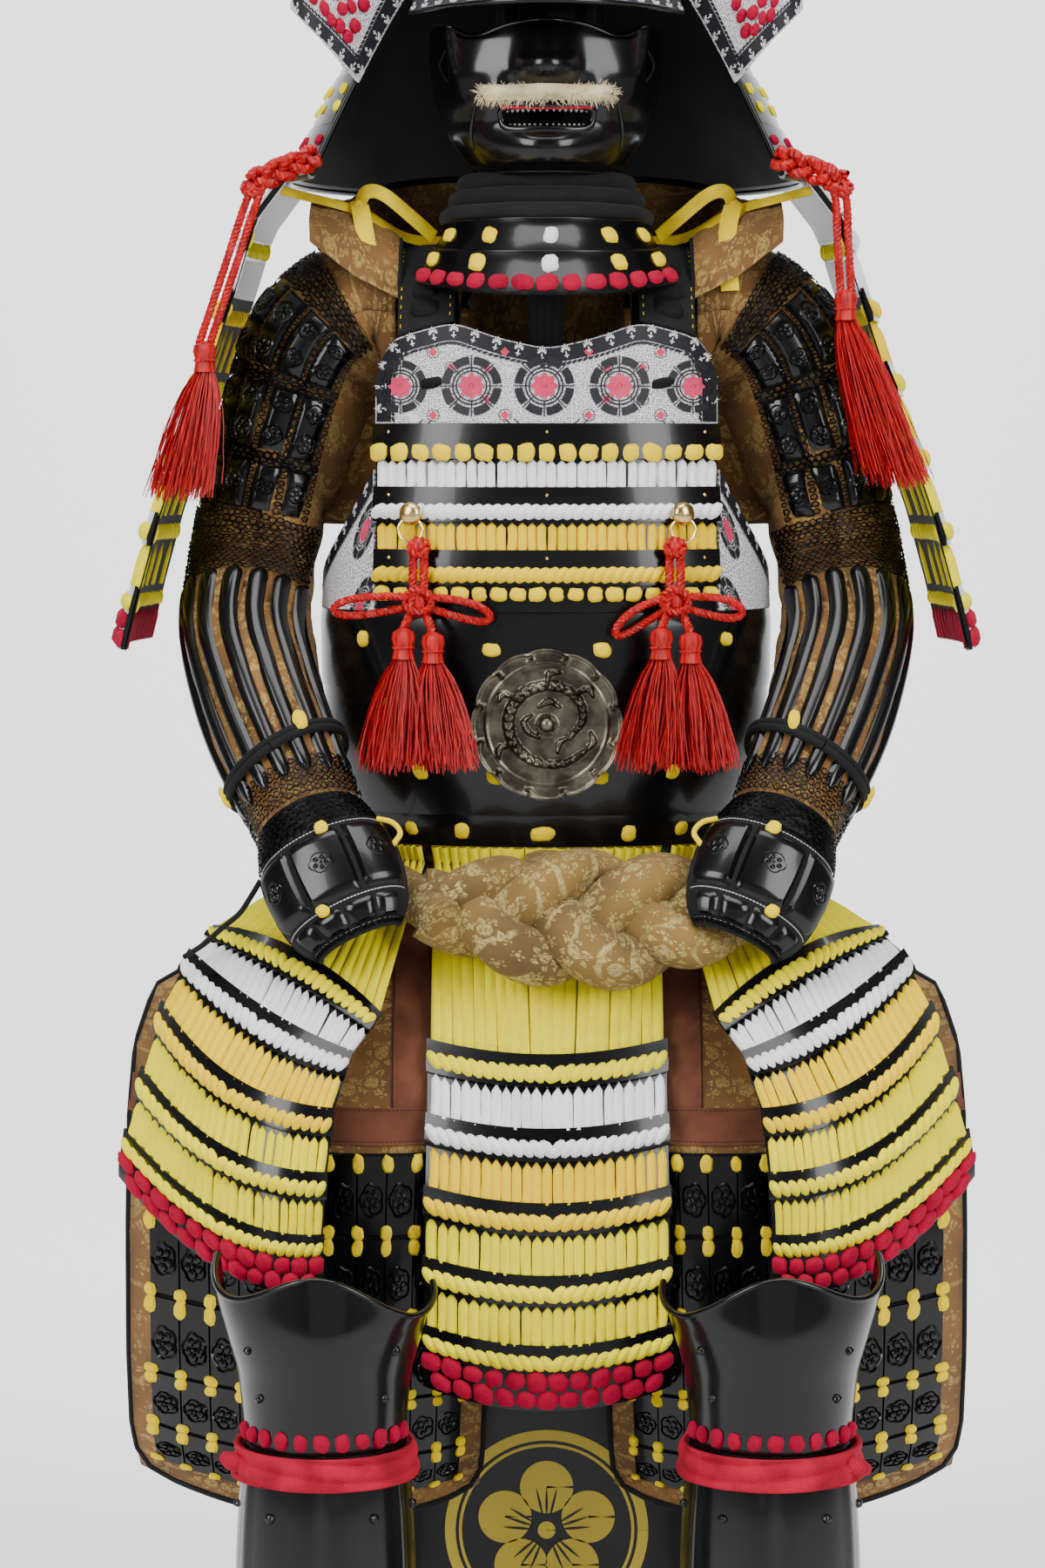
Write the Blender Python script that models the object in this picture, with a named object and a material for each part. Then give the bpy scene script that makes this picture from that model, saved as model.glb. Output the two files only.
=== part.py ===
"""A display suit of samurai armour, dressed on a stand that stands on its storage box.

Metres, +Z up, the front faces -Y, and the origin is the centre of the box's underside.
"left" and "right" are as seen from the front, so left is at -X. Paired pieces are worked
out for the left and mirrored for the right.
"""

import math
from collections import namedtuple

import bmesh
import bpy
from mathutils import Vector

# Driving dimensions
GAP = 0.0003  # between pieces that touch
PLATE = 0.003  # lacquered plate
CLOTH = 0.002  # brocade
SQUARENESS = 2.3  # exponent of the body's oval sections
CHEST_HALF = 0.133  # half width of the laced chest lames
HEM = 0.757  # height of the cuirass's lower edge
WAIST_TOP = 0.957  # height where the plain waist meets the laced lames
CHEST_BOTTOM = 1.104  # height of the top chest plate's lower edge
ARMHOLE_LOW = 0.985  # lowest point of the armhole
ARMHOLE_HIGH = 1.068
SHOULDER_Z = 1.2455  # underside of the shoulder straps
STRAP_INNER, STRAP_OUTER = 0.072, 0.116
MEDALLION_Z, MEDALLION_R = 0.870, 0.0595
STUD_X, STUD_Z = 0.1, 1.034
BELT_BOTTOM, BELT_TOP = 0.737, 0.772
SKIRT_BASE = PLATE + 0.0018 + GAP  # where the skirt's cords lie on the waist
SASH_BOTTOM, SASH_TOP = 0.7583, 0.782
SASH_START = 1.02  # angle from the front where the band meets the plait's ends
BOX_HALF_X, BOX_HALF_Y, BOX_WALL, BODY_H = 0.185, 0.165, 0.010, 0.4497
LID_BOTTOM, LID_TOP = 0.385, 0.460
HELMET_RIM, HELMET_H = 1.455, 0.130
HELMET_A, HELMET_B = 0.105, 0.125
NECK_WRAP_TOP, NECK_WRAP_BOTTOM = 1.3015, 1.262
KNEE_X = 0.166  # distance of each leg's axis from the middle
LEG_Y = -0.335
SHIN_TOP, KNEE_BOTTOM = 0.350, 0.3503

Section = namedtuple("Section", "height half_width half_depth")
TORSO = (
    Section(0.730, 0.145, 0.113),
    Section(0.757, 0.150, 0.117),
    Section(0.796, 0.161, 0.126),
    Section(0.850, 0.176, 0.137),
    Section(0.945, 0.180, 0.140),
    Section(1.000, 0.177, 0.139),
    Section(1.060, 0.170, 0.137),
    Section(1.104, 0.163, 0.134),
    Section(1.190, 0.150, 0.126),
)
EdgePoint = namedtuple("EdgePoint", "x height")
CHEST_EDGE = (
    EdgePoint(-CHEST_HALF, 1.135),
    EdgePoint(-0.128, 1.157),
    EdgePoint(-0.116, 1.172),
    EdgePoint(-0.072, 1.183),
    EdgePoint(-0.036, 1.170),
    EdgePoint(0.0, 1.162),
    EdgePoint(0.036, 1.170),
    EdgePoint(0.072, 1.183),
    EdgePoint(0.116, 1.172),
    EdgePoint(0.128, 1.157),
    EdgePoint(CHEST_HALF, 1.135),
)
# How far a lame's face stands out, at shares of its height from the top
Step = namedtuple("Step", "share lift")
CHEST_LAME = (Step(0.0, 0.0030), Step(0.30, 0.0030), Step(0.42, 0.0042), Step(0.55, 0.0015), Step(1.0, 0.0015))
LACED_LAME = (Step(0.0, 0.0030), Step(0.42, 0.0042), Step(0.54, 0.0015))
PLAIN_LAME = (Step(0.0, 0.0030), Step(0.60, 0.0008))
Ring = namedtuple("Ring", "x y z radius")
ARM = (
    Ring(-0.120, 0.000, 1.1935, 0.0560),
    Ring(-0.150, 0.000, 1.1925, 0.0570),
    Ring(-0.184, -0.003, 1.165, 0.0560),
    Ring(-0.206, -0.006, 1.110, 0.0530),
    Ring(-0.224, -0.010, 1.045, 0.0500),
    Ring(-0.237, -0.022, 0.985, 0.0480),
    Ring(-0.240, -0.050, 0.940, 0.0490),
    Ring(-0.228, -0.085, 0.893, 0.0480),
    Ring(-0.209, -0.120, 0.845, 0.0450),
    Ring(-0.184, -0.160, 0.793, 0.0400),
)
ELBOW_RING = 5
# A tasset's rows: points at its inner end, middle and outer end
Row = namedtuple("Row", "inner middle outer")
SIDE_TASSET = (
    Row((-0.128, -0.219, 0.650), (-0.192, -0.172, 0.693), (-0.262, -0.100, 0.704)),
    Row((-0.148, -0.252, 0.626), (-0.212, -0.215, 0.652), (-0.280, -0.116, 0.688)),
    Row((-0.161, -0.280, 0.588), (-0.235, -0.250, 0.606), (-0.300, -0.131, 0.650)),
    Row((-0.166, -0.295, 0.543), (-0.242, -0.268, 0.558), (-0.315, -0.143, 0.600)),
    Row((-0.169, -0.303, 0.498), (-0.243, -0.280, 0.510), (-0.328, -0.150, 0.552)),
    Row((-0.173, -0.306, 0.458), (-0.242, -0.287, 0.466), (-0.332, -0.156, 0.515)),
)
CENTRE_TASSET = (
    Row((-0.092, -0.196, 0.629), (0.0, -0.214, 0.619), (0.092, -0.196, 0.629)),
    Row((-0.092, -0.222, 0.576), (0.0, -0.240, 0.566), (0.092, -0.222, 0.576)),
    Row((-0.093, -0.236, 0.523), (0.0, -0.255, 0.512), (0.093, -0.236, 0.523)),
    Row((-0.094, -0.242, 0.470), (0.0, -0.262, 0.458), (0.094, -0.242, 0.470)),
    Row((-0.094, -0.245, 0.418), (0.0, -0.266, 0.405), (0.094, -0.245, 0.418)),
    Row((-0.093, -0.247, 0.370), (0.0, -0.268, 0.355), (0.093, -0.247, 0.370)),
)
THIGH = (
    Row((-0.012, -0.122, 0.695), (-0.130, -0.132, 0.695), (-0.232, -0.055, 0.700)),
    Row((-0.015, -0.148, 0.650), (-0.170, -0.164, 0.648), (-0.312, -0.080, 0.656)),
    Row((-0.028, -0.174, 0.600), (-0.175, -0.200, 0.600), (-0.326, -0.100, 0.612)),
    Row((-0.036, -0.188, 0.552), (-0.176, -0.216, 0.550), (-0.330, -0.112, 0.560)),
    Row((-0.045, -0.196, 0.460), (-0.176, -0.222, 0.458), (-0.331, -0.122, 0.465)),
    Row((-0.049, -0.200, 0.370), (-0.176, -0.226, 0.365), (-0.331, -0.124, 0.370)),
    Row((-0.051, -0.202, 0.312), (-0.176, -0.226, 0.300), (-0.329, -0.124, 0.312)),
    Row((-0.054, -0.202, 0.282), (-0.176, -0.226, 0.262), (-0.322, -0.124, 0.278)),
)
Oval = namedtuple("Oval", "height half_width front")
KNEECAP = (
    Oval(0.470, 0.068, 0.068),
    Oval(0.440, 0.067, 0.070),
    Oval(0.405, 0.062, 0.066),
    Oval(KNEE_BOTTOM, 0.056, 0.056),
)
SHIN = (
    Oval(SHIN_TOP, 0.057, 0.055),
    Oval(0.300, 0.062, 0.061),
    Oval(0.230, 0.064, 0.064),
    Oval(0.140, 0.058, 0.058),
    Oval(0.060, 0.050, 0.052),
    Oval(0.0, 0.050, 0.054),
)
GuardLine = namedtuple("GuardLine", "height x")
SHOULDER_GUARD = (
    GuardLine(1.303, -0.196),
    GuardLine(1.264, -0.226),
    GuardLine(1.209, -0.243),
    GuardLine(1.152, -0.262),
    GuardLine(1.092, -0.283),
    GuardLine(1.034, -0.303),
    GuardLine(0.976, -0.319),
    GuardLine(0.926, -0.331),
)
GUARD_HALF_Y, GUARD_BULGE = 0.112, 0.012
MaskRow = namedtuple("MaskRow", "height half_width half_depth nose chin")
MASK = (
    MaskRow(1.414, 0.089, 0.084, 0.010, 0.0),
    MaskRow(1.402, 0.090, 0.086, 0.015, 0.0),
    MaskRow(1.390, 0.090, 0.087, 0.020, 0.0),
    MaskRow(1.378, 0.089, 0.087, 0.025, 0.0),
    MaskRow(1.368, 0.087, 0.086, 0.012, 0.0),
    MaskRow(1.359, 0.085, 0.086, 0.006, 0.0),
    MaskRow(1.351, 0.082, 0.085, 0.003, 0.0),
    MaskRow(1.341, 0.078, 0.081, 0.0, 0.0),
    MaskRow(1.331, 0.074, 0.081, 0.0, 0.003),
    MaskRow(1.321, 0.067, 0.082, 0.0, 0.009),
    MaskRow(1.311, 0.060, 0.078, 0.0, 0.010),
    MaskRow(1.302, 0.050, 0.070, 0.0, 0.005),
)
MASK_Y = -0.045
MASK_ANGLES = (-82, -66, -50, -36, -24, -13, 0, 13, 24, 36, 50, 66, 82)
MOUTH_ROWS, MOUTH_COLUMNS = range(6, 8), range(4, 8)


# Helpers
def material(name, colour, roughness, metallic=0.0):
    made = bpy.data.materials.new(name)
    made.use_nodes = True
    shader = made.node_tree.nodes["Principled BSDF"]
    shader.inputs["Base Color"].default_value = (*colour, 1.0)
    shader.inputs["Roughness"].default_value = roughness
    shader.inputs["Metallic"].default_value = metallic
    return made


def mix(a, b, share):
    return a + (b - a) * share


def read_table(rows, key, value, at):
    """The value column of a table at a place in its key column, by straight interpolation."""
    ordered = sorted(rows, key=lambda row: getattr(row, key))
    if at <= getattr(ordered[0], key):
        return getattr(ordered[0], value)
    for low, high in zip(ordered, ordered[1:]):
        start, end = getattr(low, key), getattr(high, key)
        if at <= end:
            return mix(getattr(low, value), getattr(high, value), (at - start) / (end - start))
    return getattr(ordered[-1], value)


def through(row, share):
    """The point at a share of the smooth curve through a row's three points."""
    first, middle, last = Vector(row.inner), Vector(row.middle), Vector(row.outer)
    return (
        first * (2 * (share - 0.5) * (share - 1))
        + middle * (4 * share * (1 - share))
        + last * (2 * share * (share - 0.5))
    )


def finish_mesh(name, mesh, look, smooth=True):
    """An object of a closed bmesh, its faces turned outwards."""
    bmesh.ops.remove_doubles(mesh, verts=mesh.verts, dist=1e-6)
    bmesh.ops.dissolve_degenerate(mesh, edges=mesh.edges, dist=1e-6)
    bmesh.ops.recalc_face_normals(mesh, faces=mesh.faces)
    data = bpy.data.meshes.new(name)
    mesh.to_mesh(data)
    mesh.free()
    if smooth:
        data.shade_smooth()
        data.set_sharp_from_angle(angle=math.radians(40))
    data.materials.append(look)
    made = bpy.data.objects.new(name, data)
    bpy.context.scene.collection.objects.link(made)
    return made


def shell(name, inner, outer, look, closed=False, holes=(), side=1):
    """A wall between two grids of points, inner[row][column] and outer[row][column].

    closed joins the last column to the first, holes are (row, column) cells left open,
    and side -1 mirrors the wall to +X. Both faces of a cell are split the same way, so that
    a thin wall never crosses itself where the cell is twisted.
    """
    mesh = bmesh.new()
    layers = [
        [[mesh.verts.new((point[0] * side, point[1], point[2])) for point in row] for row in grid]
        for grid in (inner, outer)
    ]
    rows, columns = len(inner), len(inner[0])
    across = columns if closed else columns - 1
    cells = {(i, j) for i in range(rows - 1) for j in range(across)} - set(holes)
    for i, j in sorted(cells):
        after = (j + 1) % columns
        corners = ((i, j), (i, after), (i + 1, after), (i + 1, j))
        near, far = ([layer[r][c] for r, c in corners] for layer in layers)
        for half in ((0, 1, 2), (0, 2, 3)):
            mesh.faces.new([far[k] for k in half])
            mesh.faces.new([near[k] for k in reversed(half)])
        beside = ((i - 1, j), (i, (j + 1) % across if closed else j + 1), (i + 1, j),
                  (i, (j - 1) % across if closed else j - 1))
        for edge, neighbour in enumerate(beside):
            if neighbour not in cells:
                following = (edge + 1) % 4
                mesh.faces.new((near[edge], near[following], far[following], far[edge]))
    return finish_mesh(name, mesh, look)


def thickened(grid, thickness, lift=lambda i, j: 0.0, flip=False):
    """The outer grid of a wall: each point moved along the grid's own normal.

    With rows running down and columns running to +X, the normal points to the front.
    """
    rows, columns = len(grid), len(grid[0])
    outer = []
    for i in range(rows):
        line = []
        for j in range(columns):
            down = grid[min(i + 1, rows - 1)][j] - grid[max(i - 1, 0)][j]
            along = grid[i][min(j + 1, columns - 1)] - grid[i][max(j - 1, 0)]
            normal = down.cross(along).normalized() * (-1 if flip else 1)
            line.append(grid[i][j] + normal * (thickness + lift(i, j)))
        outer.append(line)
    return outer


def box_mesh(low, high):
    mesh = bmesh.new()
    bmesh.ops.create_cube(mesh, size=1.0)
    for vert in mesh.verts:
        vert.co = Vector([mix(low[k], high[k], vert.co[k] + 0.5) for k in range(3)])
    return mesh


def tube_mesh(points, radius, sides=6, closed=False):
    """A round tube through points; a closed one joins its ends."""
    mesh = bmesh.new()
    points = [Vector(point) for point in points]
    count = len(points)
    rings = []
    across = Vector((0.0, 1.0, 0.0))
    for i, point in enumerate(points):
        before = points[(i - 1) % count] if closed else points[max(i - 1, 0)]
        after = points[(i + 1) % count] if closed else points[min(i + 1, count - 1)]
        along = (after - before).normalized()
        first = (across - along * across.dot(along)).normalized()
        second = along.cross(first)
        size = radius[i] if isinstance(radius, (list, tuple)) else radius
        rings.append([
            mesh.verts.new(point + (first * math.cos(turn) + second * math.sin(turn)) * size)
            for turn in (2 * math.pi * k / sides for k in range(sides))
        ])
    for i in range(count if closed else count - 1):
        one, two = rings[i], rings[(i + 1) % count]
        for k in range(sides):
            mesh.faces.new((one[k], one[(k + 1) % sides], two[(k + 1) % sides], two[k]))
    if not closed:
        mesh.faces.new(rings[0])
        mesh.faces.new(rings[-1])
    return mesh


def joined(body, helpers, crossing=False):
    """Unites helper meshes with a body by Boolean modifiers; crossing allows for meshes that cross themselves."""
    for k, mesh in enumerate(helpers):
        helper = finish_mesh(f"{body.name}_part_{k}", mesh, body.data.materials[0])
        helper.hide_render = True
        helper.display_type = "WIRE"
        union = body.modifiers.new(f"union_{k}", "BOOLEAN")
        union.operation = "UNION"
        union.object = helper
        union.use_self = crossing
    return body


# Body form
def torso_size(height):
    return (
        read_table(TORSO, "height", "half_width", height),
        read_table(TORSO, "height", "half_depth", height),
    )


def torso_point(angle, height, out=0.0):
    """A point of the body's oval section, at an angle from the front towards +X, moved outwards."""
    a, b = torso_size(height)
    power = 2 / SQUARENESS
    x = a * math.copysign(abs(math.sin(angle)) ** power, math.sin(angle))
    y = -b * math.copysign(abs(math.cos(angle)) ** power, math.cos(angle))
    normal = Vector((
        math.copysign(abs(x / a) ** (SQUARENESS - 1), x) / a,
        math.copysign(abs(y / b) ** (SQUARENESS - 1), y) / b,
        0.0,
    )).normalized()
    return Vector((x, y, height)) + normal * out


def angle_at(x, height):
    """The angle whose point of the front lies at x."""
    a, _ = torso_size(height)
    return math.copysign(math.asin(min(abs(x / a), 1.0) ** (SQUARENESS / 2)), x)


def front_point(x, height, out=0.0, back=False):
    point = torso_point(angle_at(x, height), height, out)
    return Vector((point.x, -point.y, point.z)) if back else point


def band(name, look, columns, rows, point, base=0.0, thickness=PLATE, closed=False):
    """A wall on the body: rows are (share of the height, lift), and point gives the place."""
    inner = [[point(j / columns, share, base) for j in range(columns + (not closed))] for share, _ in rows]
    outer = [
        [point(j / columns, share, base + thickness + lift) for j in range(columns + (not closed))]
        for share, lift in rows
    ]
    return shell(name, inner, outer, look, closed)


# Box and stand
def storage_box(lacquer):
    mesh = box_mesh((-BOX_HALF_X, -BOX_HALF_Y, 0.0), (BOX_HALF_X, BOX_HALF_Y, BODY_H))
    hollow(mesh, BOX_WALL, BOX_WALL - BODY_H, up=True)
    finish_mesh("box_body", mesh, lacquer, smooth=False)
    lid_wall = 0.006
    grow = lid_wall + GAP
    mesh = box_mesh(
        (-BOX_HALF_X - grow, -BOX_HALF_Y - grow, LID_BOTTOM), (BOX_HALF_X + grow, BOX_HALF_Y + grow, LID_TOP)
    )
    hollow(mesh, lid_wall, BODY_H + GAP - LID_BOTTOM, up=False)
    finish_mesh("box_lid", mesh, lacquer, smooth=False)


def hollow(mesh, wall, depth, up):
    """Insets a box's top or bottom face by the wall and pushes it in by the depth."""
    face = max(mesh.faces, key=lambda f: f.calc_center_median().z * (1 if up else -1))
    bmesh.ops.inset_region(mesh, faces=[face], thickness=wall)
    pushed = bmesh.ops.extrude_face_region(mesh, geom=[face])
    verts = [item for item in pushed["geom"] if isinstance(item, bmesh.types.BMVert)]
    bmesh.ops.translate(mesh, verts=verts, vec=(0, 0, depth))
    bmesh.ops.delete(mesh, geom=[face], context="FACES")


def stand(wood):
    post, bar_end, bar_half, block_r, peg = 0.014, 0.130, 0.012, 0.046, 0.006
    base = finish_mesh(
        "stand", box_mesh((-0.10, -0.07, LID_TOP + GAP), (0.10, 0.07, LID_TOP + 0.018)), wood, smooth=False
    )
    chin = mask_point(0.14, MASK[-2]).y
    crown = HELMET_RIM + HELMET_H - GAP
    block = lathe(
        [(0.001, 1.355), (block_r, 1.362), (block_r, 1.49), (block_r * 0.85, 1.54), (0.02, crown - 0.008), (0.001, crown)],
        12,
    )
    joined(base, [
        box_mesh((-post, -post, LID_TOP + 0.010), (post, post, 1.40)),
        box_mesh((-bar_end, -bar_half, SHOULDER_Z - GAP - 0.022), (bar_end, bar_half, SHOULDER_Z - GAP)),
        block,
        box_mesh((-peg, chin + GAP, 1.312), (peg, 0.0, 1.320)),
    ])


def lathe(profile, sides):
    """A turned solid about Z from (radius, height) pairs."""
    mesh = bmesh.new()
    rings = [
        [
            mesh.verts.new((radius * math.cos(turn), radius * math.sin(turn), height))
            for turn in (2 * math.pi * k / sides for k in range(sides))
        ]
        for radius, height in profile
    ]
    for one, two in zip(rings, rings[1:]):
        for k in range(sides):
            mesh.faces.new((one[k], one[(k + 1) % sides], two[(k + 1) % sides], two[k]))
    mesh.faces.new(rings[0])
    mesh.faces.new(rings[-1])
    return mesh


# Cuirass
def cuirass(lacquer, leather):
    chest_columns = len(CHEST_EDGE) - 1

    def chest_top(back):
        def place(f, share, out):
            edge = CHEST_EDGE[round(f * chest_columns)]
            height = mix(edge.height, CHEST_BOTTOM + GAP, share)
            return front_point(edge.x, height, out, back)
        return place

    rows = ((0.0, 0.0), (0.35, 0.0), (1.0, 0.0))
    band("chest_top", leather, chest_columns, rows, chest_top(back=False))
    lames = 3
    lame_height = (CHEST_BOTTOM - WAIST_TOP) / lames
    for k in range(lames):
        top = CHEST_BOTTOM - k * lame_height - GAP / 2
        bottom = top - lame_height + GAP

        def lame(f, share, out, top=top, bottom=bottom):
            return front_point(mix(-CHEST_HALF, CHEST_HALF, f), mix(top, bottom, share), out)

        band(f"chest_lame_{k + 1}", lacquer, 10, CHEST_LAME, lame)

    back_lames = 4
    back_columns = 10
    edge_heights = [mix(e.height, 1.19, 0.4) for e in CHEST_EDGE]
    steps = [(-0.35 + 0.35 * share, 0.0) for share in (0.0, 0.5)]
    for k in range(back_lames):
        steps += [((k + step.share) / back_lames, step.lift) for step in PLAIN_LAME]
    steps.append((1.0, 0.0008))

    def back_place(f, share, out):
        top = edge_heights[round(f * back_columns)]
        height = mix(top, CHEST_BOTTOM, 1 + share / 0.35) if share < 0 else mix(CHEST_BOTTOM, WAIST_TOP + GAP, share)
        return front_point(CHEST_EDGE[round(f * back_columns)].x, height, out, back=True)

    band("back_plate", lacquer, back_columns, steps, back_place)

    for name, side in (("side_left", 1), ("side_right", -1)):
        side_plate(name, leather, side)

    waist_rows = ((0.0, 0.0), (0.31, 0.0012), (0.322, 0.0), (0.80, 0.0012), (0.812, 0.0), (1.0, 0.0012))
    for name, start in (("waist_front", -math.pi / 2), ("waist_back", math.pi / 2)):
        seam = 0.0012

        def waist(f, share, out, start=start):
            angle = start + seam + (math.pi - 2 * seam) * f
            return torso_point(angle, mix(WAIST_TOP - GAP, HEM, share), out)

        band(name, lacquer, 14, waist_rows, waist)


def side_plate(name, look, side):
    """The plate under the arm, from the chest lames round to the back, with the armhole's curve."""
    columns = 8

    def place(f, share, out):
        rise = abs(2 * f - 1) ** 1.6
        height = mix(mix(ARMHOLE_LOW, ARMHOLE_HIGH, rise), WAIST_TOP + GAP, share)
        clear = CHEST_HALF + 0.0012
        edge = angle_at(clear, height)
        angle = mix(edge, math.pi - edge, f)
        point = torso_point(angle, height, out)
        return Vector((-point.x, point.y, point.z))

    rows = (0.0, 0.5, 1.0)
    inner = [[place(j / columns, share, 0.0) for j in range(columns + 1)] for share in rows]
    outer = [[place(j / columns, share, PLATE) for j in range(columns + 1)] for share in rows]
    shell(name, inner, outer, look, side=side)


def straps(look):
    """Shoulder straps from the chest plate's top edge over the shoulder to the back plate."""
    xs = (STRAP_INNER, mix(STRAP_INNER, STRAP_OUTER, 0.5), STRAP_OUTER)
    rise = ((0.30, 0.52), (0.62, 0.88), (0.87, 1.0), (1.0, 1.0))  # shares of the way in and up
    for name, side in (("strap_left", 1), ("strap_right", -1)):
        inner = []
        for x in xs:
            chest_z = read_table(CHEST_EDGE, "x", "height", x) + 2 * GAP
            back_z = mix(chest_z, 1.19, 0.4) + GAP
            start = front_point(x, chest_z)
            end = front_point(x, back_z, back=True)
            path = [start]
            path += [Vector((-x, mix(start.y, 0.0, i), mix(chest_z, SHOULDER_Z, u))) for i, u in rise]
            path += [Vector((-x, mix(end.y, 0.0, i), mix(back_z, SHOULDER_Z, u))) for i, u in reversed(rise[:-1])]
            path.append(end)
            inner.append([Vector((-x, point.y, point.z)) for point in path])
        inner = [list(column) for column in zip(*inner)]
        outer = thickened(inner, PLATE)
        for k in (0, -1):
            outer[k] = [
                front_point(x, point.z, PLATE, back=(k == -1)) for x, point in zip(xs, inner[k])
            ]
            for point in outer[k]:
                point.x = -point.x
        shell(name, inner, outer, look, side=side)


def medallion(bronze):
    """A lobed bronze mirror that lies flat against the middle of the waist."""
    columns, lobes = 20, 8
    back_y = -(torso_size(MEDALLION_Z + MEDALLION_R)[1] + PLATE + 0.0004 + GAP)
    profile = ((0.0, 0.0085), (0.006, 0.0075), (0.008, 0.0030), (0.046, 0.0030), (0.048, 0.0045), (0.0595, 0.0040))
    inner, outer = [], []
    for radius, depth in profile:
        turns = [2 * math.pi * k / columns for k in range(columns)]
        ring = []
        for turn in turns:
            lobe = 1 - 0.03 * (1 - abs(math.cos(turn * lobes / 2))) if radius > 0.05 else 1
            ring.append((radius * lobe * math.cos(turn), radius * lobe * math.sin(turn)))
        inner.append([Vector((x, back_y, MEDALLION_Z + z)) for x, z in ring])
        outer.append([Vector((x, back_y - depth, MEDALLION_Z + z)) for x, z in ring])
    shell("medallion", inner, outer, bronze, closed=True)


def chest_ornaments(brass, silk):
    """On each side a brass stud with a ring, and a knotted red cord with two tassels."""
    for name, side in (("left", -1), ("right", 1)):
        face = front_point(side * STUD_X, STUD_Z, PLATE + 0.0042 + GAP)
        normal = (front_point(side * STUD_X, STUD_Z, PLATE) - front_point(side * STUD_X, STUD_Z)).normalized()
        sideways = Vector((-normal.y, normal.x, 0.0))
        stud_r, ring_r, wire = 0.0075, 0.0095, 0.0012
        profile = [(0.002, 0.0), (stud_r * 0.7, 0.0), (stud_r, 0.004), (stud_r * 0.8, 0.010), (0.001, 0.0125)]
        mesh = lathe(profile, 10)
        for vert in mesh.verts:
            vert.co = face + sideways * vert.co.x + normal * vert.co.z + Vector((0, 0, vert.co.y))
        stud = finish_mesh(f"stud_{name}", mesh, brass)
        centre = face + normal * 0.008 + Vector((0.0, -0.001, -stud_r - ring_r * 0.55))
        ring = [
            centre + Vector((ring_r * math.cos(turn), 0.0, ring_r * math.sin(turn)))
            for turn in (2 * math.pi * k / 10 for k in range(10))
        ]
        joined(stud, [tube_mesh(ring, wire, 4, closed=True)])
        cord_y = centre.y - 0.001
        top = Vector((face.x, cord_y, centre.z - ring_r - 2 * GAP))
        knot = Vector((face.x, cord_y - 0.012, 0.966))
        heads = [Vector((face.x + dx, -0.162, 0.944)) for dx in (-0.011, 0.011)]
        body = finish_mesh(
            f"chest_tassel_{name}",
            tube_mesh([top, mix(top, knot, 0.5), knot - Vector((0, 0, 0.006))], [0.0045, 0.0075, 0.0085]),
            silk,
        )
        ball = lathe([(0.003, knot.z - 0.0095), (0.0095, knot.z - 0.004), (0.0095, knot.z + 0.004), (0.003, knot.z + 0.0095)], 6)
        bmesh.ops.translate(ball, verts=ball.verts, vec=(knot.x, knot.y, 0))
        helpers = [ball] + [tassel_mesh(head, Vector((0.6 * math.copysign(1, head.x - face.x), -0.6, -4.8)), 0.088) for head in heads]
        for reach, drop in ((-0.066, 0.006), (0.056, 0.012)):
            helpers.append(tube_mesh(loop_points(knot, reach, drop), 0.0032, 4))
        helpers += [tube_mesh([knot, mix(knot, head, 0.5), head + Vector((0, 0, -0.003))], 0.0042) for head in heads]
        joined(body, helpers)


def loop_points(knot, reach, drop, count=6):
    """A flat bow loop from a knot out to one side."""
    points = []
    for k in range(count + 1):
        turn = math.pi * k / count
        out, up = math.sin(turn), math.cos(turn)
        points.append(knot + Vector((reach * out, 0.0, (0.0050 + 0.0080 * out) * up - drop * out)))
    return points


def tassel_mesh(top, lean, length, flat=0.45, inner_count=3, outer_count=6):
    """A tassel in one mesh: a turned head whose underside's faces are drawn out into strands.

    lean gives the strands' direction; flat narrows their spread from front to back.
    """
    mesh = bmesh.new()
    head_r = 0.0090
    profile = ((0.0045, 0.0), (0.0080, -0.004), (0.0060, -0.014), (head_r, -0.023))
    rings = []
    for radius, drop in profile:
        rings.append([
            mesh.verts.new(top + Vector((radius * math.cos(turn), radius * math.sin(turn), drop)))
            for turn in (2 * math.pi * k / outer_count for k in range(outer_count))
        ])
    mesh.faces.new(rings[0])
    for one, two in zip(rings, rings[1:]):
        for k in range(outer_count):
            mesh.faces.new((one[k], one[(k + 1) % outer_count], two[(k + 1) % outer_count], two[k]))
    bottom = profile[-1][1]
    core = [
        mesh.verts.new(top + Vector((0.45 * head_r * math.cos(turn), 0.45 * head_r * math.sin(turn), bottom)))
        for turn in (2 * math.pi * k / inner_count for k in range(inner_count))
    ]
    middle = mesh.verts.new(top + Vector((0, 0, bottom)))
    roots = []
    step = outer_count // inner_count
    for k in range(inner_count):
        here, after = core[k], core[(k + 1) % inner_count]
        roots.append(mesh.faces.new((middle, here, after)))
        for m in range(step):
            start, end = rings[-1][k * step + m], rings[-1][(k * step + m + 1) % outer_count]
            corner = (here, start, end) if m < step - 1 else (here, start, end, after)
            roots.append(mesh.faces.new(corner))
    bmesh.ops.recalc_face_normals(mesh, faces=mesh.faces)
    bmesh.ops.inset_individual(mesh, faces=roots, thickness=0.0003, use_even_offset=True)
    axis = top + Vector((0, 0, bottom))
    direction = lean.normalized()
    pulled = bmesh.ops.extrude_discrete_faces(mesh, faces=roots)
    for face in pulled["faces"]:
        centre = face.calc_center_median()
        root = centre - axis
        goal = axis + direction * length + Vector((root.x * STRAND_SPREAD, root.y * STRAND_SPREAD * flat, 0.0))
        for vert in face.verts:
            vert.co = goal + (vert.co - centre) * 1.2
    return mesh


# Helmet, mask and throat guard
def oval_point(angle, half_width, half_depth, height):
    return Vector((half_width * math.sin(angle), -half_depth * math.cos(angle), height))


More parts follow.
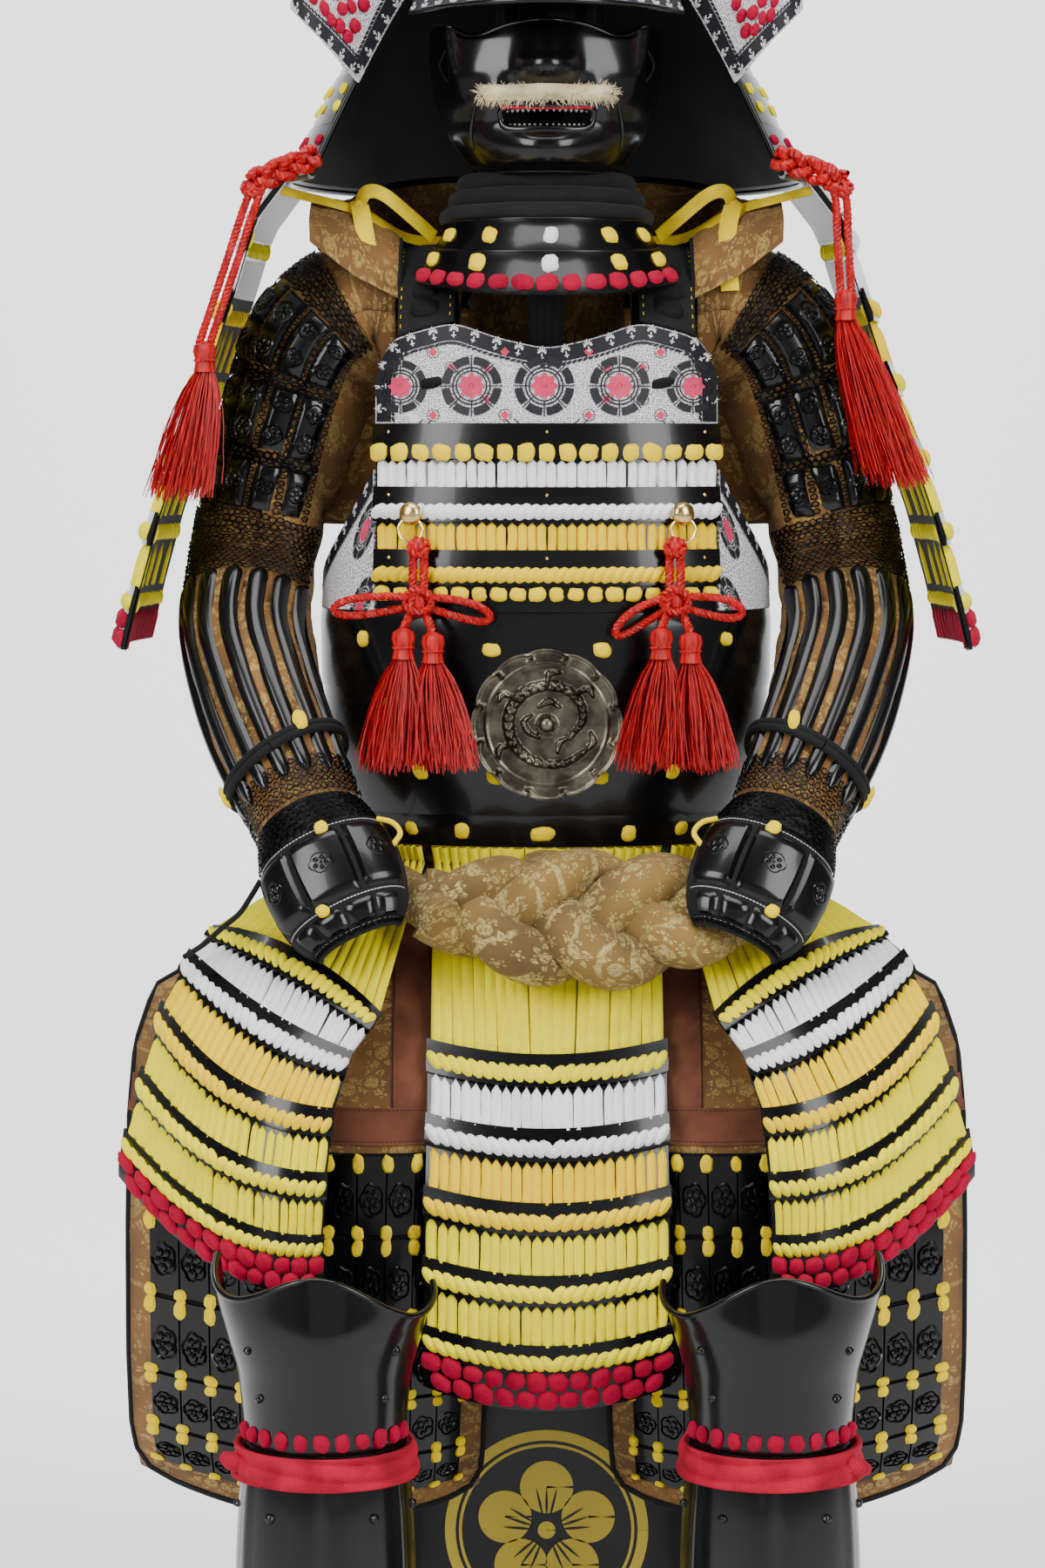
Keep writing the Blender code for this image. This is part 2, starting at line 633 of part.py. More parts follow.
def helmet(lacquer, leather):
    columns = 20
    rib = 0.0022
    grid = ([], [])
    for step in range(6):
        polar = math.radians((0, 22, 44, 64, 80, 90)[step])
        for layer, grow in zip(grid, (0.0, PLATE)):
            ring = []
            for k in range(columns):
                lift = rib * math.sin(polar) if layer is grid[1] and k % 2 == 0 else 0.0
                reach = math.sin(polar) ** 0.92 if polar else 0.0
                height = HELMET_RIM + (HELMET_H + grow) * math.cos(polar)
                ring.append(oval_point(
                    2 * math.pi * k / columns, (HELMET_A + grow + lift) * reach, (HELMET_B + grow + lift) * reach, height
                ))
            layer.append(ring)
    shell("helmet_bowl", *grid, lacquer, closed=True)

    out = PLATE + rib + GAP
    half_angle = math.radians(58)
    rows = ((out, out, 0.004), (out + 0.007, out + 0.030, -0.014), (out + 0.014, out + 0.058, -0.032))
    inner = [
        [
            oval_point(mix(-half_angle, half_angle, j / 10), HELMET_A + wide, HELMET_B + deep, HELMET_RIM + drop)
            for j in range(11)
        ]
        for wide, deep, drop in rows
    ]
    outer = [[point + Vector((0, -0.0008, PLATE)) for point in row] for row in inner]
    shell("visor", inner, outer, leather)
    neck_guard(lacquer, leather)


def neck_point(share, angle, out):
    """A point of the flared neck guard: share 0 is its top edge, 1 its lowest."""
    start = PLATE + 0.0034 + GAP
    half_width = mix(HELMET_A + start, 0.206, share ** 0.8)
    half_depth = mix(HELMET_B + start, 0.200, share ** 0.8)
    point = oval_point(angle, half_width + out, half_depth + out, mix(HELMET_RIM + 0.004, 1.298, share))
    return point


def neck_edge(share):
    """The angle of the neck guard's front edge."""
    return math.radians(mix(60, 63, share))


def neck_guard(lacquer, leather):
    lames, columns = 4, 14
    rows = []
    for k in range(lames):
        rows += [((k + 0.03 * (k > 0)) / lames, 0.003), ((k + 0.97) / lames, 0.0)]
    rows[-1] = (1.0, 0.0)

    def place(f, share, lift):
        edge = neck_edge(share)
        return neck_point(share, mix(edge, 2 * math.pi - edge, f), lift)

    band("neck_guard", lacquer, columns, rows, place)
    spans, count = (0.10, 0.21, 0.32, 0.43, 0.54), 4
    for name, side in (("turnback_left", 1), ("turnback_right", -1)):
        inner = []
        for i, share in enumerate(spans):
            start = neck_point(share, -(neck_edge(share) - 0.004), PLATE * 0.3)
            tip = Vector((mix(-0.188, -0.199, i / 4), mix(-0.104, -0.092, i / 4), mix(1.512, 1.428, i / 4)))
            inner.append([
                mix(start, tip, j / count) + Vector((0, -0.016 * math.sin(math.pi * j / count), 0)) for j in range(count + 1)
            ][::-1])
        shell(name, inner, thickened(inner, PLATE), leather, side=side)


def mask_point(angle, row, out=0.0):
    """A point of the face guard: an oval with a nose and a chin."""
    power = 2 / 2.2
    x = (row.half_width + out) * math.copysign(abs(math.sin(angle)) ** power, math.sin(angle))
    depth = (row.half_depth + out) * abs(math.cos(angle)) ** power
    depth += row.nose * math.exp(-((angle / 0.17) ** 2)) + row.chin * math.exp(-((angle / 0.42) ** 2))
    under_eye = 0.010 * math.exp(-(((abs(angle) - 0.62) / 0.26) ** 2)) * (row is MASK[0])
    cheek = 0.005 * math.exp(-(((abs(angle) - 0.75) / 0.3) ** 2)) * math.exp(-(((row.height - 1.375) / 0.018) ** 2))
    return Vector((x, MASK_Y - depth - cheek, row.height - under_eye))


def head_pieces(lacquer, wrap_cloth):
    angles = [math.radians(angle) for angle in MASK_ANGLES]
    inner = [[mask_point(angle, row) for angle in angles] for row in MASK]
    outer = [[mask_point(angle, row, PLATE) + Vector((0, -PLATE * 0.2, 0)) for angle in angles] for row in MASK]
    holes = [(i, j) for i in MOUTH_ROWS for j in MOUTH_COLUMNS]
    shell("mask", inner, outer, lacquer, holes=holes)

    rolls = 3
    rows = [(k / (2 * rolls), 0.005 if k % 2 else 0.0) for k in range(2 * rolls + 1)]

    def wrap(f, share, out):
        angle = 2 * math.pi * f
        height = mix(NECK_WRAP_TOP - GAP, NECK_WRAP_BOTTOM, share)
        point = oval_point(angle, 0.060 + 0.022 * share + out, 0.072 + 0.026 * share + out, height)
        return point + Vector((0, -0.028, 0))

    band("neck_wrap", wrap_cloth, 12, rows, wrap, thickness=PLATE, closed=True)

    def throat(f, share, out):
        turn = 2 * f - 1
        angle = 1.06 * turn
        height = mix(NECK_WRAP_BOTTOM - GAP, 1.203 + 0.010 * turn * turn, share)
        point = oval_point(angle, 0.0825 + 0.033 * share + out, 0.098 + 0.030 * share + out, height)
        return point + Vector((0, -0.028, 0))

    rows = ((0.0, 0.0022), (0.44, 0.0), (0.46, 0.0022), (0.86, 0.0034), (1.0, 0.0022))
    band("throat_guard", lacquer, 12, rows, throat)


# Arms
def arm_frame(index):
    """Centre, front direction, outward direction and radius of an arm ring."""
    ring = ARM[index]
    before, after = ARM[max(index - 1, 0)], ARM[min(index + 1, len(ARM) - 1)]
    along = Vector((after.x - before.x, after.y - before.y, after.z - before.z)).normalized()
    front = Vector((0, -1, 0))
    front = (front - along * front.dot(along)).normalized()
    return Vector((ring.x, ring.y, ring.z)), front, along.cross(front), ring.radius, along


def arm_point(index, angle, out=0.0):
    centre, front, outward, radius, _ = arm_frame(index)
    fold = 0.0022 * math.sin(3 * angle + 2.1 * index) if 0 < index < len(ARM) - 1 else 0.0
    return centre + (front * math.cos(angle) + outward * math.sin(angle)) * (radius + fold + out)


def arms(brocade, mail, lacquer):
    columns = 12
    turns = [2 * math.pi * k / columns for k in range(columns)]
    strips = 13
    for name, side in (("left", 1), ("right", -1)):
        inner = [[arm_point(i, turn) for turn in turns] for i in range(len(ARM))]
        outer = [[arm_point(i, turn, CLOTH) for turn in turns] for i in range(len(ARM))]
        shell(f"sleeve_{name}", inner, outer, brocade, closed=True, side=side)

        start_out = CLOTH + 0.0022
        inner, outer = [], []
        for i in range(1, len(ARM)):
            below = i >= ELBOW_RING
            down = (i - 1) / (len(ARM) - 2)
            first, last = math.radians(mix(-12, -76, down)), math.radians(mix(170, 150, down))
            turns_here = [mix(first, last, k / (strips - 1)) for k in range(strips)]
            inner.append([arm_point(i, turn, start_out) for turn in turns_here])
            lifts = [0.0042 if below and i < len(ARM) - 1 and k % 2 else 0.0016 for k in range(strips)]
            outer.append([arm_point(i, turn, start_out + lift) for turn, lift in zip(turns_here, lifts)])
        shell(f"arm_mail_{name}", inner, outer, mail, side=side)
        hand_guard(f"hand_guard_{name}", lacquer, side)


CORD_R = 0.0022
STRAND_SPREAD = 2.4
WRIST_CORD = (
    (-0.2215, -0.190, 0.752),
    (-0.2300, -0.188, 0.738),
    (-0.239, -0.180, 0.725),
    (-0.254, -0.170, 0.712),
    (-0.268, -0.160, 0.699),
    (-0.284, -0.150, 0.688),
)
HandRow = namedtuple("HandRow", "reach half_width height")
HAND = (
    HandRow(0.0, 0.0400, 0.0400),
    HandRow(0.028, 0.0490, 0.0370),
    HandRow(0.062, 0.0520, 0.0330),
    HandRow(0.096, 0.0450, 0.0250),
    HandRow(0.114, 0.0320, 0.0140),
)


def hand_guard(name, lacquer, side):
    """The domed plate over the back of the hand, from the sleeve's cuff to the knuckles."""
    centre, front, outward, _, along = arm_frame(len(ARM) - 1)
    columns = 10
    inner, outer = [], []
    for row in HAND:
        middle = centre + along * (row.reach + GAP)
        for layer, grow in ((inner, 0.0), (outer, PLATE)):
            layer.append([
                middle
                + front * math.cos(turn) * (row.height + grow)
                + outward * math.sin(turn) * (row.half_width + grow)
                for turn in (mix(-math.pi / 2, math.pi / 2, k / columns) for k in range(columns + 1))
            ])
    shell(name, inner, outer, lacquer, side=side)


def guard_point(height, share, out=0.0):
    x = read_table(SHOULDER_GUARD, "height", "x", height)
    bulge = GUARD_BULGE * (1 - (2 * share - 1) ** 2)
    return Vector((x - bulge - out, mix(GUARD_HALF_Y, -GUARD_HALF_Y, share), height))


def shoulder_guards(lacing):
    columns = 4
    heights = [row.height for row in SHOULDER_GUARD]
    rows = [(heights[0], 0.0015), (heights[1] + 0.0005, 0.0015)]
    for top, bottom in zip(heights[1:], heights[2:]):
        rows += [(mix(top, bottom, step.share), step.lift) for step in LACED_LAME]
    rows.append((heights[-1], 0.0015))
    for name, side in (("shoulder_guard_left", 1), ("shoulder_guard_right", -1)):
        inner = [[guard_point(h, k / columns) for k in range(columns + 1)] for h, _ in rows]
        outer = [[guard_point(h, k / columns, PLATE + lift) for k in range(columns + 1)] for h, lift in rows]
        shell(name, inner, outer, lacing, side=side)


def shoulder_trims(silk, ribbon):
    """Yellow ties from the straps to the shoulder guards, and red cords with a tassel in front of each."""
    # ends of the tassels: head, and how the strands lean
    Drop = namedtuple("Drop", "name side head lean length")
    cord_r = 0.0035
    drops = (
        Drop("left", -1, (-0.266, -0.140, 1.166), (-0.9, 0, -4.0), 0.100),
        Drop("right", 1, (0.232, -0.140, 1.206), (1.3, 0, -4.0), 0.133),
    )
    for drop in drops:
        side = drop.side
        corner = guard_point(SHOULDER_GUARD[0].height, 0.97)
        start = Vector((side * abs(corner.x), corner.y, corner.z + cord_r * math.cos(math.pi / 6) + GAP))
        head = Vector(drop.head)
        path = [
            start + Vector((-side * 0.012, 0.006, 0.0)),
            start + Vector((side * 0.006, -0.003, 0.0)),
            start + Vector((side * 0.020, -0.020, -0.008)),
            start + Vector((side * 0.030, -0.030, -0.026)),
            mix(start + Vector((side * 0.030, -0.030, -0.026)), head, 0.5),
            head + Vector((0, 0, -0.003)),
        ]
        body = finish_mesh(f"shoulder_tassel_{drop.name}", tube_mesh(path, cord_r), silk)
        joined(body, [tassel_mesh(head, Vector(drop.lean), drop.length, flat=0.6)])

        strap_top = SHOULDER_Z + PLATE + GAP
        inner_face = guard_point(1.292, 0.70)
        bridge = [
            Vector((-0.080, -0.012, strap_top + 0.0006)),
            Vector((-0.112, -0.014, strap_top + 0.0006)),
            Vector((-0.150, -0.040, 1.270)),
            Vector((inner_face.x + GAP + 0.0018, inner_face.y, 1.292)),
        ]
        width = Vector((0, 0.0055, 0))
        mirror = -side
        inner = [[point - width, point + width] for point in bridge]
        outer = [[point + Vector((0.0007, 0, 0.0014)) for point in row] for row in inner]
        tie = shell(f"shoulder_tie_{drop.name}", inner, outer, ribbon, side=mirror)
        knot = bridge[2]
        tail = [knot + Vector(step) for step in ((0, 0, 0.004), (0.004, -0.012, 0.0), (0.010, -0.020, -0.020),
                                                 (0.006, -0.024, -0.038 if side < 0 else -0.062))]
        for point in tail:
            point.x *= mirror
        joined(tie, [tube_mesh(tail, [0.0050, 0.0050, 0.0036, 0.0036], 5)])


# Skirt of tassets and sash
def laced_rows(rows, steps, lames):
    """(share down the table of rows, lift) for each row of a laced panel's points."""
    found = []
    for k in range(lames):
        found += [(k + step.share, step.lift) for step in steps]
    found.append((float(lames), 0.0015))
    return found


def row_point(rows, place, share):
    index = min(int(place), len(rows) - 2)
    below = place - index
    return mix(through(rows[index], share), through(rows[index + 1], share), below)


def tasset(name, rows, angles, look, columns, steps, side=1):
    """A laced panel: cords from the cuirass's hem, then the lames."""
    base = SKIRT_BASE
    hang = [
        [torso_point(mix(*angles, j / columns), height, base) for j in range(columns + 1)]
        for height in (0.772, HEM)
    ]
    lames = laced_rows(rows, steps, len(rows) - 1)
    inner = hang + [[row_point(rows, place, j / columns) for j in range(columns + 1)] for place, _ in lames]
    lifts = [-0.001, -0.001] + [lift for _, lift in lames]
    flip = through(rows[0], 1.0).x < through(rows[0], 0.0).x
    if through(rows[0], 0.5).y > 0:
        flip = not flip
    outer = thickened(inner, PLATE, lambda i, j: lifts[i], flip)
    for i, height in enumerate((0.772, HEM)):
        outer[i] = [
            torso_point(mix(*angles, j / columns), height, base + PLATE - 0.001) for j in range(columns + 1)
        ]
    shell(name, inner, outer, look, side=side)


def back_tasset_rows(middle, half):
    """Rows of a panel behind, hanging from the hem out over the box's edge."""
    Drop = namedtuple("Drop", "height reach spread")
    drops = (
        Drop(0.665, 0.042, 1.00), Drop(0.613, 0.073, 1.03), Drop(0.560, 0.099, 1.06),
        Drop(0.507, 0.120, 1.08), Drop(0.455, 0.136, 1.10), Drop(0.412, 0.147, 1.12),
    )
    rows = []
    for drop in drops:
        points = [
            torso_point(middle + half * drop.spread * turn, 0.757, drop.reach) for turn in (-1, 0, 1)
        ]
        rows.append(Row(*[(p.x, p.y, drop.height) for p in points]))
    return tuple(rows)


def skirt(lacing):
    front_angles = (angle_at(-0.088, HEM), angle_at(0.088, HEM))
    tasset("tasset_centre", CENTRE_TASSET, front_angles, lacing, 6, LACED_LAME)
    side_angles = (angle_at(-0.093, HEM), math.radians(-84))
    for name, side in (("tasset_left", 1), ("tasset_right", -1)):
        tasset(name, SIDE_TASSET, side_angles, lacing, 6, LACED_LAME, side)
    half = math.radians(25)
    for name, middle, side in (
        ("tasset_back_left", math.radians(-122), 1),
        ("tasset_back_right", math.radians(-122), -1),
        ("tasset_back_centre", math.pi, 1),
    ):
        rows = back_tasset_rows(middle, half)
        tasset(name, rows, (middle - half, middle + half), lacing, 5, PLAIN_LAME, side)


def sash(brocade):
    """The sash's turn round the waist, and its plait in front."""
    base = 2 * PLATE + 0.0020 + 2 * GAP
    rows = ((0.0, 0.0), (0.3, 0.002), (0.6, 0.0), (1.0, 0.002))

    def place(f, share, out):
        return torso_point(mix(SASH_START, 2 * math.pi - SASH_START, f), mix(SASH_TOP, SASH_BOTTOM, share), out)

    band("sash_band", brocade, 18, rows, place, base, CLOTH)
    front = -(torso_size(SASH_TOP)[1] + base + CLOTH + 0.002)
    strands = []
    points, middle_z, sway, radius = 9, 0.728, 0.031, 0.0205
    for k in range(3):
        phase = 2 * math.pi * k / 3
        path = []
        for i in range(points):
            f = i / (points - 1)
            turn = 2 * math.pi * 1.25 * f + phase
            pinch = 0.35 + 0.65 * math.sin(math.pi * f)
            z = middle_z + 0.012 * (2 * f - 1) ** 2 + sway * pinch * math.sin(turn)
            y = front - radius - 0.012 - (0.775 - z) * 0.5 - 0.008 * math.sin(2 * turn)
            path.append((mix(-0.098, 0.138, f), y, z))
        radii = [radius * (0.72 + 0.28 * math.sin(math.pi * i / (points - 1))) for i in range(points)]
        strands.append((path, radii))
    body = finish_mesh("sash_knot", tube_mesh(*strands[0], 6), brocade)
    tail_r = 0.009
    rest_y = -(torso_size(0.768)[1] + SKIRT_BASE + CLOTH + 2 * GAP)
    helpers = [tube_mesh(*strand, 6) for strand in strands[1:]]
    helpers.append(box_mesh((-0.028, rest_y - 0.040, HEM + 0.001), (0.028, rest_y, 0.768)))
    for side, end in ((-1, 0), (1, -1)):
        middle = sum((Vector(path[end]) for path, _ in strands), Vector()) / 3
        meeting = place(0.03, 0.5, base + CLOTH + 0.002 + GAP + tail_r)
        meeting.x *= side
        helpers.append(tube_mesh([mix(middle, meeting, -0.1), mix(middle, meeting, 0.5), meeting], tail_r))
    joined(body, helpers, crossing=True)


# Thigh guards
def thighs(brocade, plates, belt_cloth):
    belt_out = -GAP - 0.0018

    def belt(f, share, out):
        return torso_point(mix(-1.35, 1.35, f), mix(BELT_TOP, BELT_BOTTOM, share), out)

    band("thigh_belt", belt_cloth, 14, ((0.0, 0.0), (1.0, 0.0)), belt, base=belt_out - CLOTH, thickness=CLOTH)
    columns = 8
    ends = (math.radians(-3), math.radians(-76))
    for name, side in (("left", 1), ("right", -1)):
        places = [float(k) for k in range(len(THIGH))]
        top = [torso_point(mix(*ends, j / columns), BELT_BOTTOM - GAP, belt_out - CLOTH) for j in range(columns + 1)]
        inner = [top] + [[row_point(THIGH, place, j / columns) for j in range(columns + 1)] for place in places]
        outer = thickened(inner, CLOTH, flip=True)
        outer[0] = [torso_point(mix(*ends, j / columns), BELT_BOTTOM - GAP, belt_out) for j in range(columns + 1)]
        shell(f"thigh_cloth_{name}", inner, outer, brocade, side=side)

        first, last = 3.05, 6.55
        bars = 5
        rows = []
        for k in range(bars):
            rows += [(mix(first, last, (k + 0.02) / bars), 0.0026), (mix(first, last, (k + 0.98) / bars), 0.0006)]
        grid = [
            [row_point(THIGH, place, mix(0.085, 0.935, j / columns)) for j in range(columns + 1)] for place, _ in rows
        ]
        under = thickened(grid, CLOTH + 0.0018, flip=True)
        over = thickened(grid, CLOTH + 0.0018 + 0.002, lambda i, j: rows[i][1], flip=True)
        shell(f"thigh_plates_{name}", under, over, plates, side=side)


# Shin guards
def leg_point(rows, height, turn, out):
    half = read_table(rows, "height", "half_width", height) + out
    front = read_table(rows, "height", "front", height) + out
    return Vector((-KNEE_X + half * math.sin(turn), LEG_Y - front * math.cos(turn), height))


def legs(lacquer, tie_cloth):
    columns = 10
    limit = math.radians(100)
    turns = [mix(-limit, limit, k / columns) for k in range(columns + 1)]
    for name, side in (("left", 1), ("right", -1)):
        inner, outer = [], []
        for i, row in enumerate(KNEECAP):
            flare = (0.012, 0.005, 0.0, 0.0)[i]
            for layer, grow in ((inner, 0.0), (outer, PLATE)):
                line = []
                for turn in turns:
                    crest = (0.012 * math.cos(3 * turn) - 0.006 * turn) * (1 if i == 0 else 0)
                    wing = flare * abs(math.sin(turn)) ** 2
                    point = leg_point(KNEECAP, row.height, turn, grow + wing)
                    point.z += crest
                    line.append(point)
                layer.append(line)
        shell(f"kneecap_{name}", inner, outer, lacquer, side=side)

        rib = [0.0026 if k in (2, 5, 8) else 0.0 for k in range(columns + 1)]
        inner = [[leg_point(SHIN, row.height, turn, 0.0) for turn in turns] for row in SHIN]
        outer = [
            [leg_point(SHIN, row.height, turn, PLATE + lift) for turn, lift in zip(turns, rib)] for row in SHIN
        ]
        shell(f"shin_{name}", inner, outer, lacquer, side=side)

        rounds = 18
        heights = (SHIN_TOP - 0.004, SHIN_TOP - 0.013, SHIN_TOP - 0.022)
        clear = PLATE + 0.0026 + GAP
        ring = [-limit + 2 * math.pi * k / rounds for k in range(rounds)]
        inner = [[leg_point(SHIN, height, turn, clear) for turn in ring] for height in heights]
        outer = [
            [leg_point(SHIN, height, turn, clear + CLOTH + 0.001 * (i == 1)) for turn in ring]
            for i, height in enumerate(heights)
        ]
        shell(f"shin_tie_{name}", inner, outer, tie_cloth, closed=True, side=side)


def wrist_cord(look):
    """The loose end of the hand guard's tie, which hangs over the skirt on one side."""
    curve = bpy.data.curves.new("wrist_cord", "CURVE")
    curve.dimensions = "3D"
    curve.bevel_depth = CORD_R
    curve.bevel_resolution = 2
    curve.use_fill_caps = True
    line = curve.splines.new("POLY")
    points = cord_route()
    line.points.add(len(points) - 1)
    for place, point in zip(line.points, points):
        place.co = (*point, 1.0)
    curve.materials.append(look)
    cord = bpy.data.objects.new("wrist_cord", curve)
    bpy.context.scene.collection.objects.link(cord)


def cord_route():
    """Points along a smooth curve through the cord's knots."""
    knots = [Vector(knot) for knot in WRIST_CORD]
    padded = [2 * knots[0] - knots[1], *knots, 2 * knots[-1] - knots[-2]]
    steps, points = 2, []
    for a, b, c, d in zip(padded, padded[1:], padded[2:], padded[3:]):
        for k in range(steps):
            t = k / steps
            points.append(
                0.5 * (2 * b + (c - a) * t + (2 * a - 5 * b + 4 * c - d) * t * t + (3 * b - a - 3 * c + d) * t ** 3)
            )
    return [*points, knots[-1]]


def main():
    for stale in list(bpy.data.objects):
        bpy.data.objects.remove(stale)
    lacquer = material("black_lacquer", (0.012, 0.012, 0.014), 0.12)
    leather = material("printed_leather", (0.72, 0.70, 0.70), 0.6)
    lacing = material("yellow_lacing", (0.85, 0.74, 0.13), 0.8)
    brocade = material("gold_brocade", (0.33, 0.20, 0.07), 0.5)
    silk = material("red_silk", (0.62, 0.02, 0.025), 0.5)
    ribbon = material("yellow_ribbon", (0.86, 0.58, 0.03), 0.8)
    bronze = material("bronze", (0.16, 0.13, 0.10), 0.4, 1.0)
    brass = material("brass", (0.75, 0.55, 0.2), 0.3, 1.0)
    mail = material("black_mail", (0.02, 0.02, 0.02), 0.4)
    wood = material("dark_wood", (0.05, 0.035, 0.025), 0.6)
    wrap = material("black_cloth", (0.01, 0.01, 0.011), 0.9)
    rose = material("rose_cloth", (0.55, 0.03, 0.09), 0.85)
    russet = material("russet_cloth", (0.22, 0.07, 0.035), 0.7)
    storage_box(lacquer)
    stand(wood)
    cuirass(lacquer, leather)
    straps(wrap)
    medallion(bronze)
    chest_ornaments(brass, silk)
    helmet(lacquer, leather)
    head_pieces(lacquer, wrap)
    arms(brocade, mail, lacquer)
    shoulder_guards(lacing)
    shoulder_trims(silk, ribbon)
    skirt(lacing)
    sash(brocade)
    thighs(brocade, mail, russet)
    legs(lacquer, rose)
    wrist_cord(wrap)


main()
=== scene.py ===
"""Looks of a display suit of samurai armour on its stand and storage box.

Metres, +Z up, the front faces -Y, and left is at -X, as seen from the front.
"""

import math

import bpy
import numpy as np
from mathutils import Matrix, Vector


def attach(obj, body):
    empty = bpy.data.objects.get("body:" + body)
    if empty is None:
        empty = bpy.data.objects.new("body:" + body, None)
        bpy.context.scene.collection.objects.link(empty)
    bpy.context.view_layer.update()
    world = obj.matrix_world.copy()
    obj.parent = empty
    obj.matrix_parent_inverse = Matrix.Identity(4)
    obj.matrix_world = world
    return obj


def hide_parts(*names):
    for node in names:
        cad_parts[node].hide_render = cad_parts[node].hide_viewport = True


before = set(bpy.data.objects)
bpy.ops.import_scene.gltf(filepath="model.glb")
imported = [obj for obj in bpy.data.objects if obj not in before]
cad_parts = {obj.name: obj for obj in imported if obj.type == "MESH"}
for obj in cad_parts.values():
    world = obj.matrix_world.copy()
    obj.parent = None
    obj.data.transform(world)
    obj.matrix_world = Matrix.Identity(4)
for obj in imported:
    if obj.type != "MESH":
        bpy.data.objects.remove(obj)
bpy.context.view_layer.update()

RNG = np.random.default_rng(11)

# Driving dimensions, as in the part's source
GAP, PLATE, CLOTH = 0.0003, 0.003, 0.002
SQUARENESS = 2.3
CHEST_HALF, HEM, WAIST_TOP, CHEST_BOTTOM = 0.133, 0.757, 0.957, 1.104
ARMHOLE_LOW, ARMHOLE_HIGH = 0.985, 1.068
SHOULDER_Z, STRAP_INNER, STRAP_OUTER = 1.2455, 0.072, 0.116
MEDALLION_Z, MEDALLION_R = 0.870, 0.0595
STUD_X, STUD_Z = 0.1, 1.034
SKIRT_BASE = PLATE + 0.0018 + GAP
SASH_BOTTOM, SASH_TOP, SASH_START = 0.7583, 0.782, 1.02
HELMET_RIM, HELMET_H, HELMET_A, HELMET_B = 1.455, 0.130, 0.105, 0.125
KNEE_X, LEG_Y, SHIN_TOP, KNEE_BOTTOM = 0.166, -0.335, 0.350, 0.3503
GUARD_HALF_Y, GUARD_BULGE = 0.112, 0.012
MASK_Y = -0.045
TORSO = np.array((
    (0.730, 0.145, 0.113), (0.757, 0.150, 0.117), (0.796, 0.161, 0.126), (0.850, 0.176, 0.137),
    (0.945, 0.180, 0.140), (1.000, 0.177, 0.139), (1.060, 0.170, 0.137), (1.104, 0.163, 0.134),
    (1.190, 0.150, 0.126),
))
CHEST_EDGE = np.array((
    (-CHEST_HALF, 1.135), (-0.128, 1.157), (-0.116, 1.172), (-0.072, 1.183), (-0.036, 1.170), (0.0, 1.162),
    (0.036, 1.170), (0.072, 1.183), (0.116, 1.172), (0.128, 1.157), (CHEST_HALF, 1.135),
))
ARM = np.array((
    (-0.120, 0.000, 1.1935, 0.0560), (-0.150, 0.000, 1.1925, 0.0570), (-0.184, -0.003, 1.165, 0.0560),
    (-0.206, -0.006, 1.110, 0.0530), (-0.224, -0.010, 1.045, 0.0500), (-0.237, -0.022, 0.985, 0.0480),
    (-0.240, -0.050, 0.940, 0.0490), (-0.228, -0.085, 0.893, 0.0480), (-0.209, -0.120, 0.845, 0.0450),
    (-0.184, -0.160, 0.793, 0.0400),
))
SIDE_TASSET = np.array((
    ((-0.128, -0.219, 0.650), (-0.192, -0.172, 0.693), (-0.262, -0.100, 0.704)),
    ((-0.148, -0.252, 0.626), (-0.212, -0.215, 0.652), (-0.280, -0.116, 0.688)),
    ((-0.161, -0.280, 0.588), (-0.235, -0.250, 0.606), (-0.300, -0.131, 0.650)),
    ((-0.166, -0.295, 0.543), (-0.242, -0.268, 0.558), (-0.315, -0.143, 0.600)),
    ((-0.169, -0.303, 0.498), (-0.243, -0.280, 0.510), (-0.328, -0.150, 0.552)),
    ((-0.173, -0.306, 0.458), (-0.242, -0.287, 0.466), (-0.332, -0.156, 0.515)),
))
CENTRE_TASSET = np.array((
    ((-0.092, -0.196, 0.629), (0.0, -0.214, 0.619), (0.092, -0.196, 0.629)),
    ((-0.092, -0.222, 0.576), (0.0, -0.240, 0.566), (0.092, -0.222, 0.576)),
    ((-0.093, -0.236, 0.523), (0.0, -0.255, 0.512), (0.093, -0.236, 0.523)),
    ((-0.094, -0.242, 0.470), (0.0, -0.262, 0.458), (0.094, -0.242, 0.470)),
    ((-0.094, -0.245, 0.418), (0.0, -0.266, 0.405), (0.094, -0.245, 0.418)),
    ((-0.093, -0.247, 0.370), (0.0, -0.268, 0.355), (0.093, -0.247, 0.370)),
))
THIGH = np.array((
    ((-0.012, -0.122, 0.695), (-0.130, -0.132, 0.695), (-0.232, -0.055, 0.700)),
    ((-0.015, -0.148, 0.650), (-0.170, -0.164, 0.648), (-0.312, -0.080, 0.656)),
    ((-0.028, -0.174, 0.600), (-0.175, -0.200, 0.600), (-0.326, -0.100, 0.612)),
    ((-0.036, -0.188, 0.552), (-0.176, -0.216, 0.550), (-0.330, -0.112, 0.560)),
    ((-0.045, -0.196, 0.460), (-0.176, -0.222, 0.458), (-0.331, -0.122, 0.465)),
    ((-0.049, -0.200, 0.370), (-0.176, -0.226, 0.365), (-0.331, -0.124, 0.370)),
    ((-0.051, -0.202, 0.312), (-0.176, -0.226, 0.300), (-0.329, -0.124, 0.312)),
    ((-0.054, -0.202, 0.282), (-0.176, -0.226, 0.262), (-0.322, -0.124, 0.278)),
))
KNEECAP = np.array(((0.470, 0.068, 0.068), (0.440, 0.067, 0.070), (0.405, 0.062, 0.066),
    (KNEE_BOTTOM, 0.056, 0.056)))
SHIN = np.array((
    (SHIN_TOP, 0.057, 0.055), (0.300, 0.062, 0.061), (0.230, 0.064, 0.064), (0.140, 0.058, 0.058),
    (0.060, 0.050, 0.052), (0.0, 0.050, 0.054),
))
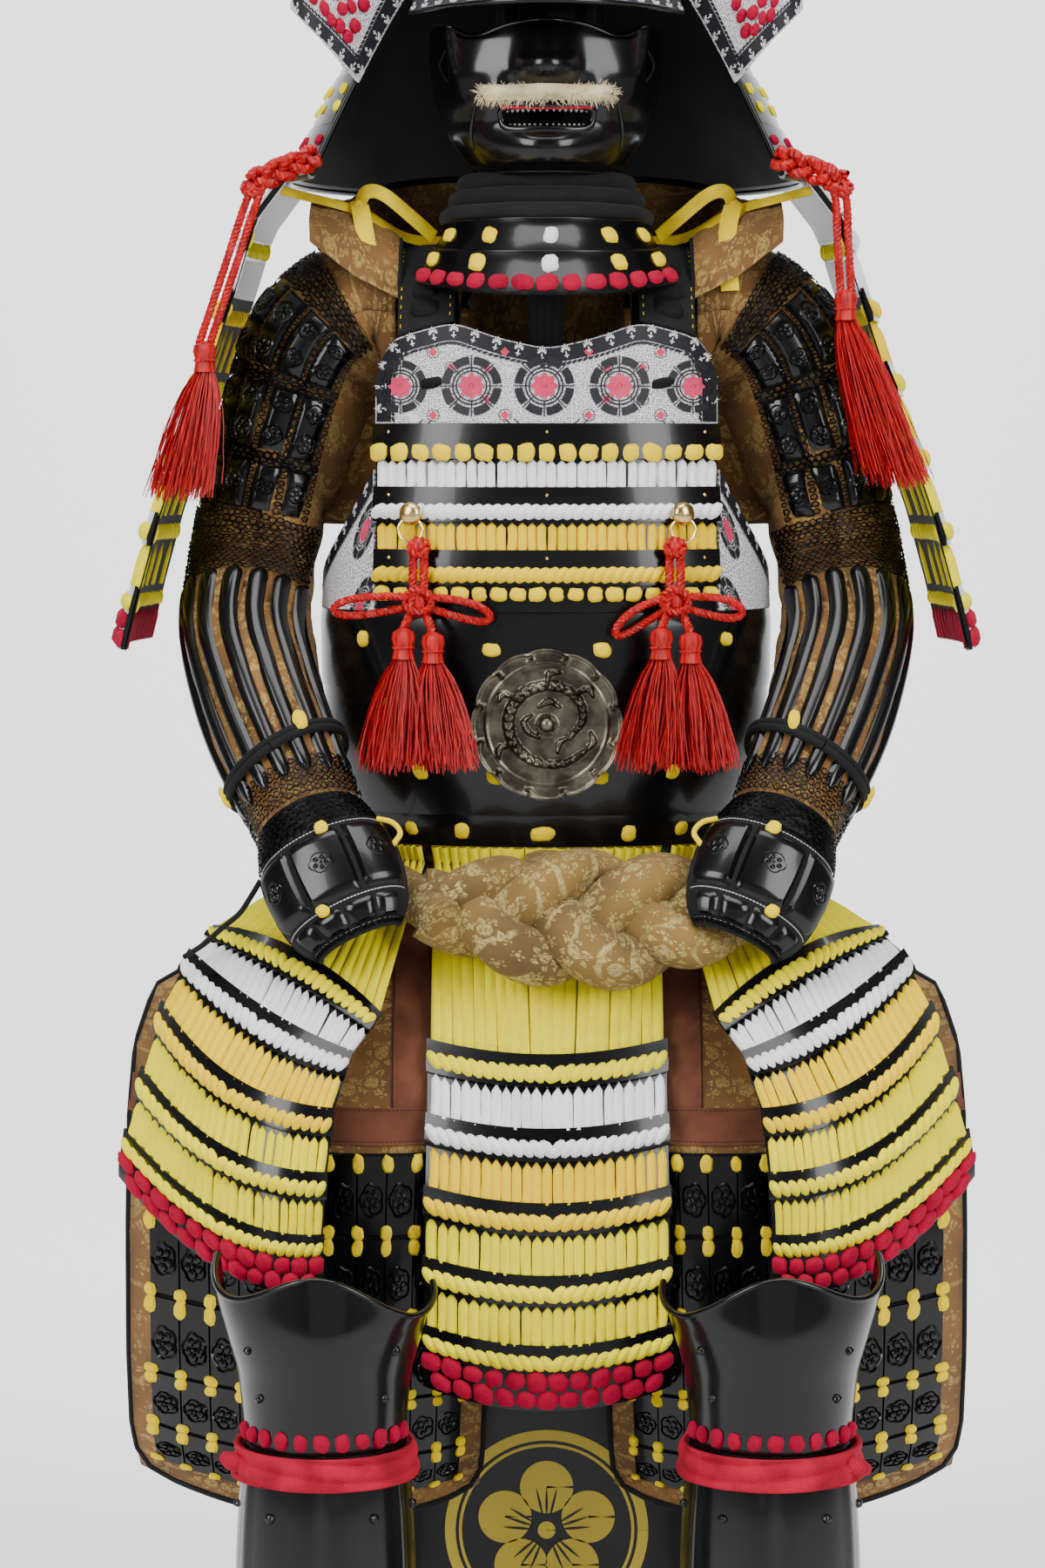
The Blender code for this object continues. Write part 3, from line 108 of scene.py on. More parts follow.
SHOULDER_GUARD = np.array((
    (1.303, -0.196), (1.264, -0.226), (1.209, -0.243), (1.152, -0.262), (1.092, -0.283), (1.034, -0.303),
    (0.976, -0.319), (0.926, -0.331),
))
# height, half width, half depth, nose, chin
MASK = np.array((
    (1.414, 0.089, 0.084, 0.010, 0.0), (1.402, 0.090, 0.086, 0.015, 0.0), (1.390, 0.090, 0.087, 0.020, 0.0),
    (1.378, 0.089, 0.087, 0.025, 0.0), (1.368, 0.087, 0.086, 0.012, 0.0), (1.359, 0.085, 0.086, 0.006, 0.0),
    (1.351, 0.082, 0.085, 0.003, 0.0), (1.341, 0.078, 0.081, 0.0, 0.0), (1.331, 0.074, 0.081, 0.0, 0.003),
    (1.321, 0.067, 0.082, 0.0, 0.009), (1.311, 0.060, 0.078, 0.0, 0.010), (1.302, 0.050, 0.070, 0.0, 0.005),
))
# reach along the arm, half width, height
HAND = np.array((
    (0.0, 0.0400, 0.0400), (0.028, 0.0490, 0.0370), (0.062, 0.0520, 0.0330), (0.096, 0.0450, 0.0250),
    (0.114, 0.0320, 0.0140),
))
WRIST_CORD = (
    (-0.2215, -0.190, 0.752), (-0.2300, -0.188, 0.738), (-0.239, -0.180, 0.725), (-0.254, -0.170, 0.712),
    (-0.268, -0.160, 0.699), (-0.284, -0.150, 0.688),
)
CORD_R = 0.0022
CAMERA_AT, CAMERA_AIM = (-0.019, -3.34, 1.08), (-0.019, -0.14, 0.823)
AIM_DISTANCE, VIEW_HEIGHT, SENSOR = 3.2, 1.224, 36.0
ARM_ROWS = 9
BACK_TOP, BACK_RISE = 1.19, 0.4
NECK_LOW, NECK_WIDE, NECK_DEEP = 1.298, 0.206, 0.200
MASK_ROWS, THROAT_Y = 11, -0.028
WRAP_TOP, WRAP_LOW, THROAT_LOW = 1.3015, 1.262, 1.203
BLOSSOM_Z, BOX_FRONT = 0.235, -0.1656
BELT_TOP, BELT_LOW = 0.772, 0.737
SIDES = (("left", 1), ("right", -1))


# Camera, light and floor
def camera():
    data = bpy.data.cameras.new("camera")
    data.sensor_fit = "VERTICAL"
    data.sensor_height = SENSOR
    data.lens = SENSOR * AIM_DISTANCE / VIEW_HEIGHT
    made = bpy.data.objects.new("camera", data)
    made.location = CAMERA_AT
    aim = Vector(CAMERA_AIM) - made.location
    made.rotation_euler = aim.to_track_quat("-Z", "Y").to_euler()
    bpy.context.scene.collection.objects.link(made)
    bpy.context.scene.camera = made


def light(name, place, target, size, power):
    data = bpy.data.lights.new(name, "AREA")
    data.shape = "RECTANGLE"
    data.size, data.size_y = size
    data.energy = power
    made = bpy.data.objects.new(name, data)
    made.location = place
    made.rotation_euler = (Vector(target) - Vector(place)).to_track_quat("-Z", "Y").to_euler()
    bpy.context.scene.collection.objects.link(made)


def smooth_path(knots, steps):
    """Points along a smooth curve through the knots."""
    knots = np.asarray(knots, float)
    ends = np.vstack([2 * knots[0] - knots[1], knots, 2 * knots[-1] - knots[-2]])
    points = []
    for a, b, c, d in zip(ends, ends[1:], ends[2:], ends[3:]):
        for k in range(steps):
            t = k / steps
            points.append(0.5 * (2 * b + (c - a) * t + (2 * a - 5 * b + 4 * c - d) * t * t
                + (3 * b - a - 3 * c + d) * t ** 3))
    return np.array([*points, knots[-1]])


# Node materials
class Look:
    """A node material, with short calls for its nodes."""

    def __init__(self, name, colour, rough, **sockets):
        self.made = bpy.data.materials.new(name)
        self.made.use_nodes = True
        self.tree = self.made.node_tree
        self.shader = self.tree.nodes["Principled BSDF"]
        self.colour = colour
        self.shader.inputs["Base Color"].default_value = (*colour, 1.0)
        self.shader.inputs["Roughness"].default_value = rough
        for key, value in sockets.items():
            self.shader.inputs[key.replace("_", " ")].default_value = value

    def node(self, kind, links=None, **settings):
        made = self.tree.nodes.new("ShaderNode" + kind)
        for key, value in settings.items():
            setattr(made, key, value)
        for key, value in (links or {}).items():
            if isinstance(value, bpy.types.NodeSocket):
                self.tree.links.new(value, made.inputs[key])
            else:
                made.inputs[key].default_value = value
        return made

    def where(self, kind="Object"):
        return self.node("TexCoord").outputs[kind]

    def noise(self, scale, detail=3.0, at=None, stretch=None):
        at = at or self.where()
        if stretch:
            at = self.node("Mapping", {"Vector": at, "Scale": stretch}).outputs["Vector"]
        return self.node("TexNoise", {"Vector": at, "Scale": scale, "Detail": detail}).outputs["Fac"]

    def math(self, operation, first, second=0.0, third=0.0):
        return self.node("Math", {0: first, 1: second, 2: third}, operation=operation).outputs[0]

    def step(self, value, low, high):
        """0 below low, 1 above high."""
        made = self.node("MapRange", {0: value, 1: low, 2: high}, interpolation_type="SMOOTHSTEP")
        return made.outputs[0]

    def scaled(self, value, low, high):
        return self.node("MapRange", {0: value, 3: low, 4: high}).outputs[0]

    def mix(self, share, first, second):
        made = self.node("Mix", {0: share}, data_type="RGBA")
        for index, value in ((6, first), (7, second)):
            if isinstance(value, bpy.types.NodeSocket):
                self.tree.links.new(value, made.inputs[index])
            else:
                made.inputs[index].default_value = (*value, 1.0)
        return made.outputs[2]

    def put(self, socket, value):
        self.tree.links.new(value, self.shader.inputs[socket])
        return self

    def bump(self, height, distance, strength=1.0):
        made = self.node("Bump", {"Height": height, "Distance": distance, "Strength": strength})
        return self.put("Normal", made.outputs[0])


def tint(colour, by):
    return tuple(min(1.0, c * by) for c in colour)


def lacquer(name, colour=(0.006, 0.006, 0.007), rough=0.20, coat=0.18):
    look = Look(name, colour, rough, Coat_Weight=coat, Coat_Roughness=0.06, Specular_IOR_Level=0.32)
    wear = look.noise(9.0, 5.0)
    look.put("Roughness", look.scaled(wear, rough * 0.6, rough * 1.7))
    dust = look.step(look.noise(310.0, 2.0), 0.68, 0.80)
    look.put("Base Color", look.mix(look.math("MULTIPLY", dust, 0.3), colour,
        tuple(c * 2 + 0.008 for c in colour)))
    return look.bump(look.noise(26.0, 2.0), 0.0006, 0.35).made


def lacing(name, colour, shade=0.62):
    """Flat braided silk: fine chevrons along the cord, and paler and darker cords."""
    look = Look(name, colour, 0.86, Sheen_Weight=0.03, Sheen_Roughness=0.5, Specular_IOR_Level=0.10)
    at = look.where("UV")
    split = look.node("SeparateXYZ", {0: at})
    across = look.math("ABSOLUTE", split.outputs[0])
    chevron = look.math("ADD", look.math("MULTIPLY", split.outputs[1], 5200.0),
        look.math("MULTIPLY", across, 3600.0))
    weave = look.math("SINE", chevron)
    ribs = look.math("SINE", look.math("MULTIPLY", split.outputs[0], 7800.0))
    fuzz = look.noise(900.0, 4.0)
    height = look.math("ADD", look.math("MULTIPLY", look.math("ADD", weave, ribs), 0.35), fuzz)
    tone = look.noise(26.0, 3.0)
    # The chevron weave also lightens the colour where it raises the bump, a faint painted shade in the weave;
    # the noise tone gives paler and darker cords at random.
    fine = look.math("ADD", look.math("MULTIPLY", weave, 0.10), look.math("MULTIPLY", tone, 1.1))
    look.put("Base Color", look.mix(look.step(fine, 0.15, 0.62), tint(colour, shade), colour))
    return look.bump(height, 0.00035, 0.8).made


def plain_cloth(name, colour, scale=1500.0, sheen=0.3):
    look = Look(name, colour, 0.85, Sheen_Weight=sheen, Specular_IOR_Level=0.25)
    at = look.where("UV")
    split = look.node("SeparateXYZ", {0: at})
    warp = look.math("SINE", look.math("MULTIPLY", split.outputs[0], scale * 2))
    weft = look.math("SINE", look.math("MULTIPLY", split.outputs[1], scale * 2))
    weave = look.math("MULTIPLY", warp, weft)
    crease = look.noise(38.0, 5.0)
    # The crease noise and the weave lighten the colour where they raise the bump: painted light on the raised
    # folds and threads, painted shade in the creases and hollows.
    tone = look.math("ADD", look.math("MULTIPLY", weave, 0.12), crease)
    look.put("Base Color", look.mix(look.step(tone, 0.25, 0.75), tint(colour, 0.6), tint(colour, 1.25)))
    height = look.math("ADD", look.math("MULTIPLY", weave, 0.3), look.math("MULTIPLY", crease, 2.0))
    return look.bump(height, 0.0006, 0.6).made


def flower(look, at, size, petals, reach, turn=0.0):
    """A mask of petalled flowers, one in each cell of a scattered grid."""
    cells = look.node("TexVoronoi", {"Vector": at, "Scale": 1.0 / size, "Randomness": 0.6},
        voronoi_dimensions="2D")
    away = look.node("VectorMath", {0: at, 1: cells.outputs["Position"]}, operation="SUBTRACT").outputs[0]
    split = look.node("SeparateXYZ", {0: away})
    angle = look.math("ARCTAN2", split.outputs[1], split.outputs[0])
    distance = look.node("VectorMath", {0: away}, operation="LENGTH").outputs["Value"]
    wave = look.math("COSINE", look.math("MULTIPLY_ADD", angle, float(petals), turn))
    edge = look.math("MULTIPLY_ADD", wave, reach * 0.26, reach * 0.74)
    inside = look.math("SUBTRACT", edge, distance)
    body = look.step(inside, 0.0, reach * 0.08)
    vein = look.step(look.math("ABSOLUTE", look.math("SINE", look.math("MULTIPLY", angle, petals * 1.5))),
        0.12, 0.35)
    rings = look.step(look.math("SINE", look.math("MULTIPLY", distance, 9.5 / reach)), -0.75, -0.35)
    return look.math("MULTIPLY", body, look.math("MULTIPLY", vein, rings))


def brocade(name, ground, gold, size):
    look = Look(name, ground, 0.5, Sheen_Weight=0.08, Specular_IOR_Level=0.4)
    at = look.where("UV")
    bend = look.node("TexNoise", {"Vector": at, "Scale": 45.0, "Detail": 2.0}).outputs["Color"]
    bent = look.node("VectorMath", {0: bend, 1: (0.010, 0.010, 0.0), 2: at},
        operation="MULTIPLY_ADD").outputs[0]
    big = flower(look, bent, size, 6, size * 0.42)
    shifted = look.node("Mapping", {"Vector": bent, "Location": (0.37, 0.21, 0.0),
        "Rotation": (0, 0, 0.6)}).outputs[0]
    small = flower(look, shifted, size * 0.55, 5, size * 0.17, 1.0)
    curls = look.node(
        "TexWave", {"Vector": bent, "Scale": 0.42 / size, "Distortion": 9.0, "Detail": 1.5,
        "Detail Scale": 1.3},
        wave_type="RINGS",
    ).outputs["Fac"]
    vine = look.math("MULTIPLY", look.step(curls, 0.90, 0.97),
        look.step(look.noise(22.0, 1.0, at), 0.45, 0.55))
    mask = look.math("MAXIMUM", big, look.math("MAXIMUM", small, vine))
    split = look.node("SeparateXYZ", {0: at})
    thread = look.math("SINE", look.math("MULTIPLY", split.outputs[0], 6800.0))
    twill = look.math("SINE", look.math("MULTIPLY", look.math("ADD", split.outputs[0], split.outputs[1]),
        4200.0))
    broken = look.step(look.math("ADD", look.noise(420.0, 2.0, at), look.math("MULTIPLY", thread, 0.10)),
        0.36, 0.5)
    mask = look.math("MULTIPLY", mask, broken)
    tone = look.noise(13.0, 4.0, at)
    cloth = look.mix(look.step(tone, 0.3, 0.7), tint(ground, 0.55), tint(ground, 1.35))
    look.put("Base Color", look.mix(mask, cloth, gold))
    look.put("Metallic", look.math("MULTIPLY", mask, 0.65))
    look.put("Roughness", look.scaled(mask, 0.62, 0.38))
    height = look.math("ADD", look.math("MULTIPLY", mask, 1.2),
        look.math("ADD", look.math("MULTIPLY", thread, 0.2), look.math("MULTIPLY", twill, 0.35)))
    return look.bump(height, 0.0004, 0.75).made


def dotted_leather(name):
    look = Look(name, (0.70, 0.68, 0.69), 0.62, Specular_IOR_Level=0.3)
    at = look.where("UV")
    cells = look.node("TexVoronoi", {"Vector": at, "Scale": 520.0, "Randomness": 0.55},
        voronoi_dimensions="2D")
    dots = look.step(cells.outputs["Distance"], 0.30, 0.44)
    worn = look.math("MAXIMUM", dots, look.step(look.noise(70.0, 2.0, at), 0.60, 0.75))
    look.put("Base Color", look.mix(worn, (0.22, 0.21, 0.24), (0.74, 0.72, 0.73)))
    return look.bump(look.noise(650.0, 3.0), 0.0003, 0.5).made


def leather(name, colour):
    look = Look(name, colour, 0.55, Specular_IOR_Level=0.35)
    grain = look.node("TexVoronoi", {"Vector": look.where(), "Scale": 900.0},
        feature="SMOOTH_F1").outputs["Distance"]
    look.put("Base Color", look.mix(look.noise(60.0, 4.0), tint(colour, 0.6), tint(colour, 1.5)))
    return look.bump(grain, 0.0003, 0.5).made


def metal(name, colour, rough, pits=180.0, dark=0.35):
    look = Look(name, colour, rough, Metallic=1.0)
    patina = look.noise(55.0, 6.0)
    look.put("Base Color", look.mix(look.step(patina, 0.35, 0.7), tint(colour, dark), tint(colour, 1.2)))
    look.put("Roughness", look.scaled(look.noise(35.0, 4.0), rough * 0.7, rough * 1.4))
    return look.bump(look.noise(pits, 4.0), 0.0005, 0.5).made


def silk(name, colour):
    look = Look(name, colour, 0.46, Specular_IOR_Level=0.35)
    streak_shading = look.noise(420.0, 3.0, stretch=(1.0, 1.0, 0.15))
    # The streaks raise the bump and lighten the colour together: a painted sheen on the raised strands and
    # painted shade between them.
    look.put("Base Color", look.mix(look.step(streak_shading, 0.3, 0.7), tint(colour, 0.55), tint(colour, 1.25)))
    return look.bump(streak_shading, 0.0004, 0.6).made


def wood(name, colour):
    look = Look(name, colour, 0.5)
    grain = look.node("TexWave", {
        "Vector": look.node("Mapping", {"Vector": look.where(), "Scale": (22.0, 22.0, 2.0)}).outputs[0],
        "Scale": 2.2, "Distortion": 5.0, "Detail": 3.0,
    }).outputs["Fac"]
    look.put("Base Color", look.mix(grain, tint(colour, 0.6), tint(colour, 1.5)))
    return look.bump(grain, 0.0004, 0.4).made


LOOKS = {
    "lacquer": lacquer("black_lacquer", (0.0022, 0.0022, 0.0027), 0.20),
    "box": lacquer("box_lacquer", (0.0042, 0.0042, 0.0048), 0.36, 0.1),
    "red_lacquer": lacquer("red_lacquer", (0.016, 0.0012, 0.0022), 0.34, 0.3),
    # A darker, duller copy of the red lacquer: painted shade for the hollow inside the neck guard and for the
    # nostrils.
    "inside": lacquer("hollow_shade_lacquer", (0.0022, 0.0010, 0.0012), 0.62, 0.0),
    "pale": lacing("pale_yellow_lacing", (1.0, 0.87, 0.0), 0.82),
    "deep": lacing("deep_yellow_lacing", (1.0, 0.69, 0.0), 0.84),
    "white": lacing("white_lacing", (0.98, 0.98, 0.99), 0.84),
    "pink": lacing("crimson_pink_lacing", (0.44, 0.002, 0.036), 0.50),
    "knot": lacing("yellow_knots", (1.0, 0.72, 0.0), 0.84),
    "brocade": brocade("gold_brocade", (0.185, 0.082, 0.016), (0.46, 0.30, 0.085), 0.034),
    "sash": brocade("sash_brocade", (0.175, 0.098, 0.016), (0.52, 0.41, 0.15), 0.026),
    "dotted": dotted_leather("dotted_leather"),
    "navy": leather("navy_leather", (0.004, 0.0042, 0.009)),
    "print_white": leather("white_print", (0.74, 0.74, 0.76)),
    "print_black": leather("black_print", (0.010, 0.0095, 0.013)),
    "print_pink": leather("pink_print", (0.56, 0.030, 0.095)),
    "silk": silk("red_silk", (0.44, 0.0, 0.0015)),
    "ribbon": plain_cloth("yellow_ribbon", (0.94, 0.60, 0.0), 1500.0, 0.05),
    # A dark yellow-brown cloth of painted shade, set behind the hanging cords so the gaps between them look
    # shadowed.
    "cord_gap_shade": plain_cloth("cord_gap_shade_cloth", (0.20, 0.13, 0.008), 1300.0, 0.0),
    "russet": plain_cloth("russet_cloth", (0.150, 0.050, 0.026), 1300.0, 0.0),
    "rose": plain_cloth("rose_cloth", (0.40, 0.003, 0.026), 1200.0, 0.0),
    "black_cloth": plain_cloth("black_cloth", (0.0060, 0.0060, 0.0068), 1200.0, 0.04),
    "mail_cloth": plain_cloth("mail_backing", (0.0035, 0.0035, 0.0040), 1200.0, 0.0),
    "brass": metal("brass", (0.80, 0.60, 0.24), 0.24, 60.0, 0.75),
    "bronze": metal("bronze", (0.165, 0.142, 0.105), 0.34, 230.0, 0.34),
    "iron": metal("black_iron", (0.011, 0.011, 0.012), 0.36, 300.0, 0.5),
    "gold": lacquer("gold_paint", (0.60, 0.45, 0.040), 0.5, 0.1),
    "ivory": plain_cloth("pale_fur", (0.74, 0.62, 0.38), 1500.0, 0.2),
    "bone": lacquer("bone_teeth", (0.40, 0.38, 0.31), 0.3, 0.3),
    "wood": wood("dark_wood", (0.010, 0.0075, 0.006)),
}


# Surfaces and meshes
class Surface:
    """A curved surface kept as a fine grid: at(u, v, out) gives points that stand out from it."""

    def __init__(self, place, us, vs, centre=(0.0, 0.0), flip=False):
        self.us, self.vs = np.asarray(us, float), np.asarray(vs, float)
        across, down = np.meshgrid(self.us, self.vs)
        self.grid = place(across, down)
        normal = np.cross(np.gradient(self.grid, axis=0), np.gradient(self.grid, axis=1))
        normal /= np.linalg.norm(normal, axis=-1, keepdims=True) + 1e-12
        outward = self.grid[..., :2] - np.asarray(centre)[..., :2]
        facing = np.sign((normal[..., :2] * outward).sum(-1).mean()) or 1.0
        self.turned = (facing < 0) != flip
        self.normal = normal * facing * (-1 if flip else 1)
        self.wide = self.length(1) / (self.us[-1] - self.us[0])
        self.tall = self.length(0) / (self.vs[-1] - self.vs[0])

    def length(self, axis):
        steps = np.linalg.norm(np.diff(self.grid, axis=axis), axis=-1)
        return float(steps.sum(axis=axis).mean())

    def face(self, axis, sign):
        """Turns the surface over where its middle looks the other way along the axis."""
        if self.normal[len(self.vs) // 2, len(self.us) // 2, axis] * sign < 0:
            self.normal, self.turned = -self.normal, not self.turned

    def at(self, u, v, out=0.0):
        u, v, out = np.broadcast_arrays(np.asarray(u, float), np.asarray(v, float), np.asarray(out, float))
        x, y = (
            np.interp(at * sign, knots * sign, np.arange(len(knots)))
            for at, knots, sign in ((u, self.us, np.sign(self.us[-1] - self.us[0])),
            (v, self.vs, np.sign(self.vs[-1] - self.vs[0])))
        )
        j = np.minimum(x.astype(int), len(self.us) - 2)
        i = np.minimum(y.astype(int), len(self.vs) - 2)
        fx, fy = (x - j)[..., None], (y - i)[..., None]

        def read(grid):
            top = grid[i, j] * (1 - fx) + grid[i, j + 1] * fx
            low = grid[i + 1, j] * (1 - fx) + grid[i + 1, j + 1] * fx
            return top * (1 - fy) + low * fy

        return read(self.grid) + read(self.normal) * out[..., None]


class Pile:
    """Gathers grids of quads into one mesh object with several looks."""

    def __init__(self):
        self.points, self.quads, self.looks, self.uvs, self.count, self.names = [], [], [], [], 0, []

    def grids(self, points, look, uv=None, turned=False, wrap=False, keep=None):
        """points is an array of [grids, rows, columns, 3], or one grid without the first axis."""
        if points.ndim == 3:
            points = points[None]
            uv = uv[None] if uv is not None else None
        many, rows, columns, _ = points.shape
        index = np.arange(many * rows * columns).reshape(many, rows, columns) + self.count
        if wrap:
            index = np.concatenate([index, index[:, :, :1]], axis=2)
        quads = np.stack([index[:, :-1, :-1], index[:, 1:, :-1], index[:, 1:, 1:], index[:, :-1, 1:]], -1)
        quads = (quads if keep is None else quads[:, keep]).reshape(-1, 4)
        if turned:
            quads = quads[:, ::-1]
        if look not in self.names:
            self.names.append(look)
        self.points.append(points.reshape(-1, 3))
        self.quads.append(quads)
        self.looks.append(np.full(len(quads), self.names.index(look)))
        self.uvs.append(uv.reshape(-1, 2) if uv is not None else points.reshape(-1, 3)[:, (0, 2)])
        self.count += many * rows * columns
        return self

    def wall(self, surface, us, vs, low, high, look, back=None):
        """A closed plate over part of a surface, between two heights above it; high may be an array."""
        u, v = np.meshgrid(us, vs)
        over, under = surface.at(u, v, high), surface.at(u, v, low)
        uv = np.stack([u * surface.wide, v * surface.tall], -1)
        self.grids(over, look, uv, surface.turned)
        self.grids(under, back or look, uv, not surface.turned)
        for one, two, flat, turned in (
            (over[0], under[0], uv[0], not surface.turned), (over[-1], under[-1], uv[-1], surface.turned),
            (over[:, 0], under[:, 0], uv[:, 0], surface.turned),
            (over[:, -1], under[:, -1], uv[:, -1], not surface.turned),
        ):
            self.grids(np.stack([one, two]), look, np.stack([flat, flat]), turned)
        return self

    def make(self, name, slot, *nodes, bevel=0.0, crease=40.0, merge=False):
        points = np.concatenate(self.points)
        quads = np.concatenate(self.quads)
        data = bpy.data.meshes.new(name)
        data.from_pydata(points.tolist(), [], quads.tolist())
        layer = data.uv_layers.new(name="UVMap")
        layer.data.foreach_set("uv", np.concatenate(self.uvs)[quads.reshape(-1)].astype(np.float32).ravel())
        for key in self.names:
            data.materials.append(LOOKS[key])
        data.polygons.foreach_set("material_index", np.concatenate(self.looks).astype(np.int32))
        data.shade_smooth()
        made = bpy.data.objects.new(name, data)
        bpy.context.scene.collection.objects.link(made)
        if merge or bevel:
            weld = made.modifiers.new("weld", "WELD")
            weld.merge_threshold = 0.00002
        if crease:
            data.set_sharp_from_angle(angle=math.radians(crease))
        if bevel:
            edge = made.modifiers.new("bevel", "BEVEL")
            edge.width = bevel
            edge.segments = 2
            edge.limit_method = "ANGLE"
            edge.angle_limit = math.radians(50)
        return placed(made, slot, *nodes)


def placed(made, slot, *nodes):
    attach(made, "root")
    if nodes:
        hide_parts(*nodes)
    return made


def jitter(shape, size):
    return RNG.uniform(-size, size, shape)


def full_turn(count):
    return np.linspace(0, 2 * math.pi, count)


def hill(offset, width):
    """A smooth hump of height 1 where the offset is 0."""
    return np.exp(-((offset / width) ** 2))


def swelling(rows, at, heights):
    """Heights down a plate, as a column of so many rows."""
    return np.interp(np.linspace(0, 1, rows), at, heights)[:, None]


def paired(first, second):
    return np.stack(np.broadcast_arrays(first, second), -1)


def end_caps(pile, points, path, look, share):
    for k, turned in ((0, True), (-1, False)):
        pile.grids(np.stack([points[k], path[k] + (points[k] - path[k]) * share]), look, None, turned)


# Small soft parts on a surface
def cords(pile, surface, us, top, bottom, half, thick, base, look, arch=0.24, rows=7):
    """Flat soft cords side by side, each pointed at its top."""
    us = np.asarray(us, float)
    many, across = len(us), 5
    s = np.linspace(0, 1, rows)[None, :, None]
    t = np.linspace(-1, 1, across)[None, None, :]
    shape = np.minimum(s / arch, 1.0) if arch else np.ones_like(s)
    width = half * (0.06 + 0.94 * np.sin(math.pi / 2 * shape) ** 0.75) * (1 + jitter((many, 1, 1), 0.07))
    wander = jitter((many, 1, 1), half * 0.16) + jitter((many, 1, 1), half * 0.22) * np.sin(math.pi * s)
    u = us[:, None, None] + (t * width + wander) / surface.wide
    start = np.asarray(top)[..., None, None] if np.ndim(top) else top
    end = np.asarray(bottom)[..., None, None] if np.ndim(bottom) else bottom
    start = start + jitter((many, 1, 1), 0.0012) / surface.tall
    v = start + (end - start) * s + 0 * t
    bow = (1 - np.abs(t) ** 2.4) ** 0.5
    rise = 0.35 + 0.65 * np.sin(math.pi / 2 * np.minimum(s / (arch * 1.3), 1.0)) if arch else 1.0
    ridge = 1 + jitter((many, rows, across), 0.04)
    out = base + thick * bow * rise * ridge * (1 + jitter((many, 1, 1), 0.10))
    uv = paired(t * half, v * surface.tall + jitter((many, 1, 1), 0.05))
    u = np.clip(u, surface.us[0] + 1e-4, surface.us[-1] - 1e-4)
    pile.grids(surface.at(u, v, out), look, uv, surface.turned)


def rope_row(pile, surface, us, v, base, look, thick=0.0046, slant=0.9, rings=4, sides=11):
    """A twisted cord along a row, as overlapping slanted lobes."""
    us = np.asarray(us, float)
    v = np.broadcast_to(np.asarray(v, float), us.shape)
    many, reach, half = len(us), 0.0082, 0.0048
    r = np.sin(np.linspace(0.02, 1, rings) * math.pi / 2)[None, :, None]
    turn = full_turn(sides)[None, None, :]
    size = 1 + jitter((many, 1, 1), 0.05)
    a, b = reach * size * r * np.cos(turn), half * size * r * np.sin(turn)
    angle = slant + jitter((many, 1, 1), 0.06)
    x = a * np.cos(angle) - b * np.sin(angle)
    y = -(a * np.sin(angle) + b * np.cos(angle))
    tilt = 0.24 * b / half * thick
    out = base + thick * np.sqrt(np.maximum(1 - r ** 2, 0)) * size + tilt * (1 - r)
    u = np.clip(us[:, None, None] + x / surface.wide, surface.us[0], surface.us[-1])
    uv = np.stack([b, a], -1)
    pile.grids(surface.at(u, v[:, None, None] + y / surface.tall, out), look, uv, surface.turned)


def knots(pile, surface, us, vs, base, look, half=0.0052, tall=None, thick=0.0042, square=3.0, rings=4,
        sides=14):
    """Round flat knots, each a soft bump with crossed creases."""
    us, vs = np.broadcast_arrays(np.asarray(us, float), np.asarray(vs, float))
    us, vs = us.ravel(), vs.ravel()
    many = len(us)
    tall = tall or half
    r = np.sin(np.linspace(0.02, 1, rings) * math.pi / 2)[None, :, None]
    turn = full_turn(sides)[None, None, :]
    edge = (np.abs(np.cos(turn)) ** square + np.abs(np.sin(turn)) ** square) ** (-1 / square)
    edge = edge * (1 + 0.07 * np.sin(2 * turn + jitter((many, 1, 1), 3.0))
        + 0.04 * np.sin(5 * turn + jitter((many, 1, 1), 3.0)))
    size = 1 + jitter((many, 1, 1), 0.09)
    x, y = r * edge * np.cos(turn) * half * size, r * edge * np.sin(turn) * tall * size
    spin = jitter((many, 1, 1), 0.16)
    x, y = x * np.cos(spin) - y * np.sin(spin), x * np.sin(spin) + y * np.cos(spin)
    crease = 1 - 0.16 * hill(x + y, 0.22 * half) + jitter((many, rings, sides), 0.03)
    out = base + thick * (1 - r ** 2.6) ** 0.55 * crease
    u = np.clip(us[:, None, None] + x / surface.wide, surface.us[0], surface.us[-1])
    v = vs[:, None, None] + y / surface.tall
    pile.grids(surface.at(u, v, out), look, np.stack([x, y], -1), surface.turned)


def rivets(pile, surface, us, vs, base, look, radius=0.0022, thick=0.0014):
    knots(pile, surface, us, vs, base, look, radius, radius, thick, 2.0, 4, 13)


def strips(pile, place, strokes, look, turned=False, out=None):
    """Flat printed strokes, each (points across and down, half width), at a height if out is given."""
    above = () if out is None else (out,)
    for line, half in strokes:
        line = np.asarray(line, float)
        along = np.gradient(line, axis=0)
        along /= np.linalg.norm(along, axis=1, keepdims=True) + 1e-12
        side = np.stack([-along[:, 1], along[:, 0]], 1) * np.broadcast_to(half, len(line))[:, None]
        pair = np.stack([line - side, line, line + side])
        pile.grids(place(pair[..., 0], pair[..., 1], *above), look, pair, turned)


def arc(radius, start, end, half, count=7):
    turn = np.linspace(start, end, count)
    return np.stack([radius * np.cos(turn), radius * np.sin(turn)], 1), half


def petal(inner, outer, angle, half, count=7):
    share = np.linspace(0, 1, count)
    radius = inner + (outer - inner) * share
    line = np.stack([radius * np.cos(angle), radius * np.sin(angle)], 1)
    return line, half * np.sin(math.pi * (0.06 + 0.88 * share ** 0.8))


def moved(strokes, x, y, spin=0.0, scale=1.0):
    c, s = math.cos(spin), math.sin(spin)
    found = []
    for line, half in strokes:
        line = np.asarray(line) * scale
        turned = np.stack([line[:, 0] * c - line[:, 1] * s + x, line[:, 0] * s + line[:, 1] * c + y], 1)
        found.append((turned, np.asarray(half) * scale))
    return found


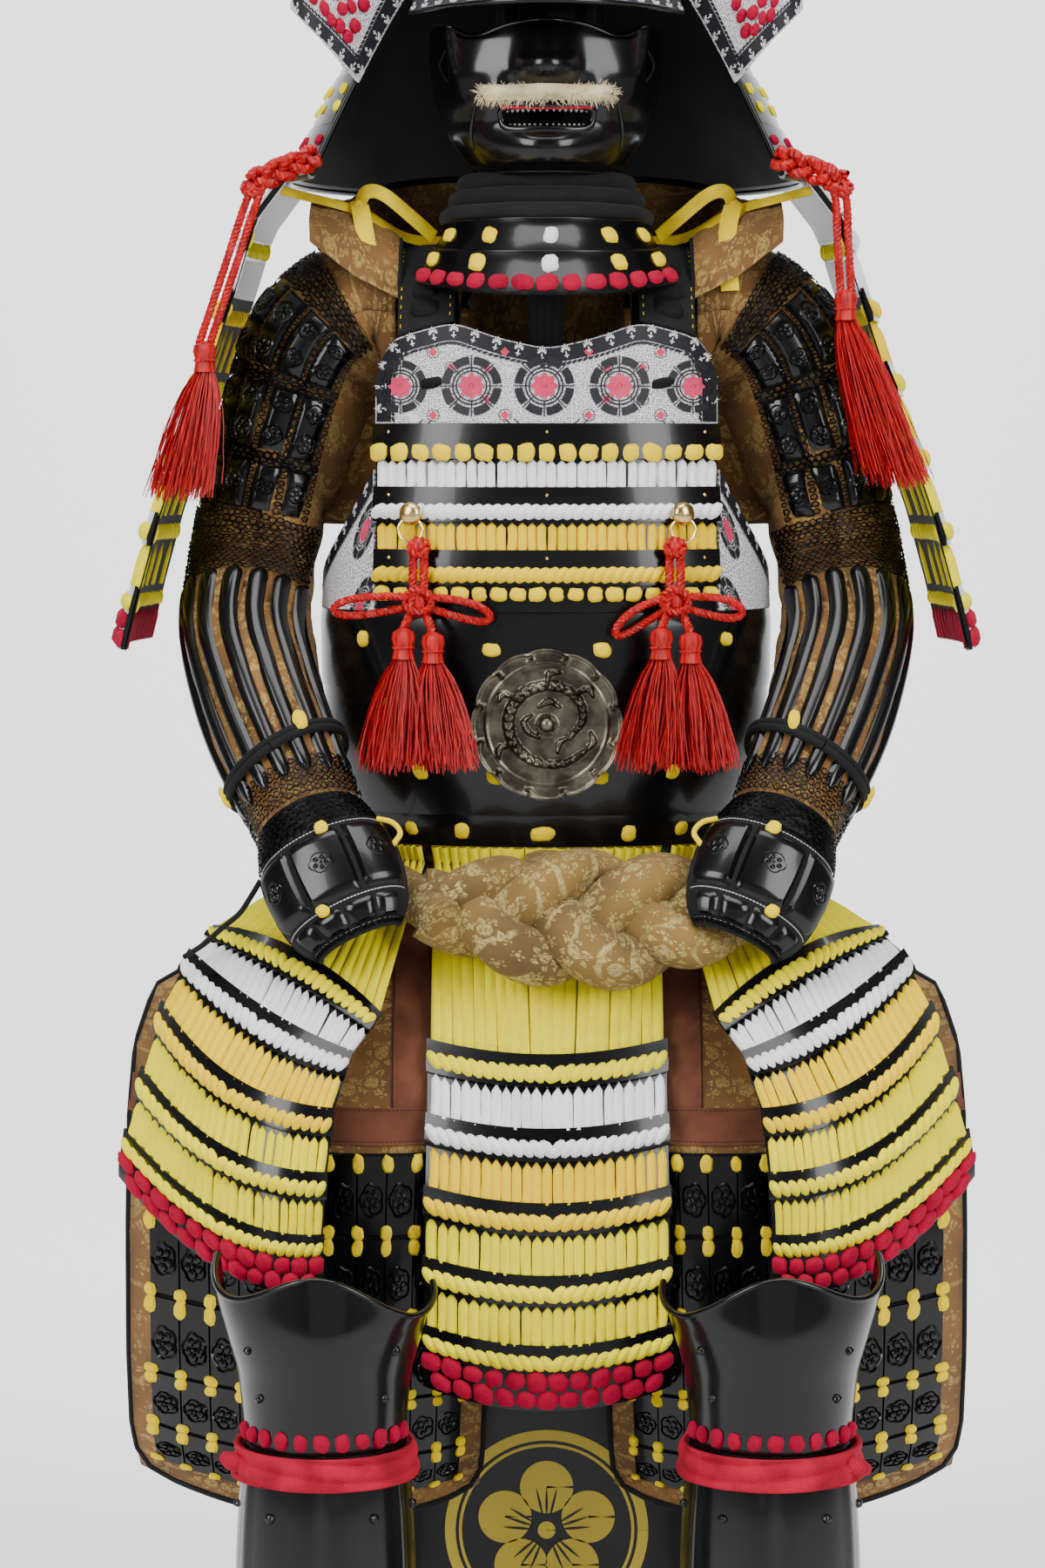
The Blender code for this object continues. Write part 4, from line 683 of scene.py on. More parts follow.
# Body form
def torso(angle, height, out=0.0):
    """Points of the body's oval section, at an angle from the front towards +X."""
    angle, height = np.broadcast_arrays(np.asarray(angle, float), np.asarray(height, float))
    a, b = (np.interp(height, TORSO[:, 0], TORSO[:, k]) for k in (1, 2))
    power = 2 / SQUARENESS
    x = a * np.sign(np.sin(angle)) * np.abs(np.sin(angle)) ** power
    y = -b * np.sign(np.cos(angle)) * np.abs(np.cos(angle)) ** power
    nx = np.sign(x) * np.abs(x / a) ** (SQUARENESS - 1) / a
    ny = np.sign(y) * np.abs(y / b) ** (SQUARENESS - 1) / b
    size = np.sqrt(nx ** 2 + ny ** 2)
    return np.stack([x + nx / size * out, y + ny / size * out, height + 0.0 * x], -1)


def angle_at(x, height):
    a = np.interp(height, TORSO[:, 0], TORSO[:, 1])
    return np.sign(x) * np.arcsin(np.minimum(np.abs(x / a), 1.0) ** (SQUARENESS / 2))


def front(x, height, out=0.0):
    return torso(angle_at(x, height), height, out)


def through(rows, place, share):
    """Points of a table of rows, straight between rows and on a smooth curve along each."""
    place, share = np.broadcast_arrays(np.asarray(place, float), np.asarray(share, float))
    i = np.minimum(place.astype(int), len(rows) - 2)
    weight = (2 * (share - 0.5) * (share - 1), 4 * share * (1 - share), 2 * share * (share - 0.5))
    upper = sum(rows[i, k] * weight[k][..., None] for k in range(3))
    lower = sum(rows[i + 1, k] * weight[k][..., None] for k in range(3))
    return upper + (lower - upper) * (place - i)[..., None]


def mirrored(place, side):
    return place if side == 1 else lambda u, v: place(u, v) * np.array([-1.0, 1.0, 1.0])


def panel_surface(rows, side):
    return Surface(mirrored(lambda u, v: through(rows, v, u), side), np.linspace(0, 1, 41),
        np.linspace(0, len(rows) - 1, 12 * (len(rows) - 1) + 1))


# Laced plates
EDGE_U = 0.012


def laced_plates(pile, surface, first, lames, pitch, schemes, count, cord_half, plain=False):
    """Lames with their lacing: schemes gives for each the cord's look along its edge and below it."""
    us = np.linspace(surface.us[0], surface.us[-1], 33)
    span = surface.us[-1] - surface.us[0]
    low, high = surface.us[0] + EDGE_U * span, surface.us[-1] - EDGE_U * span
    places = np.linspace(low + cord_half / surface.wide, high - cord_half / surface.wide, count)
    tops = first + pitch * np.arange(lames)
    bend = np.linspace(0, 1, 5)
    for k, (rope, below) in enumerate(schemes):
        top = tops[k]
        last = k == lames - 1
        ends = top + pitch * (1.0 if last else 0.45)
        vs = top + (ends - top) * bend
        swell = swelling(5, (0, 0.35, 0.8, 1), (0.0050, 0.0054, 0.0062, 0.0050))
        pile.wall(surface, us, vs, 0.0022, swell, "lacquer")
        half = places - (low + high) / 2 <= 0
        for part, slant in ((places[half], -0.85), (places[~half], 0.85)):
            rope_row(pile, surface, part, top + pitch * 0.275, 0.0054, rope, slant=slant,
                rings=3 if plain else 4, sides=8 if plain else 11)
        if below == "pink":
            shift = (places[1] - places[0])
            half_pink = (high - low) * surface.wide / count * 0.98
            rows = (places[::2][:count // 2 + 1], (places[::2] + shift)[:count // 2])
            for m, line in enumerate(rows):
                line = np.clip(line, low + 0.0045 / surface.wide, high - 0.0045 / surface.wide)
                knots(pile, surface, line, top + pitch * (0.56 + 0.27 * m), 0.0052, "pink", half_pink,
                    0.0078, 0.0054)
        else:
            end = top + pitch * 1.03
            cords(pile, surface, places, top + pitch * 0.445, end, cord_half * 1.02, 0.0040, 0.0010, below,
                rows=5 if plain else 7)
    return places


TASSET_SCHEME = (("pale", "white"), ("white", "deep"), ("deep", "pale"), ("pale", "pale"), ("pale", "pink"))


def tasset(name, rows, angles, side, count, loose, plain=False):
    surface = panel_surface(rows, side)
    pile = Pile()
    us = np.linspace(0, 1, 21)
    pile.wall(surface, us, np.linspace(0, len(rows) - 1, 16), 0.0002, 0.0010, "lacquer")
    cord_half = 0.48 * surface.wide / count
    laced_plates(pile, surface, 0.0, len(rows) - 1, 1.0, TASSET_SCHEME, count, cord_half, plain)
    hang = Surface(
        mirrored(lambda u, v: hung_point(rows, angles, u, v), side), np.linspace(0, 1, 33),
        np.linspace(-1, 0, 25)
    )
    # A dark sheet behind the hanging cords: painted shade in the gaps between them.
    pile.wall(hang, np.linspace(0.01, 0.99, 15), np.linspace(-1, 0, 12), 0.0002, 0.0008, "cord_gap_shade")
    places = np.linspace(0.035, 0.965, loose)
    half, bends = hang.wide / loose * 0.49, 8 if plain else 18
    cords(pile, hang, places, hang.vs[0], hang.vs[-1] + 0.03, half, 0.0036, 0.0009, "pale", arch=0.0,
        rows=bends)
    pile.make(f"{name}_laced", "lacing", name, crease=55)


def hung_point(rows, angles, u, v):
    """From the cuirass's hem to the first row of a panel: v from -1 to 0."""
    start_angle = angles[0] + (angles[1] - angles[0]) * u
    top = torso(start_angle, 0.772, SKIRT_BASE)
    hem = torso(start_angle, HEM, SKIRT_BASE)
    row = through(rows, 0.0 * u, u)
    on = np.clip((v + 1) / 0.12, 0, 1)[..., None]
    down = np.clip((v + 0.88) / 0.88, 0, 1)[..., None]
    swell = np.sin(math.pi * down) * np.array([0.0, -0.006, 0.003])
    return np.where(down > 0, hem + (row - hem) * down + swell, top + (hem - top) * on)


def back_rows(middle, half):
    drops = (
        (0.665, 0.042, 1.00), (0.613, 0.073, 1.03), (0.560, 0.099, 1.06), (0.507, 0.120, 1.08),
        (0.455, 0.136, 1.10), (0.412, 0.147, 1.12),
    )
    found = []
    for height, reach, spread in drops:
        points = torso(middle + half * spread * np.array([-1.0, 0.0, 1.0]), 0.757, reach)
        points[:, 2] = height
        found.append(points)
    return np.array(found)


def skirt():
    front_angles = (angle_at(-0.088, HEM), angle_at(0.088, HEM))
    tasset("tasset_centre", CENTRE_TASSET, front_angles, 1, 23, 21)
    side_angles = (angle_at(-0.093, HEM), math.radians(-84))
    tasset("tasset_left", SIDE_TASSET, side_angles, 1, 23, 19)
    tasset("tasset_right", SIDE_TASSET, side_angles, -1, 23, 19)
    half = math.radians(25)
    for name, middle, side in (
        ("tasset_back_left", math.radians(-122), 1), ("tasset_back_right", math.radians(-122), -1),
        ("tasset_back_centre", math.pi, 1),
    ):
        tasset(name, back_rows(middle, half), (middle - half, middle + half), side, 19, 15, plain=True)


GUARD_SCHEME = (("white", "white"), ("deep", "deep"), ("pale", "pale"), ("pale", "pale"), ("pale", "pale"),
    ("pale", "pink"))


def guard_place(u, v):
    """The shoulder guard: u runs from the back to the front, v down its table of heights."""
    height = np.interp(v, np.arange(len(SHOULDER_GUARD)), SHOULDER_GUARD[:, 0])
    x = np.interp(v, np.arange(len(SHOULDER_GUARD)), SHOULDER_GUARD[:, 1])
    bulge = GUARD_BULGE * (1 - (2 * u - 1) ** 2)
    return np.stack([x - bulge, GUARD_HALF_Y * (1 - 2 * u), height], -1)


def shoulder_guards():
    for name, side in SIDES:
        vs = np.linspace(0, 7, 85)
        surface = Surface(mirrored(guard_place, side), np.linspace(0, 1, 41), vs)
        pile = Pile()
        us = np.linspace(0, 1, 25)
        pile.wall(surface, us, np.linspace(0.02, 0.96, 6), 0.0, 0.0046, "lacquer")
        pile.wall(surface, us, np.linspace(1.0, 7.0, 31), 0.0002, 0.0012, "lacquer")
        cap = np.linspace(0.03, 0.97, 26)
        cords(pile, surface, cap, 0.10, 0.95, 0.0044, 0.0024, 0.0042, "white", arch=0.12, rows=5)
        laced_plates(pile, surface, 1.0, 6, 1.0, GUARD_SCHEME, 26, 0.0042)
        lining = Surface(mirrored(guard_place, side), np.linspace(0, 1, 41), vs, flip=True)
        places = np.linspace(0.03, 0.97, 24)
        pile.wall(lining, np.linspace(0.015, 0.985, 17), np.linspace(0.08, 1.16, 5), 0.0, 0.0009, "white")
        pile.wall(lining, np.linspace(0.015, 0.985, 17), np.linspace(1.46, 2.02, 4), 0.0, 0.0009, "white")
        pile.wall(lining, np.linspace(0.01, 0.99, 17), np.linspace(2.02, 6.98, 25), -0.0002, 0.0003,
            "mail_cloth")
        for v in (0.20, 1.10):
            stitches(pile, lining, np.stack([np.linspace(0.03, 0.97, 44), np.full(44, v)], 1), 0.0009,
                "navy", 0.0030, 0.0005)
        for k, (rope, below) in enumerate(GUARD_SCHEME):
            rope_row(pile, lining, places, 1.30 + k, 0.0003, rope if k else "pale", thick=0.0026, rings=3,
                sides=9)
            if below == "pink":
                cords(pile, lining, places, 1.44 + k, 1.97 + k, 0.0046, 0.0018, 0.0003, "pink", arch=0.1,
                    rows=4)
            elif k > 0:
                cords(pile, lining, places[1::3], 1.44 + k, 2.06 + k, 0.0050, 0.0016, 0.0003,
                    "pale" if k > 1 else "deep", arch=0.1, rows=4)
        pile.make(f"shoulder_guard_{name}_laced", "lacing", f"shoulder_guard_{name}", crease=55)


# Cuirass
def chest_edge(x):
    """The top plate's upper edge, as a smooth line."""
    fine = np.linspace(-CHEST_HALF, CHEST_HALF, 81)
    rough = np.interp(fine, CHEST_EDGE[:, 0], CHEST_EDGE[:, 1])
    padded = np.pad(rough, 3, mode="edge")
    soft = np.convolve(padded, np.ones(7) / 7, mode="valid")
    soft[:6], soft[-6:] = rough[:6], rough[-6:]
    return np.interp(x, fine, soft)


def spray(size=1.0):
    """A fan of fine leaves above a short stem with a small bar."""
    strokes = [petal(0.0022, 0.0072 - 0.0010 * abs(k), -math.pi / 2 + 0.36 * k, 0.00050)
        for k in (-3, -2, -1, 0, 1, 2, 3)]
    strokes.append((np.array([(0.0, -0.001), (0.0, 0.0040)]), np.array([0.00045, 0.00045])))
    strokes.append((np.array([(-0.0018, 0.0022), (0.0018, 0.0022)]), np.array([0.0004, 0.0004])))
    return [(line * size, half * size) for line, half in strokes]


def wheel():
    """(dark strokes, pink strokes) of a wheel with eight rim pieces, spokes and a flower."""
    dark, pink = [], []
    for k in range(8):
        middle = 2 * math.pi * k / 8 + math.pi / 8
        dark.append(arc(0.0178, middle - 0.31, middle + 0.31, 0.0029))
        dark.append(arc(0.0128, middle - 0.36, middle + 0.36, 0.0006))
        spoke = 2 * math.pi * k / 8
        dark.append((np.array([(0.010 * math.cos(spoke), 0.010 * math.sin(spoke)),
            (0.0215 * math.cos(spoke), 0.0215 * math.sin(spoke))]), np.array([0.0004, 0.0004])))
        pink.append(petal(0.0018, 0.0092, spoke, 0.0030))
    dark.append(arc(0.0104, 0, 2 * math.pi, 0.0005, 25))
    pink.append(arc(0.0008, 0, 2 * math.pi, 0.0009, 9))
    return dark, pink


def lattice(width, height):
    """(dark strokes, pink strokes) of crossed diagonal bands with small flowers."""
    dark, pink = [], []
    for side in (-1, 1):
        for shift in (-0.0035, 0.0035):
            dark.append((np.array([(-width * side + shift, -height), (0 + shift, 0.0),
                (width * side + shift, height)]), np.full(3, 0.0005)))
        for k in range(-2, 3):
            if k:
                share = k / 2.6
                x, y = width * side * share, height * share
                pink += moved([petal(-0.0034, 0.0034, 0.0, 0.0022),
                    petal(-0.0034, 0.0034, math.pi / 2, 0.0022)], x, y)
                dark += moved([arc(0.0048, 0, 2 * math.pi, 0.0003, 9)], x, y)
    return dark, pink


def border_line(pile, place, points, width, inwards, size=1.0, pitch=0.0175, turned=False):
    """A dark leather border along a line of points, with sprays and a chain stitch."""
    points = np.asarray(points, float)
    steps = np.r_[0, np.cumsum(np.linalg.norm(np.diff(points, axis=0), axis=1))]
    total = steps[-1]

    def read(at):
        return np.stack([np.interp(at, steps, points[:, k]) for k in (0, 1)], -1)

    fine = np.linspace(0, total, max(8, int(total / 0.006)))
    line = read(fine)
    along = np.gradient(line, axis=0)
    along /= np.linalg.norm(along, axis=1, keepdims=True) + 1e-12
    inner = np.stack([-along[:, 1], along[:, 0]], 1) * inwards
    strips(pile, place, [(line + inner * width / 2, width / 2)], "navy", turned, 0.0003)

    def beside(at, away):
        """A spot beside the line, and the line's angle there."""
        here = read(at)
        ahead = read(min(at + 0.001, total)) - here
        spin = math.atan2(ahead[1], ahead[0])
        return here + np.array([-math.sin(spin), math.cos(spin)]) * inwards * away, spin

    for at in np.arange(pitch * 0.6, total - pitch * 0.3, pitch):
        spot, spin = beside(at, width * 0.46)
        turn = spin + (0 if inwards > 0 else math.pi)
        strips(pile, place, moved(spray(size), *spot, turn), "print_white", turned, 0.0005)
    for at in np.arange(0.002, total, 0.0042):
        spot, spin = beside(at, width + 0.0018)
        strips(pile, place, moved([petal(-0.0024, 0.0024, 0.35, 0.0011, 5)], *spot, spin), "print_black",
            turned, 0.0008)


def chest_top():
    def place(u, v):
        top = chest_edge(u)
        return front(u, top + (CHEST_BOTTOM + GAP - top) * v)

    surface = Surface(place, np.linspace(-CHEST_HALF, CHEST_HALF, 61), np.linspace(0, 1, 15))
    pile = Pile()
    us = np.linspace(-CHEST_HALF, CHEST_HALF, 61)
    pile.wall(surface, us, np.linspace(0, 1, 12), 0.0, PLATE, "dotted", "lacquer")

    def on(x, z, out=0.0004):
        return front(x, z, PLATE + out)

    dark_wheel, pink_wheel = wheel()
    dark_lattice, pink_lattice = lattice(0.036, 0.032)
    middle = 1.1335
    for k in (-1, 1):
        strips(pile, on, moved(dark_lattice, k * 0.060, middle + 0.002), "print_black")
        strips(pile, on, moved(pink_lattice, k * 0.060, middle + 0.002), "print_pink")
    for x in (-0.0893, 0.0893):
        spot = Surface(front, np.linspace(x - 0.02, x + 0.02, 9), np.linspace(1.16, 1.11, 9))
        knots(pile, spot, [x], [1.1356], PLATE, "mail_cloth", 0.0098, 0.0042, 0.0050, 3.5)
    for k, x in enumerate((-0.113, -0.058, -0.002, 0.056, 0.113)):
        hub = (np.array([(0.0, -0.001), (0.0, 0.001)]), np.array([0.002, 0.002]))
        strips(pile, on, moved([hub], x, middle), "print_black", out=0.0006)
        size = 1.0 if k in (0, 4) else 1.12
        strips(pile, on, moved(dark_wheel, x, middle, 0.0, size), "print_black", out=0.0007)
        strips(pile, on, moved(pink_wheel, x, middle, 0.0, size), "print_pink", out=0.0009)
    fine = np.linspace(-CHEST_HALF + 0.001, CHEST_HALF - 0.001, 90)
    edge = np.stack([fine, chest_edge(fine) - 0.0006], 1)
    line = np.vstack([[(-CHEST_HALF + 0.001, CHEST_BOTTOM + 0.002)], edge,
        [(CHEST_HALF - 0.001, CHEST_BOTTOM + 0.002)]])
    border_line(pile, on, line, 0.0115, -1)
    pile.make("chest_plate", "printed_leather", "chest_top", crease=50)


def chest_lames():
    lame = (CHEST_BOTTOM - WAIST_TOP) / 3
    surface = Surface(front, np.linspace(-CHEST_HALF, CHEST_HALF, 61),
        np.linspace(CHEST_BOTTOM, WAIST_TOP, 46))
    us = np.linspace(-CHEST_HALF, CHEST_HALF, 49)
    schemes = ((None, "knots", "white"), ("white", "rope", "deep"), ("deep", "rope", "knots"))
    for k, (rope, kind, below) in enumerate(schemes):
        top = CHEST_BOTTOM - k * lame - GAP / 2
        bottom = top - lame + GAP
        pile = Pile()
        pile.wall(surface, us, np.linspace(top, bottom, 6), 0.0, 0.0022, "lacquer")
        swell = swelling(6, (0, 0.5, 1), (0.0058, 0.0066, 0.0068))
        pile.wall(surface, us, np.linspace(top, top - lame * 0.56, 6), 0.0, swell, "lacquer")
        inner = CHEST_HALF - 0.005
        cord_places = np.linspace(-inner, inner, 34)
        if kind == "knots":
            knots(pile, surface, np.linspace(-inner, inner, 17), top - 0.0225, 0.0066, "knot", 0.0071,
                0.0066, 0.0046, 3.6)
        else:
            rope_row(pile, surface, np.linspace(-inner, inner, 36), top - 0.0195, 0.0064, rope, slant=0.75)
        if below == "knots":
            knots(pile, surface, np.linspace(-inner + 0.002, inner - 0.002, 18), top - 0.0345, 0.0058,
                "knot", 0.0066, 0.0058, 0.0044, 3.6)
        else:
            cords(pile, surface, cord_places, top - 0.0275, bottom - 0.0004, 0.0041, 0.0042, 0.0020, below,
                arch=0.2)
        for x in (-0.121, 0.0, 0.121):
            rivets(pile, surface, [x], [top - 0.0065], 0.0058, "brass", 0.0014, 0.0011)
        pile.make(f"chest_lame_{k + 1}_laced", "lacing", f"chest_lame_{k + 1}", crease=55)


WAIST_KNOTS = (
    (-0.1425, 0.935), (-0.043, 0.928), (0.043, 0.928), (0.1395, 0.935), (-0.126, 0.883), (0.126, 0.883),
    (-0.098, 0.832), (-0.040, 0.829), (0.041, 0.829), (0.098, 0.832), (-0.066, 0.785), (-0.004, 0.783),
    (0.064, 0.783),
    (0.105, 0.786), (-0.105, 0.786),
)


def waist():
    for name, start in (("waist_front", -math.pi / 2), ("waist_back", math.pi / 2)):
        surface = Surface(torso, np.linspace(start + 0.0012, start + math.pi - 0.0012, 121),
            np.linspace(WAIST_TOP - GAP, HEM, 41))
        us = np.linspace(start + 0.0012, start + math.pi - 0.0012, 97)
        pile = Pile()
        seams = (WAIST_TOP - GAP, 0.8952, 0.7977, HEM)
        for upper, lower in zip(seams, seams[1:]):
            vs = np.linspace(upper, lower, 9)
            swell = swelling(9, (0, 0.1, 0.9, 1), (0.0026, 0.0032, 0.0042, 0.0038))
            pile.wall(surface, us, vs, 0.0, swell, "lacquer")
        middle = 0.0 if name == "waist_front" else math.pi
        for x, z in WAIST_KNOTS:
            knots(pile, surface, [middle + angle_at(x, z)], [z], 0.0036, "knot", 0.0062, 0.0062, 0.0044)
        pile.make(f"{name}_plates", "black_lacquer", name, crease=50)


def side_plates():
    for name, side in (("side_left", 1), ("side_right", -1)):
        def place(u, v):
            rise = np.abs(2 * u - 1) ** 1.6
            top = ARMHOLE_LOW + (ARMHOLE_HIGH - ARMHOLE_LOW) * rise
            height = top + (WAIST_TOP + GAP - top) * v
            edge = angle_at(CHEST_HALF + 0.0012, height)
            point = torso(edge + (math.pi - 2 * edge) * u, height)
            return point * np.array([-1.0, 1.0, 1.0])

        surface = Surface(mirrored(place, side), np.linspace(0, 1, 81), np.linspace(0, 1, 25))
        pile = Pile()
        pile.wall(surface, np.linspace(0, 1, 65), np.linspace(0, 1, 13), 0.0, PLATE, "dotted", "lacquer")

        def spot(x, y, out=0.0004):
            """Metres along and down from the armhole's edge."""
            u = np.clip(x / surface.wide, 0.0, 1.0)
            rise = np.abs(2 * u - 1) ** 1.6
            span = ARMHOLE_LOW + (ARMHOLE_HIGH - ARMHOLE_LOW) * rise - WAIST_TOP
            return surface.at(u, np.clip(y / span, 0, 1), PLATE + out)

        width = surface.wide
        dark_wheel, pink_wheel = wheel()
        for share, down in ((0.07, 0.090), (0.045, 0.036), (0.955, 0.036), (0.93, 0.090)):
            strips(pile, spot, moved(dark_wheel, share * width, down, 0.0, 0.8), "print_black",
                surface.turned, 0.0006)
            strips(pile, spot, moved(pink_wheel, share * width, down, 0.0, 0.8), "print_pink",
                surface.turned, 0.0008)
        line = np.array([(share * width, 0.0) for share in np.linspace(0.005, 0.995, 60)])
        border_line(pile, spot, line, 0.0125, 1, 1.0, 0.0165, surface.turned)
        pile.make(f"{name}_leather", "printed_leather", name, crease=50)


def back_plate():
    across = np.linspace(-CHEST_HALF, CHEST_HALF, 61)
    edge = chest_edge(across)

    def upper_at(x):
        upper = np.interp(x, across, edge)
        return upper + (BACK_TOP - upper) * BACK_RISE

    def place(u, v):
        upper = upper_at(u)
        height = np.where(v < 0, CHEST_BOTTOM + (upper - CHEST_BOTTOM) * -v,
            CHEST_BOTTOM + (WAIST_TOP + GAP - CHEST_BOTTOM) * v)
        return front(u, height) * np.array([1.0, -1.0, 1.0])

    surface = Surface(place, np.linspace(-CHEST_HALF, CHEST_HALF, 61), np.linspace(-1, 1, 60))
    pile = Pile()
    us = np.linspace(-CHEST_HALF, CHEST_HALF, 49)
    pile.wall(surface, us, np.linspace(-1, -0.001, 10), 0.0, PLATE, "dotted", "brocade")
    lame = 0.25
    inner = CHEST_HALF - 0.005
    places = np.linspace(-inner, inner, 34)
    pile.wall(surface, us, np.linspace(0, 1, 25), 0.0, 0.0018, "lacquer", "brocade")
    for k, (rope, below) in enumerate((("white", "white"), ("white", "deep"), ("deep", "pale"),
            ("pale", "pale"))):
        top = k * lame
        swell = np.full((5, 49), 0.0056)
        pile.wall(surface, us, np.linspace(top + 0.002, top + lame * 0.46, 5), 0.0018, swell, "lacquer")
        rope_row(pile, surface, np.linspace(-inner, inner, 30), top + lame * 0.27, 0.0056, rope, slant=0.75,
            rings=3, sides=9)
        cords(pile, surface, places, top + lame * 0.47, min(top + lame * 1.04, 0.999), 0.0041, 0.0036,
            0.0016, below, arch=0.2, rows=5)
    fine = np.linspace(-CHEST_HALF + 0.001, CHEST_HALF - 0.001, 60)

    def on(x, y, out):
        upper = upper_at(x)
        share = np.clip((upper - 0.0005 - y) / (upper - CHEST_BOTTOM) - 1, -1, -0.001)
        return surface.at(x, share, PLATE + out)

    border_line(pile, on, np.stack([fine, upper_at(fine) - 0.0006], 1), 0.0115, -1, turned=surface.turned)
    pile.make("back_plate_laced", "lacing", "back_plate", crease=50)


def straps():
    """Padded shoulder straps, with a toggle and a buckle where each meets the chest plate."""
    rise = ((0.30, 0.52), (0.62, 0.88), (0.87, 1.0), (1.0, 1.0))
    for name, side in (("strap_left", 1), ("strap_right", -1)):
        lines = []
        xs = np.linspace(STRAP_INNER, STRAP_OUTER, 9)
        for x in xs:
            chest_z = np.interp(x, CHEST_EDGE[:, 0], CHEST_EDGE[:, 1]) + 2 * GAP
            back_z = chest_z + (BACK_TOP - chest_z) * BACK_RISE + GAP
            start, end = front(x, chest_z), front(x, back_z) * np.array([1, -1, 1])
            path = [start]
            path += [np.array([x, start[1] * (1 - i), chest_z + (SHOULDER_Z - chest_z) * u]) for i, u in rise]
            path += [np.array([x, end[1] * (1 - i), back_z + (SHOULDER_Z - back_z) * u])
                for i, u in reversed(rise[:-1])]
            path.append(end)
            path = smooth_path(path, 8)
            path[:, 0] = -x
            lines.append(path)
        grid = np.stack(lines, 1)
        us, vs = np.linspace(0, 1, 9), np.linspace(0, 1, len(grid))
        surface = Surface(mirrored(lambda u, v: grid, side), us, vs)
        surface.face(2, 1)
        pile = Pile()
        bulge = 0.0026 + 0.0016 * np.sin(np.linspace(0, math.pi, 13)) ** 0.5
        pile.wall(surface, np.linspace(0, 1, 13), np.linspace(0, 1, 49), 0.0002,
            np.broadcast_to(bulge, (49, 13)), "black_cloth")
        for u in (0.06, 0.94):
            line = np.stack([np.full(40, u), np.linspace(0.02, 0.98, 40)], 1)
            stitches(pile, surface, line, 0.0032, "pale")
        knots(pile, surface, [0.5, 0.5, 0.5], [0.05, 0.10, 0.16], 0.0035, "mail_cloth", 0.0130, 0.0062,
            0.0060, 3.5)
        pile.make(f"{name}_pad", "black_cloth", name, bevel=0.0005)


def stitches(pile, surface, line, base, look, length=0.0024, half=0.00045):
    """Short raised stitches at the points of a line on a surface."""
    ahead = np.gradient(line, axis=0)
    step = np.hypot(ahead[:, 0] * surface.wide, ahead[:, 1] * surface.tall) + 1e-9
    t = np.linspace(-0.5, 0.5, 4)
    share = t[None, :] * length / step[:, None]
    u = line[:, :1] + ahead[:, :1] * share
    v = line[:, 1:] + ahead[:, 1:] * share
    side = np.stack([-ahead[:, 1] * surface.tall, ahead[:, 0] * surface.wide], 1) / step[:, None]
    w = np.array([-1.0, 0.0, 1.0])[None, :, None] * half
    uu = u[:, None, :] + side[:, :1, None] * w / surface.wide
    vv = v[:, None, :] + side[:, 1:, None] * w / surface.tall
    out = base + 0.0005 * (1 - np.abs(w) / half) * np.cos(math.pi * t * 0.8)[None, None, :]
    pile.grids(surface.at(uu, vv, out + 0 * uu), look, np.stack([uu, vv], -1), not surface.turned)


# Round cords, knots and tassels
def path_frames(path, hint=(0.0, 1.0, 0.0)):
    along = np.gradient(path, axis=0)
    along /= np.linalg.norm(along, axis=1, keepdims=True) + 1e-12
    first = np.zeros_like(along)
    guide = np.asarray(hint, float)
    for k, direction in enumerate(along):
        side = guide - direction * guide.dot(direction)
        side /= np.linalg.norm(side) + 1e-12
        first[k] = side
        guide = side
    return along, first, np.cross(along, first)


def resampled(path, step):
    path = np.asarray(path, float)
    at = np.r_[0, np.cumsum(np.linalg.norm(np.diff(path, axis=0), axis=1))]
    fine = np.linspace(0, at[-1], max(4, int(at[-1] / step) + 1))
    return np.stack([np.interp(fine, at, path[:, k]) for k in range(3)], 1), fine


def tube(pile, path, radius, look, sides=10, flat=1.0, hint=(0.0, 1.0, 0.0), ends=True):
    """A tube along a path; flat squeezes it across the hint's direction into a ribbon."""
    path = np.asarray(path, float)
    _, first, second = path_frames(path, hint)
    size = np.broadcast_to(np.asarray(radius, float), len(path))[:, None, None]
    turn = np.linspace(0, 2 * math.pi, sides + 1)
    ring = first[:, None] * np.cos(turn)[None, :, None] * flat + second[:, None] * np.sin(turn)[None, :, None]
    points = path[:, None] + ring * size
    run = np.r_[0, np.cumsum(np.linalg.norm(np.diff(path, axis=0), axis=1))]
    uv = np.stack([np.broadcast_to(turn * float(np.mean(size)), points.shape[:2]),
        np.broadcast_to(run[:, None], points.shape[:2])], -1)
    pile.grids(points, look, uv)
    if ends:
        end_caps(pile, points, path, look, 0.02)


def twisted(pile, path, radius, pitch=0.0105, strands=3):
    """A laid cord of twisted strands along a path."""
    path, run = resampled(path, pitch / 5)
    _, first, second = path_frames(path)
    for k in range(strands):
        turn = 2 * math.pi * (run / pitch + k / strands)
        centre = path + (first * np.cos(turn)[:, None] + second * np.sin(turn)[:, None]) * radius * 0.47
        tube(pile, centre, radius * 0.60, "silk", 5, ends=False)


def knot_ball(pile, centre, radius, thick, turns):
    """A bunched knot: loops of cord wound round each other."""
    centre = np.asarray(centre, float)
    for k in range(turns):
        tilt, spin = 0.5 + 0.9 * k, 1.9 * k
        turn = full_turn(21)
        ring = np.stack([np.cos(turn), 0.55 * np.sin(turn), 0.9 * np.sin(turn) * math.cos(tilt)], 1)
        ring = ring * (radius - thick)
        c, s = math.cos(spin), math.sin(spin)
        ring = np.stack([ring[:, 0] * c - ring[:, 2] * s, ring[:, 1] - 0.25 * radius * math.cos(spin),
            ring[:, 0] * s + ring[:, 2] * c], 1)
        twisted(pile, centre + ring, thick, 0.009, 2)
    tube(pile, centre + np.array([(0, 0, -1), (0, 0, -0.4), (0, 0, 0.4), (0, 0, 1)]) * radius * 0.8,
        np.array([0.3, 0.85, 0.85, 0.3]) * radius * 0.7, "silk", 10)


